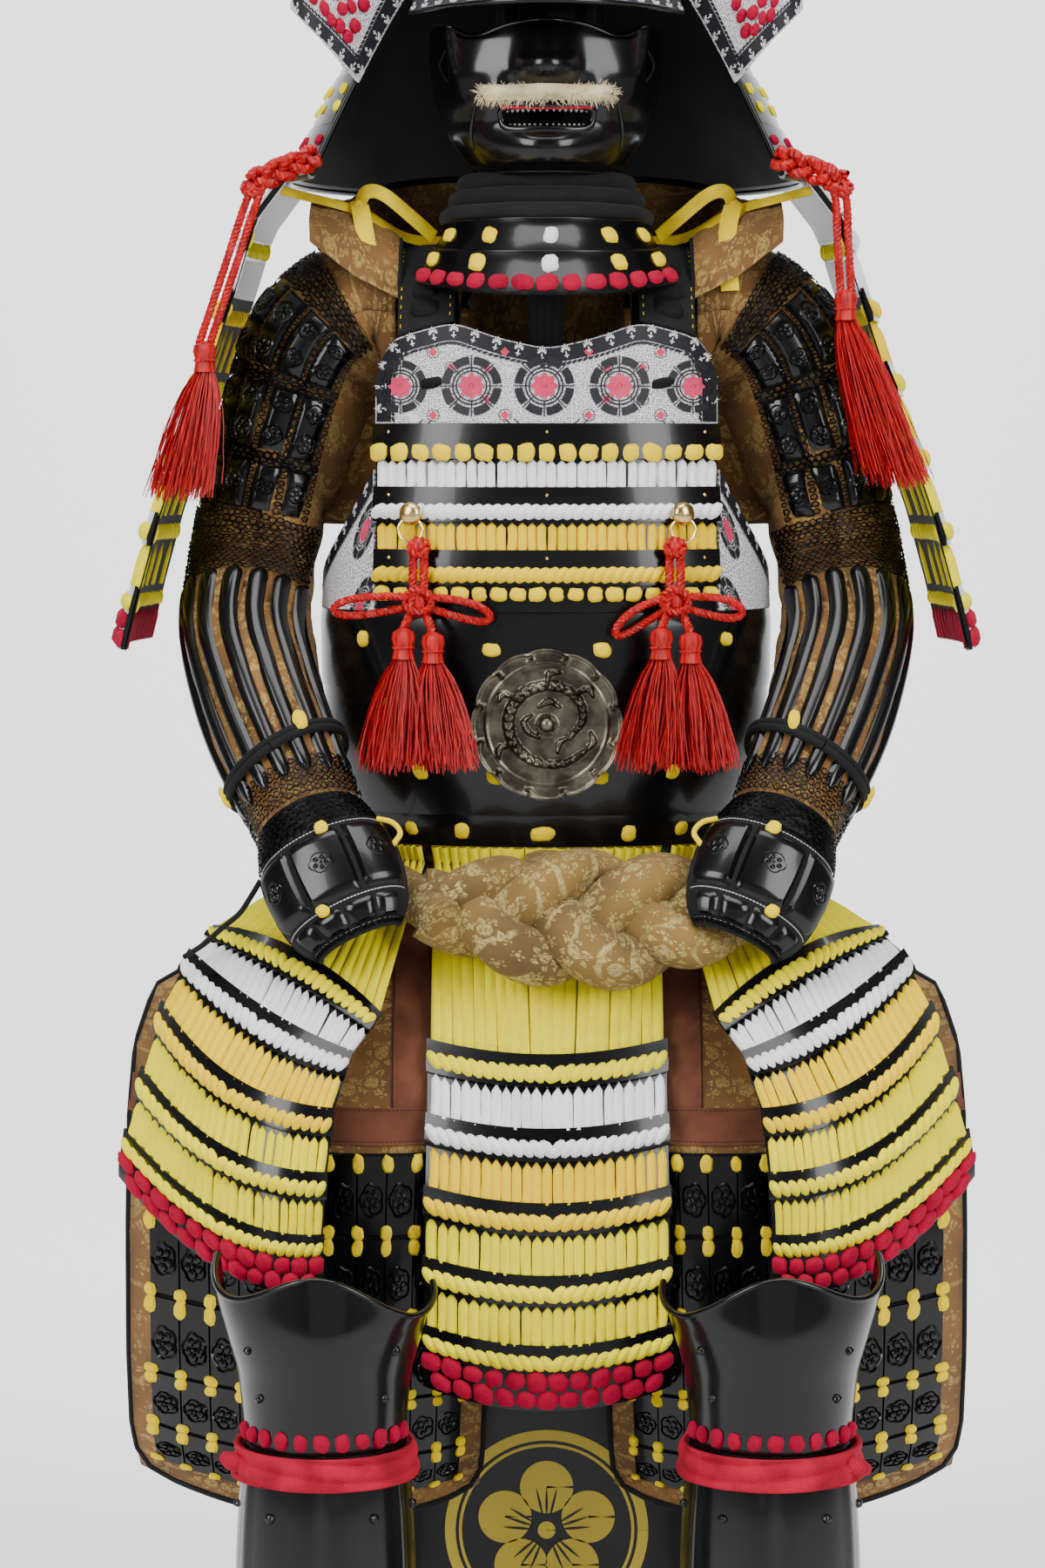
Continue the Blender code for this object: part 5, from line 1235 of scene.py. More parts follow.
def tassel(pile, head, lean, length, spread, count=330, flat=0.62):
    """A bound head and a skirt of fine loose strands."""
    head, lean = np.asarray(head, float), np.asarray(lean, float)
    lean = lean / np.linalg.norm(lean)
    profile = ((0.0030, 0.002), (0.0078, -0.001), (0.0088, -0.006), (0.0070, -0.0125), (0.0074, -0.0165),
        (0.0084, -0.022))
    turn = full_turn(25)
    wave = 1 + 0.05 * np.cos(12 * turn)
    rings = np.array([np.stack([r * wave * np.cos(turn), r * wave * np.sin(turn), 0 * turn + z], 1)
        for r, z in profile])
    pile.grids(head + rings, "silk", None, True)
    bind = np.stack([0.0076 * np.cos(turn), 0.0076 * np.sin(turn), 0 * turn - 0.0130], 1)
    twisted(pile, head + bind, 0.0012, 0.004, 2)
    s = np.linspace(0, 1, 7)[None, :]
    angle, depth = RNG.uniform(0, 2 * math.pi, (count, 1)), np.sqrt(RNG.uniform(0.0, 1.0, (count, 1)))
    reach = length * (1 + jitter((count, 1), 0.07)) * (1 - 0.05 * depth)
    bell = 0.0076 + (spread - 0.0076) * (1 - (1 - s) ** 2.2) ** 0.8
    curl = jitter((count, 1), 0.0045) * s ** 3
    wobble = jitter((count, 1), 0.0016) * np.sin(math.pi * s * RNG.uniform(1.5, 4.0, (count, 1))
        + jitter((count, 1), 3.0)) * s
    stray = 1 + (RNG.uniform(0, 1, (count, 1)) > 0.965) * 0.28 * s
    radius = bell * depth * stray
    x = radius * np.cos(angle + jitter((count, 1), 0.3) * s) + curl + wobble
    y = radius * np.sin(angle) * flat + jitter((count, 1), 0.003) * s ** 3
    down = np.array([0, 0, -0.021]) + lean * (s * reach)[..., None]
    centre = head + down + np.stack([x, y, 0 * x], -1)
    thick = 0.00042
    ring = full_turn(4)[:-1]
    offset = np.stack([np.cos(ring), np.sin(ring), 0 * ring], -1) * thick
    points = centre[:, :, None] + offset[None, None]
    pile.grids(points, "silk", None, False, wrap=True)


def loop_path(knot, reach, drop, opening):
    turn = np.linspace(0, math.pi, 18)
    out, up = np.sin(turn) ** 0.8, np.cos(turn)
    x = reach * out
    z = (0.0030 + opening * out) * up - drop * out ** 1.4
    y = -0.004 * np.sin(turn * 2) - 0.002 * out
    return np.asarray(knot) + np.stack([x, y, z], 1)


def chest_ornaments():
    for name, side in (("left", -1), ("right", 1)):
        x = side * STUD_X
        face = front(x, STUD_Z, PLATE + 0.0042 + GAP)
        normal = front(x, STUD_Z, 1.0) - front(x, STUD_Z)
        centre = face + normal * 0.008 + np.array([0.0, -0.001, -0.0075 - 0.0095 * 0.55])
        pile = Pile()
        profile = np.array(((0.0052, 0.0), (0.0060, 0.001), (0.0050, 0.002), (0.0085, 0.005),
            (0.0092, 0.009), (0.0070, 0.0125), (0.0030, 0.0142), (0.0002, 0.0145)))
        turn = full_turn(33)
        sideways = np.array([-normal[1], normal[0], 0.0])
        rings = [face + normal * out + (sideways * np.cos(turn)[:, None]
            + np.array([0, 0, 1.0]) * np.sin(turn)[:, None]) * r for r, out in smooth_path(profile, 4)]
        pile.grids(np.array(rings), "brass")
        ring = np.stack([0.0095 * np.cos(turn), 0 * turn, 0.0095 * np.sin(turn)], 1)
        tube(pile, centre + ring, 0.0011, "brass", 8, ends=False)
        pile.make(f"stud_{name}_ball", "brass", f"stud_{name}")

        pile = Pile()
        y = centre[1] - 0.001
        top = np.array([x, y - 0.001, centre[2] - 0.0095])
        knot = np.array([x, y - 0.012, 0.966])
        knot_ball(pile, top + np.array([0, -0.002, -0.004]), 0.0100, 0.0030, turns=3)
        for dx in (-0.0038, 0.0038):
            shift = np.array([dx, 0, 0])
            twisted(pile, smooth_path([top + shift, (top + knot) / 2 + shift * 1.15, knot + shift], 8),
                0.0036)
        knot_ball(pile, knot, 0.0135, 0.0032, turns=5)
        loops = ((-0.066, 0.006, 0.0085), (0.056, 0.012, 0.0085)) if side < 0 else ((-0.047, 0.024, 0.0100),
            (0.052, 0.008, 0.0095))
        for reach, drop, opening in loops:
            twisted(pile, loop_path(knot + np.array([0, -0.003, 0]), reach, drop, opening), 0.0033)
        for dx, low in ((-0.0115, 0.0), (0.0115, -0.003)):
            head = np.array([x + dx, -0.162, 0.944 + low])
            twisted(pile, smooth_path([knot, (knot + head) / 2 + np.array([dx * 0.1, 0.002, 0]),
                head + np.array([0, 0, 0.001])], 6), 0.0036)
            tassel(pile, head, (0.55 * math.copysign(1, dx), -0.3, -4.8), 0.087 + low, 0.0265, 220)
        pile.make(f"chest_tassel_{name}_cords", "red_silk", f"chest_tassel_{name}")


def shoulder_trims():
    drops = (
        ("left", -1, (-0.266, -0.140, 1.166), (-0.9, 0, -4.0), 0.100),
        ("right", 1, (0.232, -0.140, 1.206), (1.3, 0, -4.0), 0.133),
    )
    cord_r = 0.0035
    for name, side, head, lean, length in drops:
        corner = guard_place(np.array(0.97), np.array(0.0))
        start = np.array([side * abs(corner[0]), corner[1], corner[2] + cord_r * 0.866 + GAP])
        head = np.asarray(head)
        turned = start + np.array([side * 0.030, -0.030, -0.026])
        route = smooth_path([
            start + np.array([-side * 0.012, 0.006, 0.0]), start + np.array([side * 0.006, -0.003, 0.0]),
            start + np.array([side * 0.020, -0.020, -0.008]), turned, (turned + head) / 2, head,
        ], 8)
        pile = Pile()
        for dx in (-0.0042, 0.0042):
            twisted(pile, route + np.array([dx, 0, 0.0]), 0.0034)
        twisted(pile, route[: len(route) // 2] + np.array([0.0, -0.003, 0.004]), 0.0034)
        inner_end = start + np.array([-side * 0.018, -0.006, 0.006])
        outer_end = start + np.array([side * 0.032, -0.024, -0.016])
        along = (outer_end - inner_end) / np.linalg.norm(outer_end - inner_end)
        across = np.cross(along, (0, 1, 0))
        f = np.linspace(0, 1, 31)
        for k in range(3):
            turn = 2 * math.pi * (1.25 * f + k / 3)
            inward = np.array([0, 1.0, 0]) * (0.0042 * np.sin(2 * turn))[:, None]
            weave = across * (0.0072 * np.sin(turn))[:, None] + inward
            twisted(pile, inner_end + (outer_end - inner_end) * f[:, None] + weave
                + np.array([0, -0.004, 0]), 0.0042)
        knot_ball(pile, outer_end + np.array([0, -0.002, -0.004]), 0.0095, 0.0032, turns=3)
        tassel(pile, head, lean, length, 0.026, 330, 0.7)
        pile.make(f"shoulder_tassel_{name}_cords", "red_silk", f"shoulder_tassel_{name}")

        strap_top = SHOULDER_Z + PLATE + GAP + 0.0012
        inner = guard_place(np.array(0.70), np.array(0.282))
        knot = np.array([-0.150, -0.040, 1.274])
        pile = Pile()
        bridge = smooth_path([(-0.080, -0.012, strap_top + 0.0008), (-0.112, -0.020, strap_top + 0.004),
            knot, (inner[0] + 0.003, inner[1], 1.290)], 10)
        tail_drop = -0.042 if side < 0 else -0.064
        tail = smooth_path(knot + np.array(((0.001, -0.003, 0.004), (0.002, -0.011, 0.001),
            (0.006, -0.018, -0.020), (0.010 if side < 0 else 0.004, -0.022, tail_drop))), 10)
        reach = 0.026 if side < 0 else 0.036
        bow = smooth_path(knot + np.array(((0, -0.004, 0.002), (-0.010, -0.010, -0.010),
            (-0.012 if side < 0 else 0.016, -0.014, -reach), (0.004, -0.010, -0.014), (0.0, -0.004, 0.0))),
            10)
        over = smooth_path(knot + np.array(((0, -0.002, 0.0), (0.006, -0.006, 0.014),
            (0.020, -0.004, 0.013), (0.044, 0.004, -0.006), (0.060, 0.010, -0.020))), 10)
        for line, wide in ((bridge, 0.0074), (tail, 0.0074), (bow, 0.0070), (over, 0.0066)):
            line = line.copy()
            line[:, 0] *= -side
            tube(pile, line, wide, "ribbon", 14, 0.16, (0.0, -0.6, 0.8))
        ball = knot * np.array([-side, 1, 1])
        tube(pile, ball + np.array([(-0.006, 0, 0.004), (-0.002, -0.003, 0.002), (0.003, -0.003, -0.001),
            (0.006, 0, -0.004)]), np.array([0.004, 0.0078, 0.0078, 0.004]), "ribbon", 14, 0.8)
        pile.make(f"shoulder_tie_{name}_ribbon", "yellow_ribbon", f"shoulder_tie_{name}")


# Arms
ARM_FINE = smooth_path(ARM, 12)
ARM_AT = np.linspace(0, ARM_ROWS, len(ARM_FINE))
ARM_ALONG = np.gradient(ARM_FINE[:, :3], axis=0)
ARM_ALONG /= np.linalg.norm(ARM_ALONG, axis=1, keepdims=True)
ARM_FRONT = np.array([0.0, -1.0, 0.0]) - ARM_ALONG * -ARM_ALONG[:, 1:2]
ARM_FRONT /= np.linalg.norm(ARM_FRONT, axis=1, keepdims=True)
ARM_OUT = np.cross(ARM_ALONG, ARM_FRONT)


def arm_read(table, v):
    return np.stack([np.interp(v, ARM_AT, table[:, k]) for k in range(3)], -1)


def arm_place(u, v, folds=1.0):
    """The sleeve: u is the angle from the front outwards, v runs down the rings."""
    centre, ahead, outward = (arm_read(table, v) for table in (ARM_FINE, ARM_FRONT, ARM_OUT))
    radius = np.interp(v, ARM_AT, ARM_FINE[:, 3])
    ends = np.clip(v, 0, 1) * np.clip(ARM_ROWS - v, 0, 1)
    fold = 0.0022 * np.sin(3 * u + 2.1 * v) * ends
    inner = 0.25 + 0.75 * np.clip(0.5 - 0.8 * np.sin(u), 0, 1)
    crease = np.abs(np.sin(1.3 * u + 2.9 * v + 1.1 * np.sin(2.2 * v + u))) ** 0.6 - 1.0
    ripple = np.abs(np.sin(2.5 * u - 4.1 * v + 2 * np.sin(u))) - 0.5
    fine = 0.0068 * crease * np.sin(1.7 * v + 0.8) ** 2 + 0.0022 * ripple
    radius = radius + fold * (0.4 + 0.6 * folds) + fine * folds * ends * inner
    return centre + (ahead * np.cos(u)[..., None] + outward * np.sin(u)[..., None]) * radius[..., None]


def bare_arm(u, v):
    """The same sleeve without its creases, to carry the mail."""
    return arm_place(u, v, 0.0)


def underarm(u, v):
    """The loose cloth of the sleeve that fills the armhole beside the chest."""
    centre = arm_read(ARM_FINE, v)
    inner = np.stack([np.full(u.shape, -0.112), np.full(u.shape, 0.004), centre[..., 2] - 0.004], -1)
    place = inner + (centre - inner) * u[..., None]
    place[..., 1] += (0.007 * np.sin(5.0 * v + 4.0 * u)
        + 0.003 * np.sin(11.0 * v - 9.0 * u)) * np.sin(math.pi * u)
    return place


def rings_on(pile, surface, us, vs, base, radius, wire):
    """Small linked rings that lie on a surface, tipped to and fro."""
    us, vs = np.ravel(us), np.ravel(vs)
    many = len(us)
    big = full_turn(6)[:-1]
    small = full_turn(4)[:-1]
    tip = np.where(np.arange(many) % 2 == 0, 0.55, -0.55)[:, None, None] + jitter((many, 1, 1), 0.3)
    r = radius + wire * np.cos(small)[None, None, :]
    x = r * np.cos(big)[None, :, None] + 0 * tip
    y = r * np.sin(big)[None, :, None] + 0 * tip
    h = wire * np.sin(small)[None, None, :] + 0 * x
    y, h = y * np.cos(tip) - h * np.sin(tip), y * np.sin(tip) + h * np.cos(tip)
    points = surface.at(us[:, None, None] + x / surface.wide, vs[:, None, None] + y / surface.tall,
        base + np.abs(h) + 0.0006)
    wrapped = np.concatenate([points, points[:, :1]], axis=1)
    pile.grids(wrapped, "iron", None, surface.turned, wrap=True)


def rosette(pile, surface, u, v, base, look, size=0.0085, petals=5, thick=0.0016):
    """A raised flower of round petals in a thin border."""
    turn = full_turn(21)
    edge = size * (1 - 0.16 + 0.16 * np.abs(np.cos(turn * petals / 2)))
    across = np.array([-1.0, 0.0, 1.0])[:, None] * 0.10 * size
    out = base + thick * np.array([0.0, 0.8, 0.0])[:, None] + 0 * turn
    x, y = (edge + across) * np.cos(turn), (edge + across) * np.sin(turn)
    pile.grids(surface.at(u + x / surface.wide, v + y / surface.tall, out), look, None, surface.turned)
    spin = 2 * math.pi * (np.arange(petals) + 0.25) / petals
    reach, half = size * 0.48, size * (0.30 if petals > 4 else 0.34)
    knots(pile, surface, u + reach * np.cos(spin) / surface.wide, v + reach * np.sin(spin) / surface.tall,
        base, look, half, half, thick, 2.0, 3, 8)
    knots(pile, surface, [u], [v], base, look, size * 0.16, size * 0.16, thick * 1.4, 2.0, 3, 8)


def plate_grid(pile, surface, u0, u1, v0, v1, base, thick, look, rows=5, across=5):
    """A small plate with rounded edges between two heights of a surface."""
    s, t = np.linspace(-1, 1, rows)[:, None], np.linspace(-1, 1, across)[None, :]
    out = base + thick * np.minimum(1, (1 - np.maximum(np.abs(s), np.abs(t)) ** 6) * 3) ** 0.5
    pile.grids(surface.at((u0 + u1) / 2 + (u1 - u0) / 2 * t + 0 * s,
        (v0 + v1) / 2 + (v1 - v0) / 2 * s + 0 * t, out), look, paired(t, s), surface.turned)


def arms():
    turns = full_turn(57)
    fine = np.linspace(0, ARM_ROWS, 85)
    axis = arm_read(ARM_FINE, fine)[:, None]
    for name, side in SIDES:
        mirror = np.array([float(side), 1.0, 1.0])
        surface = Surface(mirrored(arm_place, side), turns, fine, axis * mirror)
        pile = Pile()
        pile.wall(surface, turns, fine, 0.0, CLOTH, "brocade")
        panel = Surface(mirrored(underarm, side), np.linspace(0, 1, 17), np.linspace(1.0, 4.3, 29),
            (0.0, 0.5))
        pile.wall(panel, panel.us, panel.vs, 0.0, CLOTH, "brocade")
        sleeve = pile.make(f"sleeve_{name}_cloth", "gold_brocade", f"sleeve_{name}", merge=True)

        around = np.linspace(-1.6, 3.4, 81)
        surface = Surface(mirrored(bare_arm, side), around, fine, axis * mirror)
        pile = Pile()
        base = CLOTH + 0.0012
        for v0, v1, half in ((1.72, 2.52, 0.0092), (2.72, 3.48, 0.0092), (3.64, 4.25, 0.0086)):
            for k in range(7):
                down = (v0 + v1) / 2 / ARM_ROWS
                u = math.radians(-6 - 40 * down + 27 * k)
                wide = half / surface.wide
                plate_grid(pile, surface, u - wide * 1.14, u + wide * 1.14, v0 - 0.03, v1 + 0.03,
                    base - 0.0004, 0.0012, "mail_cloth", 5, 5)
                plate_grid(pile, surface, u - wide, u + wide, v0, v1, base, 0.0026, "lacquer", 9, 7)
                steps = 2 if v1 - v0 > 0.7 else 1
                for m in range(steps):
                    v = v0 + (v1 - v0) * (m + 0.5) / steps
                    rosette(pile, surface, u, v, base + 0.0026, "lacquer", 0.0072, 5 if (k + m) % 2 else 4,
                        0.0014)
        for v0, v1 in ((1.20, 1.66), (2.54, 2.72), (3.50, 3.64)):
            rows = max(2, int((v1 - v0) * surface.tall / 0.0046))
            for m in range(rows):
                v = v0 + (v1 - v0) * (m + 0.5) / rows
                us = np.radians(np.arange(-22 - 30 * v / ARM_ROWS, 174, 5.8)) + 0.05 * (m % 2)
                rings_on(pile, surface, us, v + jitter(us.shape, 0.015), base, radius=0.0028, wire=0.0010)
        for k in range(8):
            vs = np.arange(1.66, 4.25, 0.095)
            us = np.radians(-6 - 40 * vs / ARM_ROWS + 27 * k - 13.5)
            rings_on(pile, surface, us, vs, base, radius=0.0027, wire=0.0007)
        rows = 13
        for m in range(rows):
            v = 4.30 + 1.20 * (m + 0.5) / rows
            us = np.radians(np.arange(-60, 168, 6.2)) + 0.06 * (m % 2)
            rings_on(pile, surface, us, v + jitter(us.shape, 0.02), base, radius=0.0029, wire=0.00080)
        for k in range(10):
            top_u, low_u = math.radians(-58 + 23.5 * k), math.radians(-74 + 24 * k)
            s = np.linspace(0, 1, 30)[:, None]
            t = np.linspace(-1, 1, 7)[None, :]
            cap = np.minimum(1.0, np.minimum(s, 1 - s) * 22) ** 0.5 * 0.96 + 0.04
            half = (0.0076 - 0.0018 * s) * cap
            local = np.interp(5.42 + 3.4 * s, ARM_AT, ARM_FINE[:, 3])
            u = top_u + (low_u - top_u) * s + t * half / local
            out = base + 0.0036 * (1 - np.abs(t) ** 2.3) ** 0.55 * (0.35 + 0.65 * cap)
            v = 5.42 + 3.3 * s + 0 * t
            pile.grids(surface.at(u, v, out), "lacquer", paired(t * half, s * 0.2), surface.turned)
        for m in range(5):
            v = 8.56 + 0.38 * m / 4
            us = np.radians(np.arange(-86, 150, 7.4)) + 0.06 * (m % 2)
            rings_on(pile, surface, us, v + 0 * us, base, radius=0.0028, wire=0.00075)
        pile.make(f"arm_mail_{name}_rings", "black_mail", f"arm_mail_{name}", crease=50)

        pile = Pile()
        loop = full_turn(49)
        closed = Surface(mirrored(bare_arm, side), full_turn(65), fine, axis * mirror)
        for shift in (0.0, 0.075):
            line = closed.at(loop, 8.16 + shift + 0.14 * np.sin(loop + 0.6), base + 0.0046)
            tube(pile, line, 0.0034, "black_cloth", 10, 0.7, (0, 1, 0), ends=False)
        for angle, v in ((-0.55, 8.10), (1.35, 8.3)):
            knots(pile, surface, [angle], [v], base + 0.0062, "knot", 0.0052, 0.0088, 0.0042, 2.2)
        pile.make(f"arm_tie_{name}", "black_cloth")
        hand_guard(name, side, mirror)


def hand_guard(name, side, mirror):
    centre, along, ahead, outward = ARM_FINE[-1, :3], ARM_ALONG[-1], ARM_FRONT[-1], ARM_OUT[-1]
    table = smooth_path(HAND, 6)

    def place(u, v):
        reach, half, height = (np.interp(v, np.linspace(0, 4, len(table)), table[:, k]) for k in range(3))
        middle = centre + along * (reach + GAP)[..., None]
        return middle + ahead * (np.cos(u) * height)[..., None] + outward * (np.sin(u) * half)[..., None]

    us = np.linspace(-math.pi / 2, math.pi / 2, 41)
    vs = np.linspace(0, 4, 31)
    axis = (centre + along * np.linspace(0, 0.114, 31)[:, None])[:, None]
    surface = Surface(mirrored(place, side), us, vs, axis * mirror)
    pile = Pile()
    pile.wall(surface, us, vs, 0.0, 0.0020, "black_cloth")
    base = 0.0018
    for u0, u1, petals in ((-1.30, -0.48, 4), (-0.42, 0.42, 5), (0.48, 1.30, 4)):
        plate_grid(pile, surface, u0, u1, 1.12, 2.72, base, 0.0040, "lacquer", 13, 13)
        rosette(pile, surface, (u0 + u1) / 2, 1.85, base + 0.0037, "lacquer", 0.0070, petals, 0.0012)
    for u0, u1 in ((-1.18, -0.62), (-0.58, -0.02), (0.02, 0.58), (0.62, 1.18)):
        plate_grid(pile, surface, u0, u1, 2.90, 3.66, base, 0.0030, "lacquer", 7, 7)
    for v in (1.04, 2.80, 3.76):
        line = np.stack([np.linspace(-1.36, 1.36, 46), np.full(46, v)], 1)
        stitches(pile, surface, line, 0.0021, "white", 0.0016, 0.0004)
    for low, high, rows in ((0.06, 1.00, 6), (3.70, 3.95, 2)):
        for m in range(rows):
            across = np.linspace(-1.46, 1.46, 23) + 0.05 * (m % 2)
            rings_on(pile, surface, np.clip(across, -1.5, 1.5),
                low + (high - low) * (m + 0.5) / rows + 0 * across, base, radius=0.0026, wire=0.00065)
    knots(pile, surface, (-0.2, 0.30), (1.06, 2.82), 0.0036, "knot", 0.0042, 0.0052, 0.0036, 2.4)
    thumb = surface.at(np.array([-1.30, -1.42, -1.45, -1.30]), np.array([1.0, 1.25, 1.55, 1.8]),
        np.array([0.003, 0.010, 0.011, 0.003]))
    tube(pile, smooth_path(thumb, 8), 0.0022, "knot", 8)
    edge = surface.at(np.r_[np.full(12, us[0]), np.linspace(us[0], us[-1], 24), np.full(12, us[-1])],
        np.r_[np.linspace(0, 4, 12), np.full(24, 4.0), np.linspace(4, 0, 12)], 0.0012)
    tube(pile, edge, 0.0020, "black_cloth", 8)
    pile.make(f"hand_guard_{name}_plate", "black_lacquer", f"hand_guard_{name}", crease=50)


# Helmet, mask and throat guard
def oval(angle, half_width, half_depth, height):
    angle, half_width, half_depth, height = np.broadcast_arrays(angle, half_width, half_depth, height)
    return np.stack([half_width * np.sin(angle), -half_depth * np.cos(angle), height + 0.0 * angle], -1)


def neck_section(v):
    """The neck guard's edge angle, half width, half depth and height, at a share of its way down."""
    start = PLATE + 0.0034 + GAP
    wide = HELMET_A + start + (NECK_WIDE - HELMET_A - start) * v ** 0.8
    deep = HELMET_B + start + (NECK_DEEP - HELMET_B - start) * v ** 0.8
    edge = np.radians(60 + 3 * v)
    return edge, wide, deep, HELMET_RIM + 0.004 + (NECK_LOW - HELMET_RIM - 0.004) * v


def neck_place(u, v):
    edge, wide, deep, height = neck_section(v)
    return oval(edge + (2 * math.pi - 2 * edge) * u, wide, deep, height)


def helmet():
    ribs = 32

    def bowl(u, v):
        reach = np.maximum(np.sin(v), 1e-4) ** 0.92
        return oval(u, HELMET_A * reach, HELMET_B * reach, HELMET_RIM + HELMET_H * np.cos(v))

    us, vs = np.linspace(0, 2 * math.pi, ribs * 4 + 1), np.linspace(0.06, math.pi / 2, 24)
    surface = Surface(bowl, us, vs)
    u, v = np.meshgrid(us, vs)
    rib = 0.0020 * hill(np.mod(u * ribs / (2 * math.pi) + 0.5, 1.0) - 0.5, 0.11) * np.sin(v) ** 0.5
    pile = Pile()
    pile.wall(surface, us, vs, 0.0, PLATE + rib, "lacquer")
    turn = full_turn(49)
    for radius, height, thick in ((0.0085, 0.0036, 0.0022), (0.0125, 0.0026, 0.0020),
            (0.0165, 0.0012, 0.0016)):
        ring = np.stack([radius * np.cos(turn), radius * 1.1 * np.sin(turn),
            0 * turn + HELMET_RIM + HELMET_H + height - 0.0015], 1)
        tube(pile, ring, thick, "brass", 8, ends=False, hint=(0, 0, 1))
    rim = oval(turn, HELMET_A + 0.004, HELMET_B + 0.004, HELMET_RIM + 0.0035)
    tube(pile, rim, 0.0024, "brass", 8, ends=False, hint=(0, 0, 1))
    angles = (np.arange(ribs) + 0.5) * 2 * math.pi / ribs
    rivets(pile, surface, angles, 1.36, 0.0030, "lacquer", 0.0018, 0.0016)
    pile.make("helmet_plates", "black_lacquer", "helmet_bowl", crease=50)

    out = PLATE + 0.0022 + GAP
    rows = np.array(((out, out, 0.004), (out + 0.007, out + 0.030, -0.014),
        (out + 0.014, out + 0.058, -0.032)))

    def peak(u, v):
        wide, deep, drop = (np.interp(v, (0, 1, 2), rows[:, k]) for k in range(3))
        return oval(u, HELMET_A + wide, HELMET_B + deep, HELMET_RIM + drop)

    half = math.radians(58)
    us = np.linspace(-half, half, 61)
    surface = Surface(peak, us, np.linspace(0, 2, 21))
    pile = Pile()
    pile.wall(surface, us, np.linspace(0, 2, 13), 0.0, PLATE, "navy", "red_lacquer")

    def spot(x, y):
        return surface.at(np.clip(x / surface.wide, -half, half), np.clip(y / surface.tall, 0, 2),
            PLATE + 0.0004)

    for k in range(-9, 10):
        strips(pile, spot, moved(spray(1.15), k * 0.0158, 2 * surface.tall - 0.008, math.pi), "print_white",
            surface.turned)
    for k in range(-8, 9):
        strips(pile, spot, moved(spray(0.9), k * 0.0165, 0.016, 0.0), "print_white", surface.turned)
    lip = peak(np.linspace(-half, half, 61), np.full(61, 2.0)) + np.array([0, -0.0015, 0.0012])
    tube(pile, lip, 0.0022, "lacquer", 10, hint=(0, 0, 1))
    pile.make("visor_leather", "printed_leather", "visor", crease=50)
    neck_guard()


def neck_guard():
    us, vs = np.linspace(0, 1, 61), np.linspace(0, 1, 49)
    surface = Surface(neck_place, us, vs)
    pile = Pile()
    schemes = ("white", "deep", "pale", "pink")
    for k, look in enumerate(schemes):
        top, bottom = k / 4 + 0.004, (k + 1) / 4 - 0.004
        steps = np.linspace(0, 1, 7)
        swell = swelling(7, (0, 0.5, 0.9, 1), (0.0044, 0.0040, 0.0036, 0.0030))
        pile.wall(surface, us, top + (bottom - top) * steps, 0.0, swell, "lacquer", "red_lacquer")
        places = np.linspace(0.015, 0.985, 20)
        for m in (0, 1):
            knots(pile, surface, places + 0.006 * m, top + (bottom - top) * (0.30 + 0.36 * m), 0.0040, look,
                0.0042, 0.0048, 0.0034, 3.0, 3, 11)
    # A dark sheet inside the neck guard, over the red lacquer of the lames' backs and behind the gaps between
    # them: painted shade in the hollow.
    pile.wall(surface, np.linspace(0.004, 0.996, 41), np.linspace(0.02, 0.97, 9), -0.0014, -0.0003, "inside")
    edge = surface.at(us, 0.999, 0.0018)
    tube(pile, edge, 0.0030, "lacquer", 8, hint=(0, 0, 1))
    for u in (0.0015, 0.9985):
        side = surface.at(u, np.linspace(0.02, 0.998, 30), 0.0018)
        tube(pile, side, 0.0026, "lacquer", 10)
    pile.make("neck_guard_laced", "black_lacquer", "neck_guard", crease=50)

    spans = np.array((0.10, 0.21, 0.32, 0.43, 0.54))
    for name, side in (("turnback_left", 1), ("turnback_right", -1)):
        def place(u, v):
            share = np.interp(v, np.linspace(0, 1, 5), spans)
            edge, wide, deep, height = neck_section(share)
            start = oval(0.004 - edge, wide + PLATE * 0.3, deep + PLATE * 0.3, height)
            tip = np.stack([-0.188 - 0.011 * v, -0.104 + 0.012 * v, 1.512 - 0.084 * v], -1)
            point = start + (tip - start) * (1 - u)[..., None]
            point[..., 1] -= 0.016 * np.sin(math.pi * (1 - u))
            return point

        us, vs = np.linspace(0, 1, 33), np.linspace(0, 1, 33)
        surface = Surface(mirrored(place, side), us, vs, (0.0, 0.3))
        surface.face(1, -1)
        pile = Pile()
        pile.wall(surface, np.linspace(0, 1, 21), np.linspace(0, 1, 21), 0.0, PLATE, "dotted", "lacquer")
        w, h = surface.wide, surface.tall

        def spot(x, y, out=0.0004):
            return surface.at(np.clip(x / w, 0, 1), np.clip(y / h, 0, 1), PLATE + out)

        corners = [(0.06, 0.02), (0.02, 0.10), (0.02, 0.90), (0.08, 0.98), (0.92, 0.98), (0.985, 0.90),
            (0.985, 0.10), (0.94, 0.02), (0.06, 0.02)]
        line = np.array([(x * w, y * h) for x, y in corners])
        border_line(pile, spot, line, 0.0105, -1, 0.86, 0.0150, surface.turned)
        across = RNG.uniform(0.26, 0.74, 60)
        down = RNG.uniform(0.22, 0.80, 60)
        kept = []
        for x, y in zip(across * w, down * h):
            if all(math.hypot(x - a, y - b) > 0.0093 for a, b in kept):
                kept.append((x, y))
        kept = np.array(kept)
        knots(pile, surface, kept[:, 0] / w, kept[:, 1] / h, PLATE + 0.0002, "pink", 0.0052, 0.0052, 0.0050,
            2.4)
        pile.make(f"{name}_leather", "printed_leather", name, crease=50)


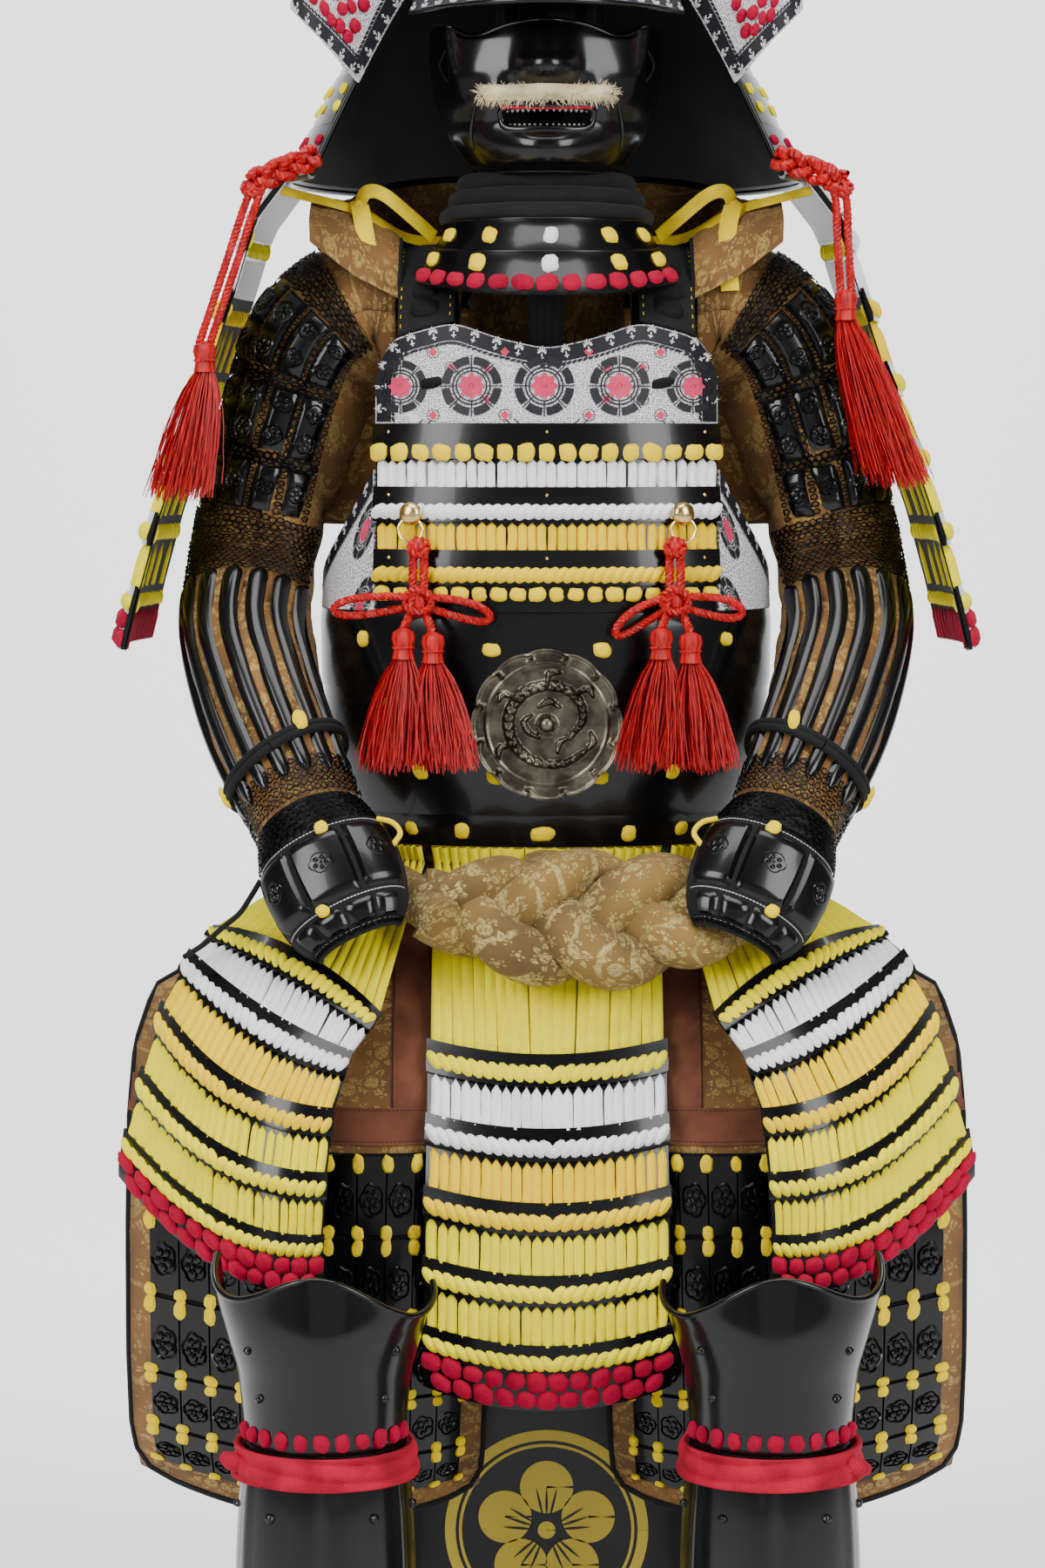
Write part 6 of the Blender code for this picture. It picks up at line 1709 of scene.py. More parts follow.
def mask_place(u, v):
    """The face guard: u is the angle from the front, v the row of its table."""
    table = smooth_path(MASK, 8)
    height, half_width, half_depth, nose, chin = (np.interp(v, np.linspace(0, MASK_ROWS, len(table)),
        table[:, k]) for k in range(5))
    x = half_width * np.sign(np.sin(u)) * np.abs(np.sin(u)) ** (2 / 2.2)
    depth = half_depth * np.abs(np.cos(u)) ** (2 / 2.2)
    depth = depth + np.maximum(nose, 0) * hill(u, 0.17) + np.maximum(chin, 0) * hill(u, 0.42)
    under_eye = 0.010 * hill(np.abs(u) - 0.62, 0.26) * hill(v, 0.7)
    cheek = 0.005 * hill(np.abs(u) - 0.75, 0.3) * hill(height - 1.375, 0.018)
    fold = 0.0030 * hill(np.abs(u) - 0.42 - 0.05 * (v - 4), 0.09) * hill(v - 5.2, 2.2)
    wing = 0.0045 * hill(np.abs(u) - 0.145, 0.075) * hill(v - 2.9, 0.7)
    return np.stack([x, MASK_Y - depth - cheek - fold - wing, height - under_eye], -1)


def mask():
    limit = math.radians(82)
    us, vs = np.linspace(-limit, limit, 75), np.linspace(0, MASK_ROWS, 65)
    surface = Surface(mask_place, us, vs, (0.0, MASK_Y))
    u, v = np.meshgrid(us, vs)
    uv = np.stack([u * surface.wide, v * surface.tall], -1)
    mouth_v, half_u, half_v = 7.0, math.radians(24.5), 1.02
    centre_u, centre_v = (u[:-1, :-1] + u[1:, 1:]) / 2, (v[:-1, :-1] + v[1:, 1:]) / 2
    keep = (centre_u / half_u) ** 4 + ((centre_v - mouth_v) / half_v) ** 4 > 1
    pile = Pile()
    pile.grids(surface.at(u, v, PLATE), "lacquer", uv, surface.turned, keep=keep)
    pile.grids(surface.at(u, v, 0.0), "red_lacquer", uv, not surface.turned, keep=keep)
    turn = full_turn(73)
    edge = (np.abs(np.cos(turn)) ** 4 + np.abs(np.sin(turn)) ** 4) ** -0.25
    lip_u, lip_v = half_u * edge * np.cos(turn), mouth_v + half_v * edge * np.sin(turn)
    lip = surface.at(lip_u, lip_v, 0.0016)
    tube(pile, lip, 0.0026 + 0.0010 * np.abs(np.sin(turn)), "lacquer", 10, ends=False)
    upper = surface.at(np.linspace(-0.40, 0.40, 40), 6.10 + 0 * np.linspace(0, 1, 40), 0.0040)
    tube(pile, upper, 0.0014, "rose", 8)
    for row, count, direction in ((6.35, 15, 1), (7.72, 15, -1)):
        for place in np.linspace(-0.36, 0.36, count):
            root = surface.at(place, row, -0.0015)
            tube(pile, root + np.array([(0, 0, 0.0), (0, -0.0005, -0.0016), (0, -0.0003, -0.0030)])
                * direction * np.array([1, direction, 1]), np.array([0.0019, 0.0016, 0.0006]), "bone", 6)
    top = surface.at(us, 0.0, 0.0015)
    tube(pile, top, 0.0021, "lacquer", 8)
    for end in (-limit, limit):
        tube(pile, surface.at(end, np.linspace(0, MASK_ROWS, 50), 0.0015), 0.0021, "lacquer", 8)
    tube(pile, surface.at(us, MASK_ROWS, 0.0015), 0.0021, "lacquer", 8)
    for side in (-1, 1):
        # Dark matte spots for the nostrils: painted shade where the holes are.
        knots(pile, surface, [side * 0.075], [3.15], PLATE - 0.0002, "inside", 0.0030, 0.0022, 0.0012, 2.0)
        tube(pile, smooth_path([surface.at(side * 0.98, 1.6, 0.003), surface.at(side * 1.02, 2.6, 0.007),
            surface.at(side * 0.99, 3.6, 0.003)], 8), 0.0015, "iron", 8)
        tube(pile, surface.at(side * np.linspace(0.62, 0.95, 20), np.linspace(5.2, 9.2, 20), 0.0032),
            0.0017 * np.sin(np.linspace(0.3, 2.9, 20)), "lacquer", 8)
    pile.make("mask_plate", "black_lacquer", "mask", crease=50)

    pile = Pile()
    many, count = 800, 4
    across = RNG.uniform(-0.053, 0.053, many)
    high = RNG.uniform(0.0, 1.0, many)
    angle = np.arcsin(np.clip(across / 0.094, -1, 1))
    root = surface.at(angle, 4.25 + 1.35 * high, 0.002 + 0.0055 * np.sin(math.pi * np.clip(high, 0.02, 0.98)))
    heading = np.stack([0.25 * np.sign(across) + jitter(many, 0.5), -0.30 + jitter(many, 0.3),
        0.55 - 1.25 * high + jitter(many, 0.35)], -1)
    heading /= np.linalg.norm(heading, axis=1, keepdims=True)
    reach = 0.0052 * (1 + jitter(many, 0.4))
    s = np.linspace(0, 1, count)
    sag = np.array([0.0, 0.0, -0.0008])
    line = root[:, None] + heading[:, None] * (reach[:, None] * s)[..., None] + sag * (s ** 2)[None, :, None]
    ring = full_turn(4)[:-1]
    offset = np.stack([np.cos(ring), 0 * ring, np.sin(ring)], -1)
    thick = (0.00042 * (1 - 0.75 * s))[None, :, None, None]
    pile.grids(line[:, :, None] + offset[None, None] * thick, "ivory", None, False, wrap=True)
    bed = surface.at(*np.meshgrid(np.linspace(-0.60, 0.60, 41), np.linspace(4.25, 5.65, 9)), 0.0)
    sideways = np.minimum(1, (1 - np.abs(np.linspace(-1, 1, 41))) * 9)[None]
    shape = np.sin(np.linspace(0.15, 3.0, 9))[:, None] ** 0.6 * sideways ** 0.5
    bed = bed + np.array([0, -1.0, 0]) * (0.0035 + 0.0052 * shape)[..., None]
    pile.grids(bed, "ivory", None, surface.turned)
    pile.make("mask_moustache", "black_lacquer")


def throat():
    rolls = 3

    def wrap(u, v):
        height = WRAP_TOP - GAP + (WRAP_LOW - WRAP_TOP + GAP) * v
        return oval(u, 0.060 + 0.022 * v, 0.072 + 0.026 * v, height) + np.array([0, THROAT_Y, 0])

    us, vs = np.linspace(math.pi, 3 * math.pi, 73), np.linspace(0, 1, 28)
    surface = Surface(wrap, us, vs, (0.0, THROAT_Y))
    u, v = np.meshgrid(us, vs)
    roll = np.sin(math.pi * v * rolls)
    bulge = PLATE + 0.0050 * np.abs(roll) ** 0.7 + 0.0007 * np.sin(9 * u + 6 * v) * roll
    pile = Pile()
    pile.wall(surface, us, vs, 0.0015, bulge, "black_cloth")
    cloth = pile.make("neck_wrap_cloth", "black_cloth", "neck_wrap", merge=True, crease=70)

    def guard(u, v):
        turn = 2 * u - 1
        height = WRAP_LOW - GAP + (THROAT_LOW + 0.010 * turn * turn - WRAP_LOW + GAP) * v
        return oval(1.06 * turn, 0.0825 + 0.033 * v, 0.098 + 0.030 * v, height) + np.array([0, THROAT_Y, 0])

    us = np.linspace(0, 1, 61)
    surface = Surface(guard, us, np.linspace(0, 1, 31), (0.0, THROAT_Y))
    pile = Pile()
    for top, bottom in ((0.0, 0.44), (0.45, 1.0)):
        steps = np.linspace(0, 1, 7)
        swell = swelling(7, (0, 0.12, 0.9, 1), (0.0056, 0.0046, 0.0052, 0.0048))
        pile.wall(surface, us, top + (bottom - top) * steps, 0.0, swell, "lacquer")
        tube(pile, surface.at(us, top + 0.012, 0.0050), 0.0011, "lacquer", 8)
    for row, look_row in ((0.24, (0.06, 0.27, 0.515, 0.755, 0.94)), (0.62, (0.035, 0.25, 0.51, 0.76, 0.955))):
        for k, place in enumerate(look_row):
            knots(pile, surface, [place], [row], 0.0046, "white" if k == 2 else "knot", 0.0068, 0.0072,
                0.0044, 3.8)
    knots(pile, surface, np.linspace(0.032, 0.968, 13), 0.875, 0.0048, "pink", 0.0074, 0.0066, 0.0048)
    pile.make("throat_lames", "black_lacquer", "throat_guard", crease=50)
    collar()


def collar():
    """A brocade collar inside the back of the cuirass, and quilted pads over the shoulders."""
    def stand_up(u, v):
        turn = math.pi + u
        top = 1.180 + 0.056 * np.cos(u * 0.62) ** 1.5
        return oval(turn, 0.068 + 0.002 * v, 0.112 + 0.004 * (1 - v),
            top + (1.166 - top) * v) + np.array([0, -0.002, 0])

    us, vs = np.linspace(-1.75, 1.75, 49), np.linspace(0, 1, 9)
    surface = Surface(stand_up, us, vs, (0.0, 0.0))
    pile = Pile()
    pile.wall(surface, us, vs, -0.0045, 0.0, "brocade")
    tube(pile, surface.at(us, 0.0, -0.0022), 0.0030, "black_cloth", 10, hint=(0, 0, 1))
    pile.make("collar_lining", "gold_brocade", bevel=0.0008)

    def board(u, v):
        top = 1.312 - 0.030 * np.abs(u / 1.2) ** 3
        return oval(math.pi + u, 0.176 - 0.004 * v, 0.150 - 0.006 * v, top + (1.180 - top) * v)

    us, vs = np.linspace(-1.2, 1.2, 41), np.linspace(0, 1, 11)
    surface = Surface(board, us, vs, (0.0, 0.0))
    pile = Pile()
    pile.wall(surface, us, vs, 0.0, PLATE, "lacquer", "brocade")
    tube(pile, surface.at(us, 0.0, 0.0015), 0.0030, "black_cloth", 8, hint=(0, 0, 1))
    pile.make("shoulder_board", "black_lacquer")

    for name, side in (("left", -1), ("right", 1)):
        def pad(u, v):
            low, top = (np.interp(u, (0, 0.5, 1), heights)
                for heights in ((1.190, 1.206, 1.240), (1.256, 1.284, 1.284)))
            bend = np.cos(v) ** 0.55
            quilt = 0.0022 * np.abs(np.sin(4.5 * math.pi * u)) ** 0.5
            return np.stack([side * (0.116 + 0.072 * u), 0.002 + 0.068 * np.sin(v),
                low + (top - low + quilt) * bend], -1)

        us, vs = np.linspace(0, 1, 33), np.linspace(-1.52, 1.52, 33)
        surface = Surface(pad, us, vs, (0.0, 0.0))
        surface.face(2, 1)
        pile = Pile()
        pile.wall(surface, us, vs, -0.0030, 0.0, "brocade", "black_cloth")
        tube(pile, surface.at(0.0, vs, -0.0015), 0.0026, "black_cloth", 8)
        pile.make(f"shoulder_pad_{name}", "gold_brocade")


# Sash
def sash():
    base = 2 * PLATE + 0.0020 + 2 * GAP
    us = np.linspace(SASH_START, 2 * math.pi - SASH_START, 121)
    surface = Surface(torso, us, np.linspace(SASH_TOP, SASH_BOTTOM, 17))
    u, v = np.meshgrid(us, np.linspace(SASH_TOP, SASH_BOTTOM, 17))
    share = (SASH_TOP - v) / (SASH_TOP - SASH_BOTTOM)
    pleat = np.abs(np.sin(math.pi * (2.2 * share + 0.35 * np.sin(3 * u))))
    fold = 0.0016 * pleat + 0.0008 * np.sin(23 * u + 7 * share)
    pile = Pile()
    pile.wall(surface, us, np.linspace(SASH_TOP, SASH_BOTTOM, 17), base, base + CLOTH + fold, "sash")
    cloth = pile.make("sash_band_cloth", "sash_brocade", "sash_band", crease=70, merge=True)

    front_y = -(np.interp(SASH_TOP, TORSO[:, 0], TORSO[:, 2]) + base + CLOTH + 0.002)
    middle_z, sway, radius = 0.722, 0.032, 0.0235
    pile = Pile()
    starts, stops = [], []
    for k in range(3):
        f = np.linspace(0, 1, 81)
        turn = 2 * math.pi * 1.25 * f + 2 * math.pi * k / 3
        z = middle_z + 0.012 * (2 * f - 1) ** 2 + sway * (0.35 + 0.65 * np.sin(math.pi * f)) * np.sin(turn)
        y = front_y - 0.0205 - 0.012 - (0.775 - z) * 0.5 - 0.010 * np.sin(2 * turn)
        path = np.stack([-0.096 + 0.256 * f, y, z], 1)
        starts.append(path[0])
        stops.append(path[-1])
        path, run = resampled(path, 0.0036)
        _, first, second = path_frames(path)
        f = np.linspace(0, 1, len(path))
        size = radius * (0.70 + 0.30 * np.sin(math.pi * f))
        ring = full_turn(35)
        grid_f, grid_a = np.meshgrid(f, ring, indexing="ij")
        phase = 2.0 * k
        fold = 1 + 0.042 * np.sin(3 * grid_a + 5 * grid_f + phase)
        fold = fold + 0.012 * np.sin(7 * grid_a - 8 * grid_f + phase)
        crease = -0.20 * hill(np.mod(grid_a + 4.5 * grid_f + phase, 2 * math.pi) - math.pi, 0.15)
        reach = size[:, None] * (fold + crease)
        points = path[:, None] + (first[:, None] * np.cos(ring)[None, :, None]
            + second[:, None] * np.sin(ring)[None, :, None]) * reach[..., None]
        uv = np.stack([ring[None, :] * size[:, None] + 0.3 * k, run[:, None] + 0 * reach], -1)
        pile.grids(points, "sash", uv)
        end_caps(pile, points, path, "sash", 0.05)
    tail_r = 0.0125
    for side, ends in ((-1, starts), (1, stops)):
        middle = sum(ends) / 3
        meeting = torso(SASH_START + 0.03 * (2 * math.pi - 2 * SASH_START), (SASH_TOP + SASH_BOTTOM) / 2,
            base + CLOTH + 0.002 + 0.009)
        meeting = meeting * np.array([side, 1, 1])
        line = smooth_path([middle + (middle - meeting) * 0.25, middle,
            (middle + meeting) / 2 + np.array([0, -0.004, -0.002]), meeting], 12)
        size = np.interp(np.linspace(0, 1, len(line)), (0, 0.4, 1), (0.017, 0.019, tail_r))
        tube(pile, line, size, "sash", 28, 0.85)
    low_y = -(np.interp(0.768, TORSO[:, 0], TORSO[:, 2]) + SKIRT_BASE + CLOTH + 2 * GAP)
    tube(pile, smooth_path([(0.0, low_y - 0.002, 0.764), (0.0, low_y - 0.02, 0.763),
        (0.0, low_y - 0.042, 0.755)], 6), 0.018, "sash", 20, 0.35, (0, 0, 1))
    pile.make("sash_plait", "sash_brocade", "sash_knot", crease=70)


# Thigh guards and belt
def thighs():
    belt_out = -GAP - 0.0018
    us = np.linspace(-1.35, 1.35, 81)
    surface = Surface(lambda u, v: torso(u, v, belt_out - CLOTH), us, np.linspace(BELT_TOP, BELT_LOW, 13))
    pile = Pile()
    pile.wall(surface, us, np.linspace(BELT_TOP, BELT_LOW, 9), 0.0, CLOTH, "russet")
    belt = pile.make("thigh_belt_cloth", "russet_cloth", "thigh_belt", merge=True)
    ends = (math.radians(-3), math.radians(-76))

    def place(u, v):
        top = torso(ends[0] + (ends[1] - ends[0]) * u, BELT_LOW - GAP, belt_out - CLOTH)
        body = through(THIGH, np.maximum(v, 0.0), u)
        share = np.clip(v + 1, 0, 1)[..., None]
        joined = top + (body - top) * share
        sink = 0.0035 * np.sin(9 * u + 1.5 * v) * np.clip(v + 0.6, 0, 1) * np.clip(2.6 - v, 0, 1)
        return joined + np.stack([0 * u, -np.abs(sink), 0 * u], -1)

    for name, side in SIDES:
        surface = Surface(mirrored(place, side), np.linspace(0, 1, 81), np.linspace(-1, 7, 97))
        pile = Pile()
        us, vs = np.linspace(0, 1, 41), np.linspace(-1, 7, 73)
        pile.wall(surface, us, vs, 0.0, CLOTH, "brocade", "black_cloth")
        cloth = pile.make(f"thigh_cloth_{name}_brocade", "gold_brocade", f"thigh_cloth_{name}", crease=60,
            merge=True)

        pile = Pile()
        raised = CLOTH + 0.0002
        down = np.linspace(-0.9, 2.44, 41)
        fine = np.linspace(0.0, 1.0, 121)
        reach = np.abs(surface.at(fine[None, :] + 0 * down[:, None],
            down[:, None] + 0 * fine[None, :])[..., 0])
        strip_u = np.array([np.interp((0.090, 0.0978, 0.1055, 0.1132, 0.121), row, fine) for row in reach])
        strip_v = down[:, None] + 0 * strip_u
        shade = raised + 0.0009 * np.array([0.1, 1.0, 1.0, 1.0, 0.1])
        uv = np.stack([strip_u * surface.wide, strip_v * surface.tall], -1)
        pile.grids(surface.at(strip_u, strip_v, shade), "russet", uv, surface.turned)
        for column in (0, 4):
            inset = strip_u[:, column] * 0.9 + strip_u[:, 2] * 0.1
            line = np.stack([np.interp(np.linspace(0, 40, 80), np.arange(41), inset),
                np.linspace(-0.9, 2.4, 80)], 1)
            stitches(pile, surface, line, raised + 0.0010, "navy", 0.0020, 0.00045)
        pile.wall(surface, np.linspace(0.0, 1.0, 49), np.linspace(2.42, 2.98, 9), raised + 0.0004,
            raised + 0.0013, "russet")
        for v in (2.46, 2.93):
            line = np.stack([np.linspace(0.01, 0.99, 90), np.full(90, v)], 1)
            stitches(pile, surface, line, raised + 0.0014, "navy", 0.0018, 0.00035)
        outline = [(0.0, -1.0), (0.0, 6.6), (0.03, 6.93), (0.10, 7.0), (0.90, 7.0), (0.97, 6.93),
            (1.0, 6.6), (1.0, -0.5)]
        outline = np.array(outline)
        steps = np.linspace(0, len(outline) - 1, 170)
        u = np.interp(steps, np.arange(len(outline)), outline[:, 0])
        v = np.interp(steps, np.arange(len(outline)), outline[:, 1])
        piping = surface.at(u, v, CLOTH / 2)
        tube(pile, piping, 0.0030, "black_cloth", 6)
        pile.make(f"thigh_cloth_{name}_trim", "russet_cloth", crease=60)

        pile = Pile()
        low = CLOTH + 0.0018
        columns, top, bottom = 11, 3.05, 6.55
        left, right = 0.085, 0.935
        lames = 5
        pile.wall(surface, np.linspace(left, right, 21), np.linspace(top, bottom, 13), CLOTH + 0.0002,
            low - 0.0004, "mail_cloth")
        for k in range(lames):
            v0 = top + (bottom - top) * (k + 0.03) / lames
            v1 = top + (bottom - top) * (k + 0.97) / lames
            for m in range(columns):
                u0 = left + (right - left) * (m + 0.03) / columns
                u1 = left + (right - left) * (m + 0.97) / columns
                vs = np.linspace(v0, v1, 4)
                swell = low + swelling(4, (0, 1), (0.0028, 0.0020))
                pile.wall(surface, np.linspace(u0, u1, 4), vs, low - 0.0008, swell, "lacquer")
                middle = (u0 + u1) / 2
                rosette(pile, surface, middle, v0 + (v1 - v0) * 0.56, low + 0.0023, "lacquer", 0.0096, 5,
                    0.0024)
                for share in (0.10, 0.98):
                    knots(pile, surface, [u1], [v0 + (v1 - v0) * share], low + 0.0020, "knot", 0.0048,
                        0.0050 if share < 0.5 else 0.0040, 0.0040, 3.0, 3, 12)
            for share in (0.10, 0.98):
                knots(pile, surface, [left], [v0 + (v1 - v0) * share], low + 0.0020, "knot", 0.0044, 0.0046,
                    0.0038, 3.0, 3, 12)
        pile.make(f"thigh_plates_{name}_lacquer", "black_mail", f"thigh_plates_{name}", crease=50)


# Legs
def leg_place(table, side, u, height, grow=0.0):
    half = np.interp(-height, -table[:, 0], table[:, 1]) + grow
    ahead = np.interp(-height, -table[:, 0], table[:, 2]) + grow
    return np.stack([side * (-KNEE_X + half * np.sin(u)), LEG_Y - ahead * np.cos(u), height + 0 * u], -1)


def legs():
    limit = math.radians(100)
    us = np.linspace(-limit, limit, 53)
    soft_knee, soft_shin = smooth_path(KNEECAP, 8), smooth_path(SHIN, 8)
    for name, side in SIDES:
        def knee(u, v):
            grow = np.interp(v, (0, 0.25, 0.55), (0.012, 0.005, 0.0)) * np.sin(u) ** 2
            height = 0.470 - (0.470 - KNEE_BOTTOM) * v
            point = leg_place(soft_knee, side, u, height, grow)
            crest = (0.012 * np.cos(3 * u) - 0.006 * u) * np.clip(1 - v / 0.25, 0, 1) ** 1.5
            point[..., 2] += crest
            return point

        centre = (-side * KNEE_X, LEG_Y)
        surface = Surface(knee, us, np.linspace(0, 1, 49), centre)
        pile = Pile()
        u, v = np.meshgrid(us, np.linspace(0, 1, 27))
        dome = 0.0030 + 0.0045 * hill(u, 0.62) * hill(v - 0.30, 0.26)
        pile.wall(surface, us, np.linspace(0, 1, 27), 0.0, dome, "lacquer")
        rim = surface.at(us, 0.0, 0.0016)
        tube(pile, rim, 0.0026, "lacquer", 12)
        for place in (-1.0, 1.0):
            rivets(pile, surface, [place * 0.88, place * 0.80], [0.36, 0.66], 0.0030, "lacquer", 0.0034,
                0.0042)
        knots(pile, surface, np.radians(np.linspace(-74, 74, 11)), 0.915, 0.0030, "pink", 0.0062, 0.0068,
            0.0050)
        pile.make(f"kneecap_{name}_plate", "black_lacquer", f"kneecap_{name}", crease=60)

        surface = Surface(lambda u, v: leg_place(soft_shin, side, u, v), us, np.linspace(SHIN_TOP, 0.0, 71),
            centre)
        vs = np.linspace(SHIN_TOP, 0.0, 33)
        u, _ = np.meshgrid(us, vs)
        rib = sum(hill(u - math.radians(angle), 0.045) for angle in (-60, 0, 60)) * 0.0028
        pile = Pile()
        pile.wall(surface, us, vs, 0.0, PLATE + rib, "lacquer")
        for end in (-limit, limit):
            tube(pile, surface.at(end, vs, 0.0015), 0.0026, "lacquer", 10)
        tube(pile, surface.at(us, 0.003, 0.0015), 0.0026, "lacquer", 10, hint=(0, 0, 1))
        for angle in (-84, -36, 36, 84):
            rivets(pile, surface, np.radians([angle] * 3), (0.302, 0.172, 0.046), 0.0030, "lacquer", 0.0034,
                0.0040)
        pile.make(f"shin_{name}_plate", "black_lacquer", f"shin_{name}", crease=60)

        turns = np.linspace(math.pi, 3 * math.pi, 97)
        high, low = SHIN_TOP - 0.002, SHIN_TOP - 0.026
        surface = Surface(lambda u, v: leg_place(soft_shin, side, u, v), turns, np.linspace(high, low, 25),
            centre)
        vs = np.linspace(high, low, 19)
        u, v = np.meshgrid(turns, vs)
        share = (high - v) / (high - low)
        pleat = np.abs(np.sin(math.pi * (1.9 * share + 0.45 * np.sin(1.5 * u + 0.6))))
        fold = 0.0030 * pleat ** 0.7 + 0.0003 * np.sin(13 * u)
        clear = PLATE + 0.0026 + GAP
        pile = Pile()
        pile.wall(surface, turns, vs, clear, clear + CLOTH + fold, "rose")
        spot = surface.at(5.0 if side > 0 else 5.2, (high + low) / 2, clear + 0.004)
        cloth = pile.make(f"shin_tie_{name}_cloth", "rose_cloth", f"shin_tie_{name}", crease=70, merge=True)
        pile = Pile()
        tube(pile, spot + np.array([(-0.010, 0, 0.004), (-0.004, -0.003, 0.001), (0.004, -0.003, -0.001),
            (0.010, 0, -0.004)]), np.array([0.004, 0.007, 0.007, 0.004]), "rose", 14)
        pile.make(f"shin_tie_{name}_knot", "rose_cloth")


# Mirror, box and stand
def mirror_plate():
    """A lobed bronze mirror with a knob, a winding dragon of no known pattern, and clouds."""
    back_y = -(np.interp(MEDALLION_Z + MEDALLION_R, TORSO[:, 0], TORSO[:, 2]) + PLATE + 0.0004 + GAP)
    turns, shares = full_turn(169), np.linspace(0.001, 1, 58)
    angle, share = np.meshgrid(turns, shares)
    lobe = 1 - 0.030 * (1 - np.abs(np.cos(angle * 6))) ** 1.3 * np.clip((share - 0.8) / 0.2, 0, 1)
    radius = MEDALLION_R * share * lobe
    x, z = radius * np.cos(angle), radius * np.sin(angle)
    r = MEDALLION_R * share
    height = 0.0032 + 0.0016 * hill(r - 0.0475, 0.0010) + 0.0018 * np.clip((share - 0.955) / 0.02, 0, 1)
    height += 0.0055 * np.sqrt(np.clip(1 - (r / 0.0062) ** 2, 0, 1)) + 0.0010 * hill(r - 0.0085, 0.0008)

    def along(points, half, rise, scales=0.0):
        points = smooth_path(points, 14)
        gap = np.full(x.shape, 9.0)
        place = np.zeros(x.shape)
        for k, (px, pz) in enumerate(points):
            away = np.hypot(x - px, z - pz)
            nearer = away < gap
            gap, place = np.where(nearer, away, gap), np.where(nearer, k / len(points), place)
        width = half * (0.45 + 0.55 * np.sin(math.pi * np.clip(place, 0.02, 0.98)))
        body = np.sqrt(np.clip(1 - (gap / width) ** 2, 0, 1))
        return rise * body * (1 + scales * np.sin(place * 190) * np.cos(gap / half * 4))

    body = ((0.018, -0.010), (0.028, 0.004), (0.024, 0.020), (0.008, 0.030), (-0.012, 0.028),
        (-0.026, 0.016), (-0.030, -0.002), (-0.022, -0.020), (-0.006, -0.030), (0.014, -0.030),
        (0.028, -0.022))
    height += along(body, 0.0046, 0.0054, 0.42)
    for line in (
        ((0.018, -0.010), (0.010, -0.014), (0.008, -0.022)), ((0.022, 0.024), (0.032, 0.028), (0.036, 0.022)),
        ((-0.024, 0.020), (-0.034, 0.024), (-0.038, 0.018)),
        ((-0.026, -0.016), (-0.036, -0.018), (-0.038, -0.026)),
        ((0.000, 0.031), (0.002, 0.040), (0.010, 0.041)), ((0.028, -0.022), (0.036, -0.014), (0.034, -0.006)),
        ((-0.012, 0.008), (-0.018, 0.002), (-0.014, -0.006), (-0.006, -0.010)),
        ((0.010, 0.014), (0.002, 0.018), (-0.006, 0.014)),
    ):
        height += along(line, 0.0024, 0.0042, 0.25)
    for k in range(12):
        turn = 2 * math.pi * (k + 0.5) / 12
        cx, cz = 0.0530 * math.cos(turn), 0.0530 * math.sin(turn)
        curl = [(cx + 0.0030 * s * math.cos(turn + 5 * s), cz + 0.0030 * s * math.sin(turn + 5 * s))
            for s in (0.2, 0.5, 0.8, 1.1, 1.4)]
        height += along(curl, 0.0014, 0.0026)
    height += 0.00022 * np.sin(x * 2600) * np.sin(z * 2300) * (height < 0.0036)
    pile = Pile()
    points = np.stack([x, back_y - height, MEDALLION_Z + z], -1)
    pile.grids(points, "bronze")
    rim = points[-1]
    back = rim.copy()
    back[:, 1] = back_y
    pile.grids(np.stack([rim, back]), "bronze")
    pile.grids(np.stack([back, back * 0.02 + np.array([0, back_y * 0.98, MEDALLION_Z * 0.98])]), "bronze")
    pile.make("mirror_plate", "bronze", "medallion", crease=70)


def storage_box():
    for node in ("box_body", "box_lid"):
        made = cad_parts[node]
        made.data.materials.clear()
        made.data.materials.append(LOOKS["box"])
        edge = made.modifiers.new("bevel", "BEVEL")
        edge.width, edge.segments, edge.limit_method = 0.0016, 3, "ANGLE"
    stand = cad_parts["stand"]
    stand.data.materials.clear()
    stand.data.materials.append(LOOKS["wood"])
    pile = Pile()
    blossom = []
    for k in range(5):
        turn = 2 * math.pi * (k + 0.5) / 5 - math.pi / 2
        blossom += moved([arc(0.0105, 0, 2 * math.pi, 0.0105, 33)], 0.0345 * math.cos(turn),
            0.0345 * math.sin(turn))
    veins = [petal(0.012, 0.034, 2 * math.pi * (k + 0.5) / 5 - math.pi / 2 + d, 0.0010) for k in range(5)
        for d in (-0.24, 0.0, 0.24)]

    def place(x, y):
        return np.stack([x, BOX_FRONT + 0 * x, y], -1)

    strips(pile, place, moved(blossom, 0.0, BLOSSOM_Z), "gold")
    strips(pile, lambda x, y: place(x, y) + np.array([0, -0.0004, 0]), moved(veins, 0.0, BLOSSOM_Z), "box")
    strips(pile, place, moved([arc(0.0035, 0, 2 * math.pi, 0.0035, 25)], 0.0, BLOSSOM_Z), "gold")
    strips(pile, place, moved([arc(0.076, 0, 2 * math.pi, 0.0042, 65),
        arc(0.068, 0, 2 * math.pi, 0.0012, 65)], 0.0, BLOSSOM_Z), "gold")
    pile.make("box_blossom", "lacquered_wood")


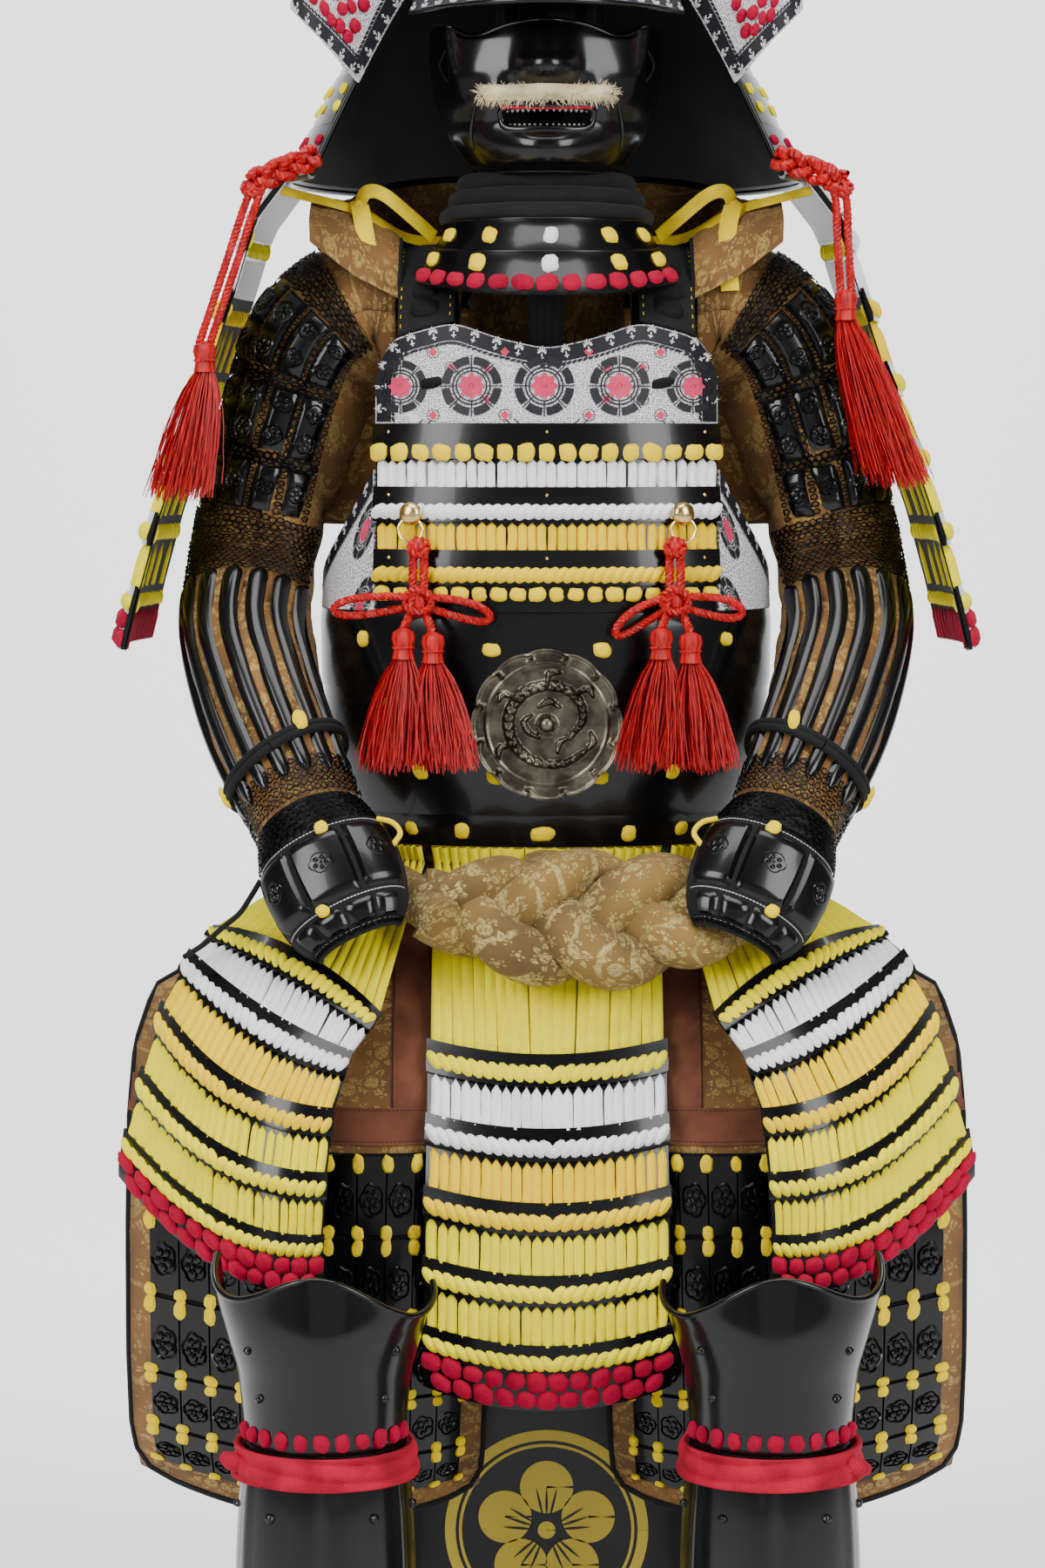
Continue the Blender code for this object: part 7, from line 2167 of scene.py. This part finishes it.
def floor():
    """A floor that bends up into a backdrop, a little below the part."""
    bend, sides = 1.6, (-7.0, 7.0)
    profile = [(-4.5, 0.0)]
    profile += [(3.0 + bend * math.sin(a), bend - bend * math.cos(a))
        for a in np.linspace(0, math.pi / 2, 16)]
    profile += [(4.6, 5.5)]
    points = np.array([[(x, y, z - 0.0005) for x in sides] for y, z in profile])
    look = Look("pale_backdrop", (0.80, 0.81, 0.82), 0.9)
    look.put("Base Color", look.mix(look.noise(1.2, 2.0), (0.79, 0.797, 0.806), (0.81, 0.817, 0.826)))
    LOOKS["floor"] = look.made
    data = bpy.data.meshes.new("floor")
    flat = points.reshape(-1, 3)
    many = len(points)
    data.from_pydata(flat.tolist(), [], [(2 * k, 2 * k + 1, 2 * k + 3, 2 * k + 2) for k in range(many - 1)])
    data.materials.append(LOOKS["floor"])
    data.shade_smooth()
    made = bpy.data.objects.new("floor", data)
    bpy.context.scene.collection.objects.link(made)


def lights():
    world = bpy.data.worlds.new("world")
    world.use_nodes = True
    world.node_tree.nodes["Background"].inputs["Color"].default_value = (0.80, 0.82, 0.85, 1.0)
    world.node_tree.nodes["Background"].inputs["Strength"].default_value = 0.17
    bpy.context.scene.world = world
    light("key_left", (-2.4, -2.6, 2.4), (0.0, 0.0, 0.9), (1.5, 2.4), 122)
    light("key_right", (2.3, -2.6, 2.2), (0.0, 0.0, 0.9), (1.5, 2.4), 106)
    light("overhead", (0.0, -0.8, 3.6), (0.0, 0.0, 0.8), (2.4, 1.6), 82)
    light("low_front", (0.3, -4.2, 0.9), (0.0, 0.0, 0.6), (3.0, 1.6), 6)
    light("backdrop", (0.0, 1.2, 3.6), (0.0, 4.4, 1.4), (4.0, 1.4), 370)


def wrist_cord():
    curve = bpy.data.curves.new("wrist_cord_line", "CURVE")
    curve.dimensions = "3D"
    curve.bevel_depth = CORD_R
    curve.bevel_resolution = 4
    curve.use_fill_caps = True
    route = smooth_path(WRIST_CORD, 4)
    line = curve.splines.new("POLY")
    line.points.add(len(route) - 1)
    for place, point in zip(line.points, route):
        place.co = (*point, 1.0)
    curve.materials.append(LOOKS["black_cloth"])
    made = bpy.data.objects.new("wrist_cord_line", curve)
    bpy.context.scene.collection.objects.link(made)
    placed(made, "black_cloth", "wrist_cord")


def main():
    camera()
    wrist_cord()
    floor()
    lights()
    storage_box()
    chest_top()
    chest_lames()
    waist()
    side_plates()
    back_plate()
    straps()
    mirror_plate()
    chest_ornaments()
    helmet()
    mask()
    throat()
    arms()
    shoulder_guards()
    shoulder_trims()
    skirt()
    sash()
    thighs()
    legs()


main()
